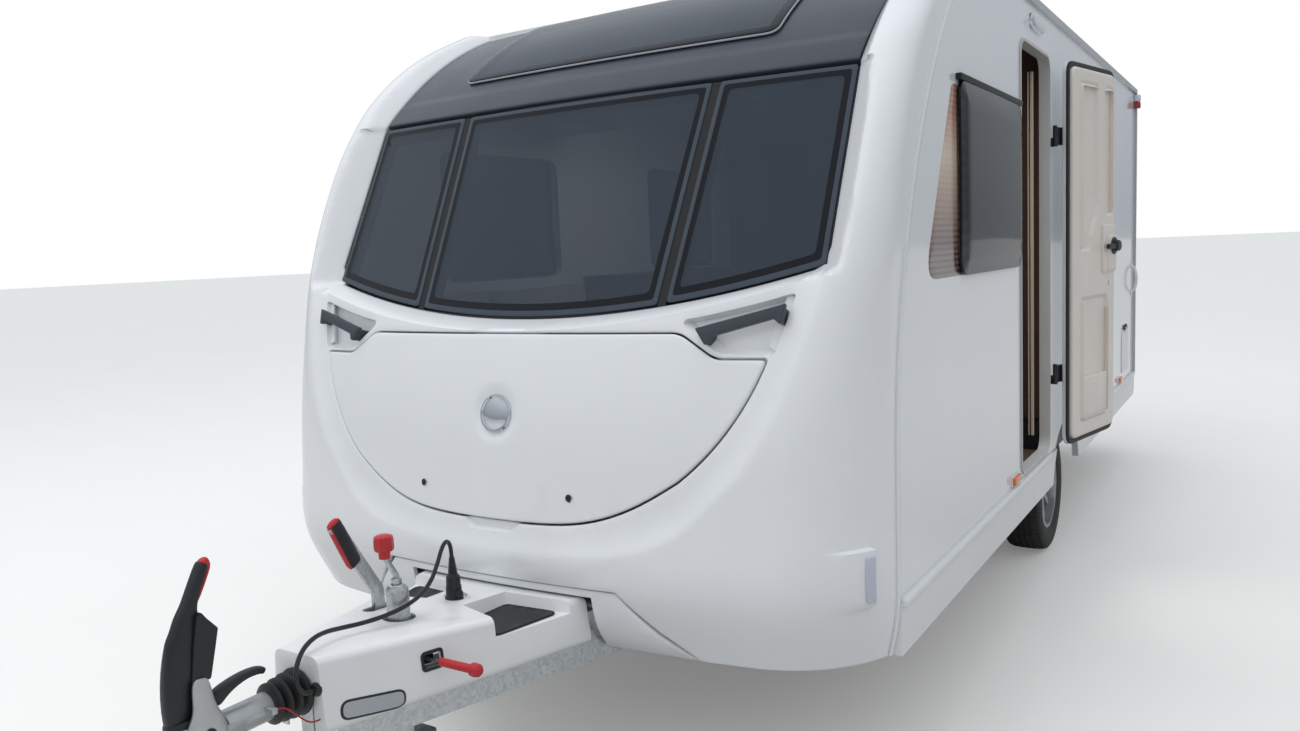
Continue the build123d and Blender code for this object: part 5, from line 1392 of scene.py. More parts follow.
class Side(Enum):
    """The two sides of the body: the sign of their x."""

    NEARSIDE = 1
    OFFSIDE = -1


def carried(piece: Object, body: str, slot: str, *nodes: str) -> Object:
    """Lets a piece ride a body and hides the nodes that it stands for.

    Args:
        piece: The piece.
        body: Body that carries it.
        slot: Material slot name; not used.
        nodes: Nodes that the piece replaces.

    Returns:
        The piece.
    """
    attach(piece, body)
    if nodes:
        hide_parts(*nodes)
    LOG.info("%s rides %s", piece.name, body)
    return piece


@dataclass
class FrontMoulding:
    """The moulded front, its locker lid, valance, handles and marker plates."""

    pitch: float = 0.015
    bottom: float = 0.400
    bay: tuple[Point, ...] = ((0.640, 0.396), (0.540, 0.480), (0.430, 0.596))
    bay_gap: float = 0.005
    lid_gap: float = 0.006
    lid_proud: float = 0.004
    lid_half: tuple[float, float] = (0.843, 1.242)
    lid_ear_x: float = 0.700
    lid_step_x: float = 0.590
    lid_top: float = 1.312
    lid_side: Point = (0.664, 0.963)
    lid_low: Point = (0.300, 0.776)
    lid_bottom: float = 0.769
    badge_height: float = 1.080
    badge_radius: float = 0.058
    badge_dish: float = 0.086
    lock_at: Point = (0.281, 0.853)
    ear_round: float = 0.03
    step_round: float = 0.09
    grip_proud: float = 0.030
    # corners of the grip and its feet: x and height
    grip: tuple[Point, ...] = ((0.645, 1.321), (0.676, 1.279), (0.685, 1.281), (0.694, 1.300), (0.859, 1.344),
                               (0.876, 1.332), (0.886, 1.331), (0.892, 1.382))
    inner_foot: tuple[Point, ...] = ((0.652, 1.318), (0.677, 1.281), (0.684, 1.283), (0.690, 1.320))
    outer_foot: tuple[Point, ...] = ((0.864, 1.368), (0.867, 1.340), (0.876, 1.334), (0.884, 1.334),
                                     (0.889, 1.374))
    grip_thick: float = 0.014
    foot_thick: float = 0.064
    # turned profiles of the badge, which is added to its radius, of a lock and of its core
    badge_profile: tuple[Point, ...] = ((0, -0.004), (0, 0.006), (-0.002, 0.009), (-0.007, 0.0095),
                                        (-0.010, 0.006), (-0.022, 0.0095))
    lock_profile: tuple[Point, ...] = ((0, -0.006), (0.0125, -0.006), (0.0125, 0.002), (0.0105, 0.0035))
    core_profile: tuple[Point, ...] = ((0.0106, 0.001), (0.0104, 0.0034), (0.0085, 0.0042),
                                       (0.002, 0.0036), (0.0015, 0.002), (0, 0.002))

    @staticmethod
    def arc_through(a: Point, b: Point, c: Point, steps: int) -> Loop:
        """Draws the circle arc from a through b to c.

        Args:
            a: First point.
            b: A point between.
            c: Last point, which is left out.
            steps: Segments of the arc.

        Returns:
            The points of the arc.
        """
        (x, y), radius = circle_through(a, b, c)
        turns = [math.atan2(p[1] - y, p[0] - x) for p in (a, b, c)]
        sweep = (turns[2] - turns[0]) % (2 * math.pi)
        if (turns[1] - turns[0]) % (2 * math.pi) > sweep:
            sweep -= 2 * math.pi
        return [(x + radius * math.cos(turns[0] + sweep * k / steps),
                 y + radius * math.sin(turns[0] + sweep * k / steps)) for k in range(steps)]

    def lid_loop(self, grow: float) -> Loop:
        """Draws the front view of the lid, with small rounds at its corners.

        Args:
            grow: Margin by which the lid is grown.

        Returns:
            The outline.
        """
        half, ear = self.lid_half[0] + grow, self.lid_half[1] + grow
        top, bottom = self.lid_top + grow, self.lid_bottom - grow
        side = (self.lid_side[0] + grow * 0.8, self.lid_side[1] - grow * 0.6)
        low = (self.lid_low[0], self.lid_low[1] - grow)
        right = self.arc_through((half, ear), side, low, 24)
        under = self.arc_through(low, (0.0, bottom), (-low[0], low[1]), 16)
        curve = [*right, *under, (-low[0], low[1]), *((-x, z) for x, z in reversed(right))]
        ears = (0, len(curve) - 1)
        for _ in range(14):
            curve = [p if k in ears or p[1] > 0.90 else
                     tuple((np.array(curve[k - 1]) + 2 * np.array(p) + np.array(curve[k + 1])) / 4)
                     for k, p in enumerate(curve)]
        upper = [(-self.lid_ear_x, ear), (-self.lid_step_x, top), (self.lid_step_x, top),
                 (self.lid_ear_x, ear)]
        radii = [self.ear_round if k in ears else 0.0 for k in range(len(curve))]
        return rounded([*curve, *upper], radii + [self.step_round] * len(upper))

    @staticmethod
    def along_nose(loop: Sequence[Point]) -> Loop:
        """Turns front view points into distances along the nose and heights."""
        return [(NOSE.arc_of_x(x, z), z) for x, z in loop]

    def outline(self) -> Loop:
        """Outer edge of the moulding: the seams, the top and the window well."""
        seam = [(NOSE.arc_of_y(NOSE.seam_y(h), h), h) for h in np.linspace(self.bottom, ROOF - 0.002, 60)]
        top = []
        for share in np.linspace(0.0, 1.0, 8):
            s_end, s_in = seam[-1][0], NOSE.arc_of_x(NOSE.WELL_HALF, ROOF)
            s = s_end + (s_in - s_end) * share
            top.append((s, ROOF + max(ROOF_START_Y - NOSE.plan(s, ROOF)[1], 0.003)))
        edge_low = SILL + (smile(NOSE.WELL_HALF) - 0.003) * math.cos(RAKE)
        well = [(NOSE.arc_of_x(NOSE.WELL_HALF, h), h) for h in np.linspace(ROOF, edge_low + 0.05, 40)]
        under = []
        for x in np.linspace(NOSE.WELL_HALF - 0.03, 0.0, 30):
            h = SILL + (smile(x) - 0.003) * math.cos(RAKE)
            under.append((NOSE.arc_of_x(x, h), h))
        right = [*seam, *top, *well, *under]
        left = [(-s, v) for s, v in reversed(right[:-1])]
        gap = self.bay_gap
        (x, _), *inner = self.bay
        bay_left = self.along_nose([(-x - gap, self.bottom), *((-x - gap, z + gap) for x, z in inner)])
        bay_right = [(-s, v) for s, v in reversed(bay_left)]
        return [*right, *left, *bay_left, *bay_right]

    def moulding(self) -> Object:
        """The white front with its rolled edges, dish, pockets and window well."""
        place = on_surface(NOSE.surface)
        hole = self.along_nose(self.lid_loop(self.lid_gap))
        panel = Panel(self.outline(), place, 0.022, 0.006, self.pitch, (hole,), 0.005, NOSE.creases())
        piece = panel.build("front_moulding_skin", [GELCOAT])
        return carried(piece, BODY, "white_moulding", "front_moulding")

    def lid(self) -> Object:
        """The locker lid with the round dish of its badge."""

        def lid_surface(s: float, v: float) -> Vector:
            """The nose with the lid's own hollows."""
            point = NOSE.surface(s, v, False)
            gap = math.hypot(point.x, v - self.badge_height)
            hollow = 0.007 * (1 - ease(gap, self.badge_radius + 0.004, self.badge_dish))
            point.y += hollow
            return point

        base = on_surface(lid_surface)
        panel = Panel(self.along_nose(self.lid_loop(0.0)),
                      lambda u, v, depth: base(u, v, depth - self.lid_proud), 0.022, 0.006, self.pitch)
        piece = panel.build("locker_lid_skin", [GELCOAT])
        return carried(piece, "locker_lid", "white_moulding", "gas_locker_lid")

    def trim(self) -> Object:
        """The plain round badge disc and the two locks of the lid."""
        place = on_surface(lambda u, v: NOSE.surface(u, v, False))
        face = place(0.0, self.badge_height, 0.0)
        axis = (NOSE.surface(0.0, self.badge_height + 0.05, False)
                - NOSE.surface(0.0, self.badge_height - 0.05, False)).cross(Vector((1, 0, 0))).normalized()
        if axis.y > 0:
            axis.negate()
        r = self.badge_radius
        profile = [(0, -0.004), *((r + step, z) for step, z in self.badge_profile), (r * 0.35, 0.0125),
                   (0, 0.013)]
        parts = [lathe("badge_disc", profile, face - axis * 0.004, axis, CHROME, 56)]
        x, height = self.lock_at
        for side in (1, -1):
            s = NOSE.arc_of_x(side * x, height)
            here = place(s, height, -self.lid_proud)
            out = place(s, height, -0.02) - here
            parts.append(lathe("lock", self.lock_profile, here, out, CHROME, 28))
            parts.append(lathe("lock_core", self.core_profile, here, out, ABS_BLACK, 28))
        return carried(joined("lid_badge_and_locks", parts), "locker_lid", "chrome_trim", "lid_trim")

    def handles(self) -> None:
        """The flat grab handles, each with a foot at both ends that reaches into its pocket."""
        parts = []
        for side in (1, -1):
            nose = on_surface(lambda x, v, s=side: NOSE.surface(NOSE.arc_of_x(s * x, v), v, False))
            for outline, thick in ((self.grip, self.grip_thick), (self.inner_foot, self.foot_thick),
                                   (self.outer_foot, self.foot_thick)):
                loop = rounded(outline, 0.0035, 4)
                panel = Panel(loop, lambda u, v, d, p=nose: p(u, v, d - self.grip_proud), thick, 0.0035, 0.02)
                parts.append(panel.build("handle", [GRIP_GREY]))
        carried(joined("front_grab_handles", parts), BODY, "grey_plastic", "front_handles")
        carried(softened("front_valance", 0.003, GELCOAT), BODY, "white_moulding")

    def build(self) -> None:
        """Builds the whole front."""
        self.moulding()
        self.lid()
        self.trim()
        self.handles()


@dataclass
class FrontGlazing:
    """Three raked panes, the graphite header and the roof-front skylight."""

    # name, x of both lower corners, x of both upper corners
    panes: tuple[tuple[str, float, float, float, float], ...] = (
        ("centre", -0.460, 0.460, -0.491, 0.491),
        ("nearside", 0.489, 0.948, 0.520, 0.948),
        ("offside", -0.948, -0.489, -0.948, -0.520),
    )
    top: float = 0.7755
    frame: float = 0.015
    border: float = 0.034
    corner: float = 0.02
    skylight_half: float = 0.630
    skylight_y: tuple[float, float] = (1.714, 2.160)
    skylight_corner: float = 0.03
    skylight_lap: float = 0.012
    skylight_border: float = 0.035
    fold: float = 0.004
    light_line: float = 0.0035

    def pane_loop(self, low: Point, high: Point, inset: float, corner: float) -> Loop:
        """Draws a pane's edge, with its curved sill.

        Args:
            low: x of the lower corners.
            high: x of the upper corners.
            inset: Distance inside the pane's edge.
            corner: Radius of the corners.

        Returns:
            The edge in x and distance up the glass.
        """
        top = self.top - inset
        left, right = (low[0] + inset, high[0] + inset), (low[1] - inset, high[1] - inset)
        sill = [(x, smile(x) + 0.002 + inset * 1.25) for x in np.linspace(left[0], right[0], 14)]
        radii = [corner] + [0.0] * (len(sill) - 2) + [corner] * 3
        return rounded([*sill, (right[1], top), (left[1], top)], radii)

    def front_panes(self) -> None:
        """The panes: a printed frame, a black band and a clearer middle."""
        place = on_surface(glass)
        parts = []
        for name, a, b, c, d in self.panes:
            outline, band, inner = (self.pane_loop((a, b), (c, d), inset, corner) for inset, corner in (
                (0.0, 0.012), (self.frame, 0.012), (self.border, self.corner)))
            panel = Panel(outline, place, 0.006, 0.003, 0.03, zones=(band, inner))
            parts.append(panel.build(name, [PANE_FRAME, ACRYLIC_EDGE, ACRYLIC]))
        carried(joined("front_panes", parts), BODY, "smoked_glazing", "front_windows")

    def skylight_loop(self, grow: float, corner: float) -> Loop:
        """Draws the skylight's outline on the header.

        Args:
            grow: Margin by which the outline is grown.
            corner: Radius of the corners.

        Returns:
            The outline in x and distance up the header's arc.
        """
        low, high = (HEADER.v_of_y(0.0, y) for y in self.skylight_y)
        half = self.skylight_half + grow
        return rounded([(-half, low - grow), (half, low - grow), (half, high + grow), (-half, high + grow)],
                       corner, 8)

    def header(self) -> None:
        """The graphite panel above the panes with the skylight's opening and a raised fold."""

        def folded(x: float, v: float) -> Vector:
            """The header with a faint fold across it."""
            return HEADER.surface(x, v, self.fold * (1 - ease(v, 0.11, 0.125)))

        half = WINDOW_HALF - 0.001
        hole = self.skylight_loop(0.0, self.skylight_corner)
        outline = [(-half, 0.001), (half, 0.001), (half, HEADER.length), (-half, HEADER.length)]
        panel = Panel(refined(outline, 0.02), on_surface(folded), 0.026, 0.004, 0.022, (hole,))
        piece = panel.build("front_header_skin", [GRAPHITE])
        carried(piece, BODY, "graphite_panel", "front_header")
        place = on_surface(lambda x, v: HEADER.surface(x, v, 0.014))
        grown = self.skylight_loop(self.skylight_lap, self.skylight_corner + 0.01)
        inner = offset(refined(grown, 0.02), self.skylight_border)
        pane = Panel(grown, place, 0.010, 0.005, 0.03, zones=(inner,))
        piece = pane.build("skylight_pane", [ACRYLIC_EDGE, ACRYLIC])
        carried(piece, BODY, "smoked_glazing", "front_skylight")
        path = [HEADER.surface(x, v, 0.007) for x, v in refined(grown, 0.02)]
        rim = bead("skylight_rim", path, (self.light_line, 0.004), SILVER_FILM)
        carried(rim, BODY, "anodised_aluminium")

    def build(self) -> None:
        """Builds the glazing and the header."""
        self.front_panes()
        self.header()


@dataclass
class BodySides:
    """Side and rear windows, printed film, lamps, rails and the small fittings of the walls."""

    # side, y from, y to, height from, height to of each opening
    windows: tuple[tuple[int, float, float, float, float], ...] = (
        (1, 2.020, 2.850, 1.440, 2.010), (-1, 2.020, 2.850, 1.440, 2.010), (-1, 3.700, 4.500, 1.440, 2.010),
        (-1, 5.650, 6.050, 1.560, 2.010))
    lap: float = 0.022
    corner: float = 0.07
    proud: float = 0.030
    film_low: float = 1.420
    film_high: float = 2.012
    rail_runs: tuple[Point, ...] = ((1.378, 3.470), (4.290, 6.440))
    # x from, x to, height from, height to of the rear pane
    rear_pane: tuple[float, float, float, float] = (-0.672, 0.672, 1.408, 2.012)
    border: float = 0.045
    side_lamps: tuple[float, ...] = (2.785, 5.780)
    # height from, height to and finish of the lenses at the rear corners and on the rear panel
    end_lenses: tuple[tuple[float, float, Finish], ...] = (
        (2.353, 2.397, RED_LENS), (2.399, 2.443, CLEAR_LENS))
    rear_lenses: tuple[tuple[float, float, Finish], ...] = (
        (0.670, 0.900, RED_LENS), (0.904, 1.020, AMBER), (1.024, 1.140, CLEAR_LENS))
    awning_lamp: Point = (3.195, 2.385)
    # x, y and width of each roof vent
    vents: tuple[tuple[float, float, float], ...] = (
        (0.0, 2.900, 0.400), (0.250, 4.700, 0.400), (-0.650, 5.900, 0.280))
    dome_at: Point = (0.780, 3.950)
    dome: tuple[Point, ...] = ((0, 0), (0.060, 0), (0.058, 0.006), (0.044, 0.022), (0.052, 0.034),
                               (0.094, 0.072), (0.094, 0.082), (0.085, 0.094), (0.050, 0.104), (0, 0.107))

    def window_panel(self, place: Place, size: tuple[float, float, float, float], name: str) -> Object:
        """Builds a bulged pane with a black printed border.

        Args:
            place: Surface of the pane.
            size: Range of both directions: a from, a to, b from, b to.
            name: Object name.

        Returns:
            The pane.
        """
        a, b, c, d = size
        loop = refined(rounded([(a, c), (b, c), (b, d), (a, d)], self.corner, 8), 0.02)
        panel = Panel(loop, place, 0.008, 0.004, 0.024, zones=(offset(loop, self.border),))
        # The middle of each pane is darkened: painted shade for the dim cabin behind it
        return panel.build(name, [ACRYLIC_EDGE, ACRYLIC_SIDE_PAINTED_SHADE])

    def bulge(self, u: float, v: float, size: tuple[float, float, float, float]) -> float:
        """Finds how far a pane stands out: flat rim, then a soft step to its crowned middle.

        Args:
            u: Place in the pane's first direction.
            v: Place in its second direction.
            size: Range of both directions.

        Returns:
            The distance from the wall.
        """
        a, b, c, d = size
        edge = min(u - a, b - u, v - c, d - v)
        middle = math.cos((u - (a + b) / 2) / (b - a) * 2) * math.cos((v - (c + d) / 2) / (d - c) * 2)
        return self.proud * (0.45 + 0.35 * ease(edge, 0.012, 0.060) + 0.20 * max(middle, 0.0))

    def side_windows(self) -> None:
        """All hinged panes with their top rails."""
        parts, rails = [], []
        for side, a, b, c, d in self.windows:
            size = (a - self.lap, b + self.lap, c - self.lap, d + self.lap)
            place = on_surface(
                lambda u, v, s=side, z=size: Vector((s * (HALF + self.bulge(u, v, z)), u, level(v))),
                Vector((0, (a + b) / 2, level(1.7))))
            parts.append(self.window_panel(place, size, "pane"))
            rails.append(rounded_box("rail", (side * HALF, side * (HALF + 0.020)), size[:2],
                                     (size[3] - 0.004, size[3] + 0.016), 0.004, GASKET))
        size = self.rear_pane
        place = on_surface(lambda u, v: Vector((u, REAR_Y + self.bulge(u, v, size), level(v))),
                           Vector((0, 5, level(1.7))))
        parts.append(self.window_panel(place, size, "pane"))
        carried(joined("side_and_rear_panes", parts), BODY, "smoked_glazing", "body_windows")
        carried(joined("window_top_rails", rails), BODY, "black_plastic")

    def film(self) -> None:
        """Printed film round the front side windows, with a slanted, rounded front edge."""
        outline = rounded([(1.655, self.film_low), (2.893, self.film_low), (2.893, self.film_high),
                           (1.955, self.film_high)], [0.07, 0.004, 0.004, 0.03], 10)
        hole = rounded([(2.03, 1.45), (2.84, 1.45), (2.84, 2.0), (2.03, 2.0)], 0.05)
        for side in Side:
            place = on_surface(lambda u, v, s=side.value: Vector((s * (HALF + 0.0014), u, level(v))))
            panel = Panel(outline, place, 0.0012, 0.0006, 0.04, (hole,), 0.0006)
            piece = panel.build(f"side_film_{side.name.lower()}", [FILM])
            carried(piece, BODY, "graphite_panel")

    def seam_trims(self) -> None:
        """Rounded trims that cover the seams between the front moulding and the side walls."""
        heights = np.linspace(0.405, ROOF - 0.006, 60)
        for side in Side:
            edge = [NOSE.plan(NOSE.arc_of_y(NOSE.seam_y(h), h), h)[0] for h in heights]
            path = [Vector((side.value * (x + 0.002), NOSE.seam_y(h) + 0.004, level(h)))
                    for x, h in zip(edge, heights)]
            trim = bead(f"seam_trim_{side.name.lower()}", path, (0.013, 0.0055), WALL_PAINT, False,
                        Vector((1, 0, 0)))
            carried(trim, BODY, "white_wall_panel")

    def skirt_rails(self) -> None:
        """Rounded rails along the top of the skirts, left out over the wheel arches."""
        parts = []
        for side in Side:
            x = (side.value * (HALF - 0.004), side.value * (HALF + 0.020))
            for run in self.rail_runs:
                parts.append(rounded_box("rail", x, run, (0.534, 0.562), 0.009, ABS_WHITE, 4))
        carried(joined("skirt_top_rails", parts), BODY, "white_plastic")

    def lamps(self) -> None:
        """Side, end, awning and rear lamps and the nose marker plates."""
        parts = []
        for side in Side:
            s = side.value
            for y in self.side_lamps:
                parts.append(rounded_box("lamp", (s * (HALF + 0.002), s * (HALF + 0.018)),
                                         (y - 0.054, y + 0.054), (0.575, 0.605), 0.007, AMBER))
                parts.append(rounded_box("base", (s * HALF, s * (HALF + 0.006)),
                                         (y - 0.058, y + 0.058), (0.571, 0.609), 0.003, ABS_WHITE))
            for low, high, finish in self.end_lenses:
                parts.append(rounded_box("end", (s * HALF, s * (HALF + 0.040)), (6.420, 6.460), (low, high),
                                         0.008, finish))
            for low, high, finish in self.rear_lenses:
                parts.append(rounded_box("rear", (s * 0.905, s * 1.065), (REAR_Y - 0.004, REAR_Y + 0.036),
                                         (low, high), 0.012, finish))
            parts.append(self.marker_plate(side))
        y, height = self.awning_lamp
        loop = refined(rounded([(y - 0.12, height - 0.03), (y + 0.12, height - 0.03), (y + 0.12, height + 0.03),
                                (y - 0.12, height + 0.03)], 0.0295, 8), 0.01)
        for grow, proud, finish in ((0.0, 0.014, CHROME), (0.010, 0.024, CLEAR_LENS)):
            place = on_surface(lambda u, v, p=proud: Vector((HALF + p, u, level(v))))
            panel = Panel(offset(loop, grow) if grow else loop, place, proud, 0.006, 0.02)
            parts.append(panel.build("awning", [finish]))
        carried(joined("outer_lamps_finished", parts), BODY, "amber_lens", "outer_lamps")

    @staticmethod
    def marker_plate(side: Side) -> Object:
        """A slim white marker plate in its pocket at the front corner."""
        s_low, s_high = NOSE.marker_s - 0.036, NOSE.marker_s - 0.006
        place = on_surface(lambda u, v: NOSE.surface(u, v, True))
        loop = rounded([(s_low, 0.600), (s_high, 0.600), (s_high, 0.728), (s_low, 0.728)], 0.008)
        panel = Panel(loop, lambda u, v, d: place(u, v, d - 0.008), 0.008, 0.003, 0.01)
        plate = panel.build("marker", [MARKER_PLATE])
        if side is Side.OFFSIDE:
            copy = mirrored(plate, "marker_left")
            bpy.data.objects.remove(plate)
            return copy
        return plate

    def roof_fittings(self) -> None:
        """The aerial dome, an upside-down white cone, and rounded roof vents."""
        x, y = self.dome_at
        parts = [lathe("dome", self.dome, Vector((x, y, level(ROOF))), Vector((0, 0, 1)), ABS_WHITE, 48)]
        for x, y, size in self.vents:
            h = size / 2
            parts.append(rounded_box("vent", (x - h, x + h), (y - h, y + h), (ROOF - 0.004, ROOF + 0.030),
                                     0.012, ABS_WHITE))
            h -= 0.02
            parts.append(rounded_box("cap", (x - h, x + h), (y - h, y + h), (ROOF + 0.024, ROOF + 0.058),
                                     0.016, CLEAR_LENS, 4))
        carried(joined("roof_vents_and_dome", parts), BODY, "white_plastic", "roof_fittings")

    def fittings(self) -> None:
        """A grab handle beside the rear corner and a plain blank number plate on the rear panel."""
        heights = np.linspace(0.0, 1.0, 17)
        path = [Vector((HALF + 0.002 + 0.034 * math.sin(math.pi * t) ** 0.45, 6.330, level(1.120 + 0.180 * t)))
                for t in heights]
        handle = bead("handle", path, (0.009, 0.007), ABS_WHITE, False, Vector((0, 1, 0)), 12)
        feet = [rounded_box("foot", (HALF - 0.001, HALF + 0.008), (6.314, 6.346), (h - 0.020, h + 0.020), 0.003,
                            ABS_WHITE) for h in (1.120, 1.300)]
        carried(joined("corner_grab_handle", [handle, *feet]), BODY, "white_plastic")
        plate = rounded_box("plate", (-0.260, 0.260), (REAR_Y - 0.001, REAR_Y + 0.006), (0.780, 0.891), 0.002,
                            CLEAR_LENS)
        lamp = rounded_box("plate_lamp", (-0.050, 0.050), (REAR_Y - 0.001, REAR_Y + 0.026), (0.902, 0.926),
                           0.006, ABS_BLACK)
        strip = rounded_box("stop_lamp", (-0.190, 0.190), (REAR_Y - 0.001, REAR_Y + 0.018), (2.190, 2.222),
                            0.007, RED_LENS)
        carried(joined("rear_plate_and_lamps", [plate, lamp, strip]), BODY, "white_plastic")

    def build(self) -> None:
        """Builds everything on the walls and the roof."""
        self.fittings()
        self.side_windows()
        self.film()
        self.seam_trims()
        self.skirt_rails()
        self.lamps()
        self.roof_fittings()


@dataclass
class EntranceDoor:
    """The open door: white skin, black seal, moulded liner tray, lock and hinge barrels."""

    low: Point = (2.918, 0.588)
    high: Point = (3.472, 2.282)
    outer_x: float = 1.117
    seal_x: float = 1.101
    inner_x: float = 1.079
    tray_inset: float = 0.024
    hinge: Point = (1.137, 3.500)
    hinge_heights: tuple[float, float] = (0.915, 1.960)
    open_angle: float = 168.0
    corner: float = 0.060
    recess_depth: float = 0.014
    recess_wall: float = 0.017
    # closed y and height of the corners of each recess, before rounding
    tall: tuple[Point, ...] = ((3.372, 1.450), (3.372, 2.207), (3.150, 2.207), (3.150, 1.660), (3.165, 1.600),
                               (3.225, 1.520), (3.240, 1.450))
    narrow: tuple[Point, ...] = ((3.075, 1.610), (3.075, 2.207), (2.962, 2.207), (2.962, 1.610))
    lower: tuple[Point, ...] = ((3.362, 0.672), (3.362, 1.250), (3.040, 1.250), (3.012, 1.190),
                                (3.012, 0.672))
    # turned profiles
    barrel: tuple[Point, ...] = ((0, -0.045), (0.009, -0.045), (0.009, 0.045), (0, 0.045))
    ring: tuple[Point, ...] = ((0, 0), (0.040, 0), (0.040, 0.005), (0.036, 0.009), (0.028, 0.010), (0, 0.010))
    knob: tuple[Point, ...] = ((0, 0.009), (0.026, 0.009), (0.0255, 0.026), (0.022, 0.030), (0, 0.031))
    cap: tuple[Point, ...] = ((0, 0), (0.014, 0), (0.013, 0.004), (0, 0.006))

    def opened(self, piece: Object) -> Object:
        """Turns a piece from the closed door to the open one."""
        at = Vector((self.hinge[0], self.hinge[1], 0))
        return turned(piece, Matrix.Translation(at) @ Matrix.Rotation(math.radians(self.open_angle), 4, "Z")
                      @ Matrix.Translation(-at))

    def outline(self, inset: float) -> Loop:
        """The leaf's outline, moved inwards."""
        (a, c), (b, d) = self.low, self.high
        return rounded([(a + inset, c + inset), (b - inset, c + inset), (b - inset, d - inset),
                        (a + inset, d - inset)], self.corner - inset * 0.5, 8)

    def leaf(self) -> None:
        """The white outer skin with its turned edge."""
        place = on_surface(lambda y, h: Vector((self.outer_x, y, level(h))))
        panel = Panel(self.outline(0.0), place, self.outer_x - self.seal_x, 0.004, 0.05)
        parts = [panel.build("skin", [WALL_PAINT])]
        x, y = self.hinge
        for height in self.hinge_heights:
            span = (height - 0.038, height + 0.038)
            parts.append(lathe("barrel", self.barrel, Vector((x, y, level(height))), Vector((0, 0, 1)),
                               ABS_BLACK, 24))
            parts.append(rounded_box("strap", (x - 0.0115, x + 0.006), (y - 0.075, y + 0.004), span, 0.003,
                                     ABS_BLACK))
            parts.append(rounded_box("pad", (x - 0.021, x - 0.009), (y - 0.075, y - 0.032), span, 0.003,
                                     ABS_BLACK))
        carried(self.opened(joined("door_leaf", parts)), "entrance_door", "white_wall_panel", "door")

    def liner(self) -> None:
        """The beige tray with its recesses and rolled rim."""
        loops = [np.array(refined(rounded(points, 0.034, 6), 0.02))
                 for points in (self.tall, self.narrow, self.lower)]

        def face(y: float, height: float) -> Vector:
            """The liner's face in the closed door's place."""
            depth = 0.0
            for loop in loops:
                low, high = loop.min(axis=0), loop.max(axis=0)
                if low[0] < y < high[0] and low[1] < height < high[1]:
                    depth = self.recess_depth * ease(depth_in((y, height), loop), 0.0, self.recess_wall)
            return Vector((self.inner_x + depth, y, level(height)))

        zones = [offset(loop, inset) if inset else [tuple(p) for p in loop]
                 for loop in loops for inset in (0.0, 0.0085, 0.017)]
        panel = Panel(self.outline(self.tray_inset), on_surface(face, Vector((1.2, 3.2, 1.0))),
                      self.seal_x - self.inner_x, 0.011, 0.016, zones=zones, roll_steps=5)
        piece = self.opened(panel.build("door_liner", [LINER]))
        carried(piece, "entrance_door", "door_liner")

    def seal(self) -> None:
        """The black bulb seal between the skin and the liner."""
        path = [Vector((self.seal_x - 0.003, y, level(h))) for y, h in refined(self.outline(0.012), 0.03)]
        piece = self.opened(bead("door_seal", path, (0.012, 0.0075), GASKET, True, Vector((1, 0, 0)), 12))
        carried(piece, "entrance_door", "black_plastic")

    def furniture(self) -> None:
        """The lock box with its rotary knob and lever, a small cap and the lower pocket."""
        x = self.inner_x
        parts = [rounded_box("lock_box", (x - 0.010, x + 0.004), (2.950, 3.110), (1.350, 1.570), 0.0068,
                             LINER, 4),
                 rounded_box("lock_plate", (x - 0.014, x - 0.006), (2.958, 3.060), (1.358, 1.520), 0.0038,
                             LINER, 3)]
        at = Vector((x - 0.012, 2.992, level(1.470)))
        out = Vector((-1, 0, 0))
        parts.append(lathe("ring", self.ring, at, out, ABS_BLACK, 36))
        parts.append(lathe("knob", self.knob, at, out, ABS_BLACK, 32))
        parts.append(rounded_box("lever", (x - 0.036, x - 0.020), (2.996, 3.108), (1.457, 1.480), 0.006,
                                 ABS_BLACK))
        parts.append(lathe("cap", self.cap, Vector((x - 0.001, 3.010, level(1.301))), out, ABS_WHITE, 24))
        parts.append(rounded_box("pocket", (x - 0.002, x + 0.016), (3.030, 3.335), (0.690, 0.880), 0.008,
                                 LINER, 4))
        piece = self.opened(joined("door_lock_and_pocket", parts))
        carried(piece, "entrance_door", "door_liner")

    def build(self) -> None:
        """Builds the door."""
        self.leaf()
        self.liner()
        self.seal()
        self.furniture()


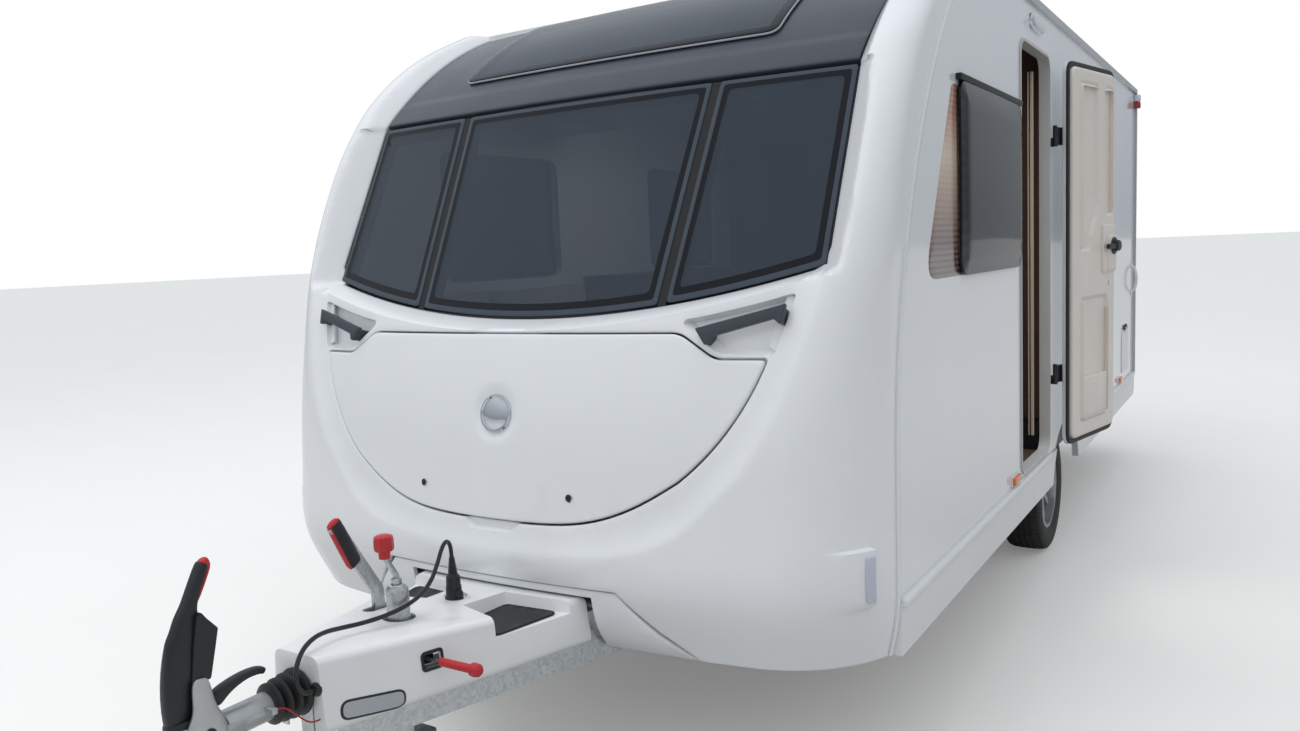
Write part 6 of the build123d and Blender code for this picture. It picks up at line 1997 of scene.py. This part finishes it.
@dataclass
class RoadWheel:
    """A treaded tyre and the cap and bolts of its alloy wheel."""

    centre_x: float = 0.962
    y: float = 3.880
    height: float = 0.298
    radius: float = 0.298
    width: float = 0.185
    rim_radius: float = 0.190
    blocks: int = 72
    groove: float = 0.006
    bolts: int = 5
    bolt_circle: float = 0.056
    # turned profiles
    cap: tuple[Point, ...] = ((0, -0.006), (0.033, -0.006), (0.033, 0.004), (0.028, 0.009), (0, 0.011))
    bolt: tuple[Point, ...] = ((0, -0.008), (0.010, -0.008), (0.010, 0.004), (0.008, 0.006), (0, 0.006))

    def section(self) -> list[tuple[float, float, int]]:
        """Half of the tyre's section: radius, distance from the middle and kind of each point."""
        r, w, rim = self.radius, self.width / 2, self.rim_radius
        low = r - self.groove
        tread = [(r, 0.0, 0), (r, 0.008, 1), (low, 0.009, 3), (low, 0.016, 3), (r, 0.017, 1),
                 (r - 0.0005, 0.036, 1), (low, 0.037, 3), (low, 0.044, 3), (r - 0.001, 0.045, 2),
                 (r - 0.003, 0.064, 2), (r - 0.009, 0.080, 2)]
        wall = [(r - 0.022, w - 0.004, 0), (r - 0.042, w, 0), (r - 0.046, w - 0.0012, 0), (r - 0.050, w, 0),
                (r - 0.075, w - 0.003, 0), (rim + 0.012, w - 0.012, 0), (rim, w - 0.018, 0),
                (rim - 0.004, w - 0.040, 0), (rim - 0.004, 0.0, 0)]
        return tread + wall

    def tyre(self, side: Side) -> None:
        """The tyre: ribs, cross cuts in the shoulders and a lettering-free side wall."""
        half = self.section()
        ring = half + [(r, -w, kind) for r, w, kind in reversed(half[1:-1])]
        points: list[Vector] = []
        steps = self.blocks * 3
        for k in range(steps):
            turn = 2 * math.pi * k / steps
            for r, w, kind in ring:
                cut = (kind == 2 and k % 3 == 0) or (kind == 1 and k % 6 == 3)
                radius = r - (self.groove * 0.8 if cut else 0.0)
                points.append(Vector((side.value * self.centre_x + w, self.y + radius * math.sin(turn),
                                      level(self.height) + radius * math.cos(turn))))
        size = len(ring)
        faces = [(k * size + j, k * size + (j + 1) % size, (k + 1) % steps * size + (j + 1) % size,
                  (k + 1) % steps * size + j) for k in range(steps) for j in range(size)]
        name = side.name.lower()
        piece = new_piece(f"{name}_tyre_treaded", points, faces, [TYRE], None, 28.0)
        carried(piece, f"{name}_wheel", "tyre_rubber", f"{name}_tyre")

    def rim(self, side: Side) -> None:
        """The alloy wheel with softened spokes, its centre cap and bolts."""
        name = side.name.lower()
        carried(softened(f"{name}_rim", 0.002, ALLOY, 35.0), f"{name}_wheel", "alloy_wheel")
        out = Vector((side.value, 0, 0))
        hub = Vector((side.value * (self.centre_x + 0.046), self.y, level(self.height)))
        parts = [lathe("cap", self.cap, hub, out, ALLOY, 36)]
        for k in range(self.bolts):
            turn = 2 * math.pi * k / self.bolts
            at = hub + Vector((0, math.sin(turn), math.cos(turn))) * self.bolt_circle
            parts.append(lathe("bolt", self.bolt, at, out, CHROME, 6, 20.0))
        carried(joined(f"{name}_wheel_cap_and_bolts", parts), f"{name}_wheel", "alloy_wheel")

    def build(self) -> None:
        """Builds both wheels."""
        for side in Side:
            self.tyre(side)
            self.rim(side)


@dataclass
class Drawbar:
    """Cover, coupling, handles, jockey, handbrake, plug and the two free cords."""

    towing_diameter: float = 0.012
    towing_length: float = 0.803
    towing_route: tuple[tuple[int, int, int], ...] = (
        (0, 810, 702), (0, 810, 736), (4, 790, 757), (10, 764, 744), (20, 732, 706), (34, 690, 672),
        (48, 636, 653), (50, 578, 641), (36, 520, 633), (16, 462, 630), (5, 405, 636), (9, 350, 646),
        (22, 300, 650), (38, 252, 639), (54, 218, 610), (66, 206, 576), (72, 222, 550), (68, 242, 545),
        (68, 262, 545))
    breakaway_diameter: float = 0.004
    breakaway_length: float = 0.132
    breakaway_route: tuple[tuple[int, int, int], ...] = (
        (54, 156, 535), (54, 172, 535), (58, 190, 522), (62, 208, 500), (66, 226, 480), (70, 244, 470),
        (70, 262, 470))
    # turned profiles: radius and distance along the axis
    latch: tuple[Point, ...] = ((0, 0), (0.011, 0), (0.011, 0.012), (0.009, 0.014), (0, 0.014))
    grommet: tuple[Point, ...] = ((0.0065, -0.004), (0.017, -0.004), (0.017, 0.001), (0.013, 0.006),
                                  (0.0072, 0.008), (0.0065, -0.004))
    crank_knob: tuple[Point, ...] = ((0, 0.7690), (0.0150, 0.7690), (0.0158, 0.790), (0.0245, 0.7905),
                                     (0.0262, 0.796), (0.0262, 0.819), (0.0240, 0.829), (0.018, 0.8315),
                                     (0, 0.8325))
    clamp_grip: tuple[Point, ...] = ((0, 0.199), (0.0100, 0.199), (0.0112, 0.203), (0.0112, 0.290),
                                     (0.0104, 0.2985), (0.0125, 0.3010), (0.0168, 0.306), (0.0178, 0.316),
                                     (0.0160, 0.327), (0.0100, 0.3335), (0, 0.3350))
    sleeve: tuple[Point, ...] = ((0, 0.680), (0.0262, 0.664), (0.0302, 0.590), (0.0308, 0.590),
                                 (0.0308, 0.668), (0.0290, 0.677), (0.0240, 0.684), (0.0180, 0.687), (0, 0.687))
    nut: tuple[Point, ...] = ((0, 0.686), (0.0130, 0.686), (0.0140, 0.688), (0.0140, 0.703), (0.0120, 0.706),
                              (0, 0.706))
    nut_seat: tuple[Point, ...] = ((0.0185, 0.686), (0.0200, 0.686), (0.0200, 0.689), (0.0150, 0.690),
                                   (0.0185, 0.686))
    arm_cap: tuple[Point, ...] = ((0, -0.006), (0.013, -0.006), (0.013, 0.003), (0.010, 0.005), (0, 0.005))
    plug_ring: tuple[Point, ...] = ((0.036, -0.002), (0.044, -0.002), (0.043, 0.003), (0.040, 0.0045),
                                    (0.037, 0.003), (0.036, -0.002))
    # y and height of the cheeks' corners, in millimetres
    cheek: tuple[tuple[int, int], ...] = (
        (-24, 660), (22, 658), (41, 729), (50, 764), (24, 795), (12, 813), (1, 800), (-12, 740))
    # lofted forms in millimetres: x, y, height, half across, half up
    handbrake_grip: tuple[tuple[float, ...], ...] = (
        (-120, 566, 738, 10, 21), (-120, 560, 748, 12, 24), (-120, 540, 790, 12.5, 24),
        (-120, 515, 842, 12.5, 23), (-120, 504, 866, 11, 21), (-120, 501, 872, 6, 12))
    handle: tuple[tuple[float, ...], ...] = (
        (0, -24, 572, 18, 46), (0, -27, 580, 21, 50), (0, -29, 610, 22, 51), (0, -27, 665, 22, 51),
        (0, -16, 715, 22, 52), (0, -6, 750, 21, 51), (0, -3, 768, 20, 48), (0, -6, 786, 19, 36),
        (0, -6, 802, 18, 26), (0, 0, 820, 17, 16), (0, 9, 842, 17, 13), (0, 25, 874, 17, 12),
        (0, 41, 904, 16, 12), (0, 44, 912, 12, 9))
    collar: tuple[tuple[float, ...], ...] = (
        (0, -22, 555, 28, 54), (0, -23, 576, 30, 56), (0, -24, 584, 29, 55), (0, -24, 587, 26, 52))
    lever: tuple[tuple[float, ...], ...] = (
        (0, 34, 590, 12, 14), (0, 40, 596, 14, 18), (0, 50, 603, 15, 18), (0, 68, 612, 15, 14),
        (0, 92, 619, 15, 11), (0, 120, 624, 14, 9), (0, 150, 623, 13, 9), (0, 165, 618, 12, 9),
        (0, 172, 613, 9, 7))
    insert: tuple[tuple[float, ...], ...] = (
        (0, 13.5, 822, 6, 3), (0, 20, 834, 12, 5), (0, 50, 890, 12, 5), (0, 53, 902, 13, 8),
        (0, 45, 911.5, 13, 13), (0, 43, 918, 10, 9))
    arm: tuple[tuple[float, ...], ...] = (
        (33, -8, 500, 9, 42), (36, -8, 510, 12, 50), (38, -8, 540, 12, 52), (38, -7, 570, 11, 46),
        (37, -6, 590, 10, 33), (36, -7, 612, 9, 25), (34, -8, 640, 8, 23), (32, -8, 662, 7, 20),
        (31, -6, 672, 4, 12))
    shell: tuple[tuple[float, ...], ...] = (
        (0, -10, 488, 28, 50), (0, -14, 500, 33, 58), (0, -19, 545, 35, 63), (0, -21, 568, 34, 62),
        (0, -21, 578, 30, 58))

    @staticmethod
    def cord_curve(name: str, route: Sequence[tuple[int, int, int]], diameter: float,
                   finish: Finish) -> Object:
        """Draws a round cord along a route.

        Args:
            name: Object name.
            route: Points in millimetres, the last number above the ground.
            diameter: Thickness of the cord.
            finish: Finish of the cord.

        Returns:
            The curve.
        """
        data = bpy.data.curves.new(name, "CURVE")
        data.dimensions = "3D"
        data.bevel_depth = diameter / 2
        data.bevel_resolution = 4
        data.resolution_u = 12
        data.use_fill_caps = True
        spline = data.splines.new("NURBS")
        spline.points.add(len(route) - 1)
        for point, (x, y, height) in zip(spline.points, route):
            point.co = (x / 1000, y / 1000, level(height / 1000), 1.0)
        spline.order_u = 3
        spline.use_endpoint_u = True
        data.materials.append(finish.material())
        obj = bpy.data.objects.new(name, data)
        bpy.context.scene.collection.objects.link(obj)
        return obj

    def cords(self) -> None:
        """The towing cable over the cover and the short red breakaway cable."""
        for name, node, route, diameter, length, finish, slot, stiffness, lay in (
            ("towing_cord", "towing_cable", self.towing_route, self.towing_diameter, self.towing_length, CABLE,
             "cable_sheath", "medium", "loose"),
            ("breakaway_cord", "breakaway_cable", self.breakaway_route, self.breakaway_diameter,
             self.breakaway_length, RED_PVC, "red_cable", "medium", "hanging"),
        ):
            cord = self.cord_curve(name, route, diameter, finish)
            carried(cord, BODY, slot, node)

    def plug(self) -> None:
        """The parked plug: socket flange, knurled body, ribbed tapering boot."""
        at = Vector((0, 0.810, level(0.583)))
        profile = [(0, -0.012), (0.026, -0.012), (0.026, 0.006), (0.0235, 0.008), (0.022, 0.034),
                   (0.0205, 0.037), (0.020, 0.062), (0.0165, 0.066)]
        for k in range(7):
            z, r = 0.070 + k * 0.0066, 0.0135 - k * 0.0008
            profile += [(r, z), (r, z + 0.0036), (r - 0.0012, z + 0.0042), (r - 0.0012, z + 0.006)]
        profile += [(0.0078, 0.1190), (0, 0.1190)]
        body = lathe("plug_body", profile, at, Vector((0, 0, 1)), ABS_BLACK, 32)
        knob = lathe("plug_latch", self.latch, at + Vector((0.018, -0.004, 0.018)), Vector((1, -0.3, 0)),
                     ABS_BLACK, 24)
        carried(joined("towing_plug", [body, knob]), BODY, "black_plastic", "cable_plug")
        ring = lathe("cable_grommet", self.grommet, Vector((0.068, 0.259, level(0.545))), Vector((0, -1, 0.1)),
                     ABS_BLACK, 28)
        carried(ring, BODY, "black_plastic")

    def jockey(self) -> None:
        """Softened clamp, turned sleeve and nut, the red knob and the red clamp grip with its ball."""
        z_axis = Vector((0, 0, 1))
        carried(softened("jockey_clamp", 0.0015, ZINC, 40.0), BODY, "galvanised_steel")
        knob = lathe("crank_knob", self.crank_knob, Vector((0, 0.563, -BALL_HEIGHT)), z_axis, RED_GRIP, 10,
                     26.0)
        grip = lathe("clamp_grip", self.clamp_grip, Vector((0, 0.540, level(0.531))), Vector((1, 0, 0)),
                     RED_GRIP, 28)
        carried(joined("red_knob_and_grip", [knob, grip]), BODY, "red_cable")
        at = Vector((0, 0.597, -BALL_HEIGHT))
        tube = lathe("sleeve", self.sleeve, at, z_axis, ZINC, 40, 50.0)
        nut = lathe("nut", self.nut, at, z_axis, ZINC, 6, 20.0)
        ring = lathe("seat", self.nut_seat, at, z_axis, CHROME, 32)
        carried(joined("jockey_sleeve_and_nut", [tube, nut, ring]), BODY, "galvanised_steel")

    def levers(self) -> None:
        """The handbrake's grip and the black handles of the coupling with a red insert."""
        carried(softened("handbrake_lever", 0.003, ZINC), BODY, "galvanised_steel")
        side = Vector((1, 0, 0))
        grip = loft("handbrake_grip", from_mm(self.handbrake_grip), [ABS_BLACK, RED_GRIP], side, 20,
                    lambda i, k: 1 if 10 <= k <= 16 or i >= 4 else 0)
        carried(grip, BODY, "black_plastic")
        body = loft("stabiliser_handle", from_mm(self.handle, 3.0), [ABS_BLACK], side, 24, None, 1, 60.0)
        cheeks = []
        for s in (1, -1):
            loop = rounded([(y / 1000, height / 1000) for y, height in self.cheek], 0.007)
            panel = Panel(loop, lambda u, v, d, s=s: Vector((s * (0.029 - d), u, level(v))), 0.012, 0.004, 0.02)
            cheeks.append(panel.build("cheek", [ABS_BLACK]))
        collar = loft("collar", from_mm(self.collar, 2.6), [ABS_BLACK], side, 28)
        lever = loft("lever", from_mm(self.lever, 3.2), [ABS_BLACK], side, 20, None, 1, 60.0)
        carried(joined("coupling_handle_mouldings", [body, *cheeks, collar, lever]), BODY, "black_plastic",
                "coupling_handles")
        insert = loft("stabiliser_insert", from_mm(self.insert), [RED_GRIP], side, 16, None, 1, 60.0)
        carried(insert, BODY, "red_cable")
        arm = loft("friction_arm", from_mm(self.arm, 2.8), [CASTING], side, 20, None, 1, 60.0)
        shell = loft("coupling_shell", from_mm(self.shell, 2.8), [CASTING], side, 28, None, 1, 60.0)
        bolt = lathe("arm_cap", self.arm_cap, Vector((0.049, -0.006, level(0.548))), side, ABS_BLACK, 28, 30.0)
        carried(joined("stabiliser_friction_arm", [arm, bolt, shell]), BODY, "cast_coupling")

    def metalwork(self) -> None:
        """Softened cover, coupling head, overrun housing, jockey fork and jockey wheel."""
        for node, body, radius, finish, slot in (
            ("drawbar_cover", BODY, 0.005, ABS_WHITE, "white_plastic"),
            ("coupling_head", BODY, 0.003, CASTING, "cast_coupling"),
            ("overrun_housing", BODY, 0.003, CASTING, "cast_coupling"),
            ("jockey_fork", "jockey_caster", 0.002, ZINC, "galvanised_steel"),
            ("jockey_wheel", "jockey_roller", 0.004, RUBBER, "jockey_rubber"),
        ):
            carried(softened(node, radius, finish), body, slot)

    def bellows(self) -> None:
        """The ribbed rubber bellows between the drawtube and its housing."""
        profile = [(0.025, 0.166), (0.033, 0.166), (0.035, 0.170)]
        for k in range(4):
            y, peak = 0.176 + k * 0.0245, 0.050 + k * 0.003
            profile += [(peak - 0.006, y), (peak, y + 0.004), (peak, y + 0.008), (peak - 0.006, y + 0.012),
                        (peak - 0.016, y + 0.018)]
        profile += [(0.044, 0.276), (0.025, 0.276)]
        piece = lathe("drawtube_bellows", profile, Vector((0, 0, 0.038)), Vector((0, 1, 0)), RUBBER, 48, 60.0)
        carried(piece, BODY, "bellows_rubber", "bellows")

    def pads(self) -> None:
        """The rubber step pads with rounded corners and a raised rim."""
        parts = []
        corners = [(0.083, 0.780), (0.090, 0.926), (0.274, 0.938), (0.226, 0.722)]
        for side in (1, -1):
            loop = refined(rounded([(side * x, y) for x, y in corners], 0.022, 8), 0.01)
            inner = offset(loop, 0.007)

            def top(x: float, y: float, ring: Loop = inner) -> Vector:
                """The pad's face, lower inside its rim."""
                sunk = 0.0012 if inside(np.array([[x, y]]), ring)[0] else 0.0
                return Vector((x, y, level(0.5415 - sunk)))

            panel = Panel(loop, lambda u, v, d, f=top: f(u, v) - Vector((0, 0, d)), 0.006, 0.0025, 0.02,
                          zones=(inner, offset(loop, 0.009)))
            parts.append(panel.build("pad", [RUBBER]))
        carried(joined("drawbar_step_pads", parts), BODY, "black_plastic", "step_pads")

    def cover_trims(self) -> None:
        """The black frame of the clamp opening and the white ring round the parked plug."""
        cover = bpy.data.objects["drawbar_cover"]
        shell = bmesh.new()
        shell.from_mesh(cover.data)
        tree = BVHTree.FromBMesh(shell)
        shell.free()
        loop = refined(rounded([(0.5135, 0.5095), (0.5665, 0.5095), (0.5665, 0.5525), (0.5135, 0.5525)], 0.009),
                       0.006)
        path = [tree.ray_cast(Vector((0.6, y, level(h))), Vector((-1, 0, 0)))[0] for y, h in loop]
        frame = bead("frame", path, (0.0050, 0.0020), ABS_BLACK, True, Vector((1, 0, 0)))
        back = rounded_box("back", (0.100, 0.140), (0.504, 0.576), (0.502, 0.560), 0.004, ABS_BLACK)
        carried(joined("clamp_opening_frame", [frame, back]), BODY, "black_plastic")
        plate = rounded([(0.296, 0.456), (0.455, 0.436), (0.462, 0.484), (0.301, 0.505)], 0.0235, 8)

        def side_face(y: float, h: float, depth: float) -> Vector:
            """The cover's side with the plate lying on it."""
            hit = tree.ray_cast(Vector((0.6, y, level(h))), Vector((-1, 0, 0)))[0]
            return Vector((hit.x + 0.0022 - depth, y, level(h)))

        blank = Panel(plate, side_face, 0.0022, 0.0012, 0.012, zones=(offset(refined(plate, 0.006), 0.0055),))
        carried(blank.build("blank_side_plate", [ABS_BLACK, SILVER_FILM]), BODY, "black_plastic")
        ring = lathe("ring", self.plug_ring, Vector((0, 0.810, level(0.5805))), Vector((0, -0.075, 1)),
                     ABS_WHITE, 44)
        carried(joined("plug_ring", [ring]), BODY, "white_plastic")

    def build(self) -> None:
        """Builds the drawbar's dressing."""
        self.bellows()
        self.pads()
        self.cover_trims()
        self.cords()
        self.plug()
        self.jockey()
        self.levers()
        self.metalwork()


@dataclass
class Cabin:
    """Padded seats behind the panes and pale edging beside the doorway."""

    seat_y: tuple[float, float] = (1.440, 2.860)
    seat_x: tuple[float, float] = (0.425, 1.065)
    base_top: float = 0.880
    thick: float = 0.140
    back_thick: float = 0.130
    back_high: float = 0.380
    crown: float = 0.016
    pull: float = 0.010
    edge: float = 0.022
    # half the gap between two pads and the gap under the back pads
    gap: float = 0.002

    def cushion(self, name: str, x: Point, y: Point, height: Point, finish: Finish) -> Object:
        """A crowned cushion whose sides pull in between its corners, flat where it rests.

        Args:
            name: Object name.
            x: Both sides, in either order.
            y: Front and back.
            height: Bottom and top, above the ground.
            finish: Fabric of the cushion.

        Returns:
            The cushion.
        """
        obj = rounded_box(name, x, y, height, self.edge, finish)
        low = Vector((min(x), y[0], level(height[0])))
        high = Vector((max(x), y[1], level(height[1])))
        activate(obj)
        bpy.ops.object.mode_set(mode="EDIT")
        bpy.ops.mesh.select_all(action="SELECT")
        bpy.ops.mesh.subdivide(number_cuts=4, smoothness=0.0)
        bpy.ops.object.mode_set(mode="OBJECT")
        middle, half = (low + high) / 2, (high - low) / 2
        thin = min(range(3), key=lambda axis: half[axis])
        for vertex in obj.data.vertices:
            share = [(vertex.co[axis] - middle[axis]) / half[axis] for axis in range(3)]
            rise = 1.0
            for axis in range(3):
                if axis != thin:
                    rise *= max(1 - share[axis] ** 4, 0.0)
            vertex.co[thin] += self.crown * (rise - 1) * share[thin]
            for axis in range(3):
                if axis != thin:
                    other = 3 - thin - axis
                    pulled = max(1 - share[other] ** 4, 0.0)
                    vertex.co[axis] -= self.pull * share[axis] * pulled
        return shade(obj, 50.0)

    def seats(self) -> None:
        """Seat and back cushions on both sides."""
        (y0, y1), (x0, x1) = self.seat_y, self.seat_x
        half, top = (y1 - y0) / 2, self.base_top + self.thick
        seats, backs = [], []
        for side in Side:
            s = side.value
            for k in range(2):
                y = (y0 + k * half + self.gap, y0 + (k + 1) * half - self.gap)
                seats.append(self.cushion("seat", (s * x0, s * x1), y, (self.base_top, top), FABRIC))
                backs.append(self.cushion("back", (s * (x1 - self.back_thick), s * x1), y,
                                          (top + self.gap, top + self.back_high), FABRIC_LIGHT))
        seat = carried(joined("seat_pads", seats), BODY, "seat_fabric", "seat_cushions")
        back = carried(joined("back_pads", backs), BODY, "seat_fabric", "back_cushions")

    def edge_strips(self) -> None:
        """Pale edging on the furniture beside the doorway."""
        strips = [rounded_box("strip", (x, x + width), (3.450, 3.468), (0.640, 2.240), 0.003, PALE_LAMINATE)
                  for x, width in ((1.043, 0.012), (1.032, 0.005))]
        carried(joined("furniture_edge_strips", strips), BODY, "cabin_wood")

    def build(self) -> None:
        """Builds the visible cabin."""
        self.seats()
        self.edge_strips()


@dataclass
class CarriedNodes:
    """Finishes of the CAD nodes that stay as they are."""

    finishes: dict[str, Finish] = field(default_factory=lambda: {
        "awning_rails": ANODISED, "axle": ZINC, "body_hinges": ABS_BLACK,
        "cabin_furniture": OAK, "cassette_hatch_offside": ABS_WHITE, "chassis_frame": ZINC,
        "door_frame": FRAME_GREY, "drawtube": ZINC, "floor": VINYL, "gas_locker_tub": ABS_WHITE,
        "jockey_inner_tube": ZINC, "locker_hatch_nearside": ABS_WHITE, "locker_hatch_offside": ABS_WHITE,
        "nearside_wall": WALL_PAINT, "offside_wall": WALL_PAINT, "parking_socket": ABS_BLACK,
        "rear_bumper": GELCOAT, "rear_panel": GELCOAT, "roof": WALL_PAINT, "seat_bases": PALE_LAMINATE,
        "skirts": ABS_WHITE, "steady_brackets": ZINC, "steady_front_nearside": ZINC,
        "steady_front_offside": ZINC, "steady_rear_nearside": ZINC, "steady_rear_offside": ZINC,
        "wheel_housings": ABS_BLACK, "window_surround": GASKET})

    def build(self) -> None:
        """Assigns each node its finish."""
        for name, finish in self.finishes.items():
            obj = bpy.data.objects[name]
            if not obj.material_slots:
                LOG.warning("%s has no material slot", name)
            for slot in obj.material_slots:
                slot.material = finish.material()


@dataclass
class Studio:
    """Pale floor, soft lights, white surroundings and the photograph's camera."""

    focal_px: float = 1008.0
    width_px: float = 1300.0
    yaw: float = math.radians(32.20)
    pitch: float = math.radians(6.43)
    roll: float = math.radians(-2.59)
    at: tuple[float, float, float] = (1.987, -1.240, 1.049)
    floor_glow: float = 0.16
    # sky seen by diffuse and by mirroring surfaces: place on the ramp and linear colour, low and high
    sky: tuple[tuple[float, tuple[float, float, float, float]], ...] = (
        (0.0, (0.50, 0.52, 0.55, 1.0)), (0.55, (0.80, 0.83, 0.87, 1.0)))
    mirrored_sky: tuple[tuple[float, tuple[float, float, float, float]], ...] = (
        (0.02, (0.34, 0.37, 0.40, 1.0)), (0.50, (0.70, 0.74, 0.80, 1.0)))

    def camera(self) -> None:
        """Places the camera as solved from the photograph."""
        data = bpy.data.cameras.new("Photo_camera")
        data.sensor_width = 36.0
        data.lens = self.focal_px / self.width_px * data.sensor_width
        data.clip_end = 600.0
        obj = bpy.data.objects.new("Photo_camera", data)
        bpy.context.scene.collection.objects.link(obj)
        ahead = Vector((-math.sin(self.yaw) * math.cos(self.pitch), math.cos(self.yaw) * math.cos(self.pitch),
                        -math.sin(self.pitch)))
        right = Vector((math.cos(self.yaw), math.sin(self.yaw), 0.0))
        up = right.cross(ahead)
        across = right * math.cos(self.roll) + up * math.sin(self.roll)
        upright = up * math.cos(self.roll) - right * math.sin(self.roll)
        obj.matrix_world = Matrix.Translation(Vector(self.at)) @ Matrix(
            (across, upright, -ahead)).transposed().to_4x4()
        bpy.context.scene.camera = obj

    def floor(self) -> None:
        """A plain pale floor under the wheels."""
        bpy.ops.object.select_all(action="DESELECT")
        bpy.ops.mesh.primitive_plane_add(size=400.0, location=(0, 3, level(0.0)))
        floor = bpy.context.active_object
        floor.name = floor.data.name = "studio_floor"
        bpy.ops.object.transform_apply(location=True, rotation=True, scale=True)
        # Matt painted studio floor, nearly white so that it runs into the background
        paint = Finish("Studio_paint", "#E6E5E2", "#E2E1DE", 0.8, grain_mm=30.0, grain_depth=0.02,
                       cloud_mm=900.0).material()
        shader = paint.node_tree.nodes["Principled BSDF"]
        shader.inputs["Emission Color"].default_value = (1.0, 1.0, 1.0, 1.0)
        links = paint.node_tree.links
        path = add_node(paint, "ShaderNodeLightPath")
        camera = path.outputs["Is Camera Ray"]
        seen = add_node(paint, "ShaderNodeMath", {0: camera, 1: path.outputs["Is Glossy Ray"]},
                        operation="MAXIMUM")
        glow = add_node(paint, "ShaderNodeMath", {0: camera, 1: self.floor_glow}, operation="MULTIPLY")
        tone = add_node(paint, "ShaderNodeMix", {"Factor": seen.outputs["Value"]}, data_type="RGBA")
        tone.inputs[6].default_value = linear("#B4B2AD")
        links.new(shader.inputs["Base Color"].links[0].from_socket, tone.inputs[7])
        links.new(tone.outputs[2], shader.inputs["Base Color"])
        links.new(glow.outputs["Value"], shader.inputs["Emission Strength"])
        floor.data.materials.append(paint)

    def lights(self) -> None:
        """Soft overhead and side lights like an overcast sky."""
        for name, at, aim, size, power in (
            ("Sky_panel", (-1.5, 0.0, 9.0), (0.0, 3.0, 0.0), 8.0, 260.0),
            ("Front_panel", (-4.0, -7.5, 4.5), (0.0, 1.5, 0.6), 5.0, 60.0),
            ("Cabin_lamp", (0.0, 3.0, 1.78), (0.0, 3.0, 0.0), 1.2, 14.0),
        ):
            data = bpy.data.lights.new(name, "AREA")
            data.shape = "DISK"
            data.size = size
            data.energy = power
            obj = bpy.data.objects.new(name, data)
            bpy.context.scene.collection.objects.link(obj)
            obj.location = at
            obj.visible_glossy = False
            obj.rotation_euler = (Vector(aim) - Vector(at)).to_track_quat("-Z", "Y").to_euler()

    def surroundings(self) -> None:
        """White to the camera, a grey sky that darkens to the horizon for everything else."""
        world = bpy.data.worlds.new("Studio")
        bpy.context.scene.world = world
        world.use_nodes = True
        coords = add_node(world, "ShaderNodeTexCoord")
        axes = add_node(world, "ShaderNodeSeparateXYZ", {"Vector": coords.outputs["Generated"]})
        skies = []
        for ends in (self.sky, self.mirrored_sky):
            ramp = add_node(world, "ShaderNodeValToRGB", {"Fac": axes.outputs["Z"]})
            for element, (position, colour) in zip(ramp.color_ramp.elements, ends):
                element.position, element.color = position, colour
            skies.append(ramp.outputs["Color"])
        path = add_node(world, "ShaderNodeLightPath")
        seen = add_node(world, "ShaderNodeMix", {0: path.outputs["Is Glossy Ray"], 6: skies[0], 7: skies[1]},
                        data_type="RGBA")
        mix = add_node(world, "ShaderNodeMix", {0: path.outputs["Is Camera Ray"], 6: seen.outputs[2],
                                                7: (1.0, 1.0, 1.0, 1.0)}, data_type="RGBA")
        background = world.node_tree.nodes["Background"]
        world.node_tree.links.new(mix.outputs[2], background.inputs["Color"])

    def build(self) -> None:
        """Sets the stage."""
        self.camera()
        self.floor()
        self.lights()
        self.surroundings()
        bpy.context.scene.view_settings.view_transform = "Standard"


def main() -> None:
    """Dresses the frame in order."""
    logging.basicConfig(level=logging.INFO, format="%(name)s: %(message)s")
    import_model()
    bpy.ops.object.select_all(action="DESELECT")
    for part in (Studio(), FrontMoulding(), FrontGlazing(), BodySides(), EntranceDoor(), RoadWheel(), Drawbar(),
                 Cabin(), CarriedNodes()):
        part.build()
        LOG.info("%s is done", type(part).__name__)


if __name__ == "__main__":
    main()
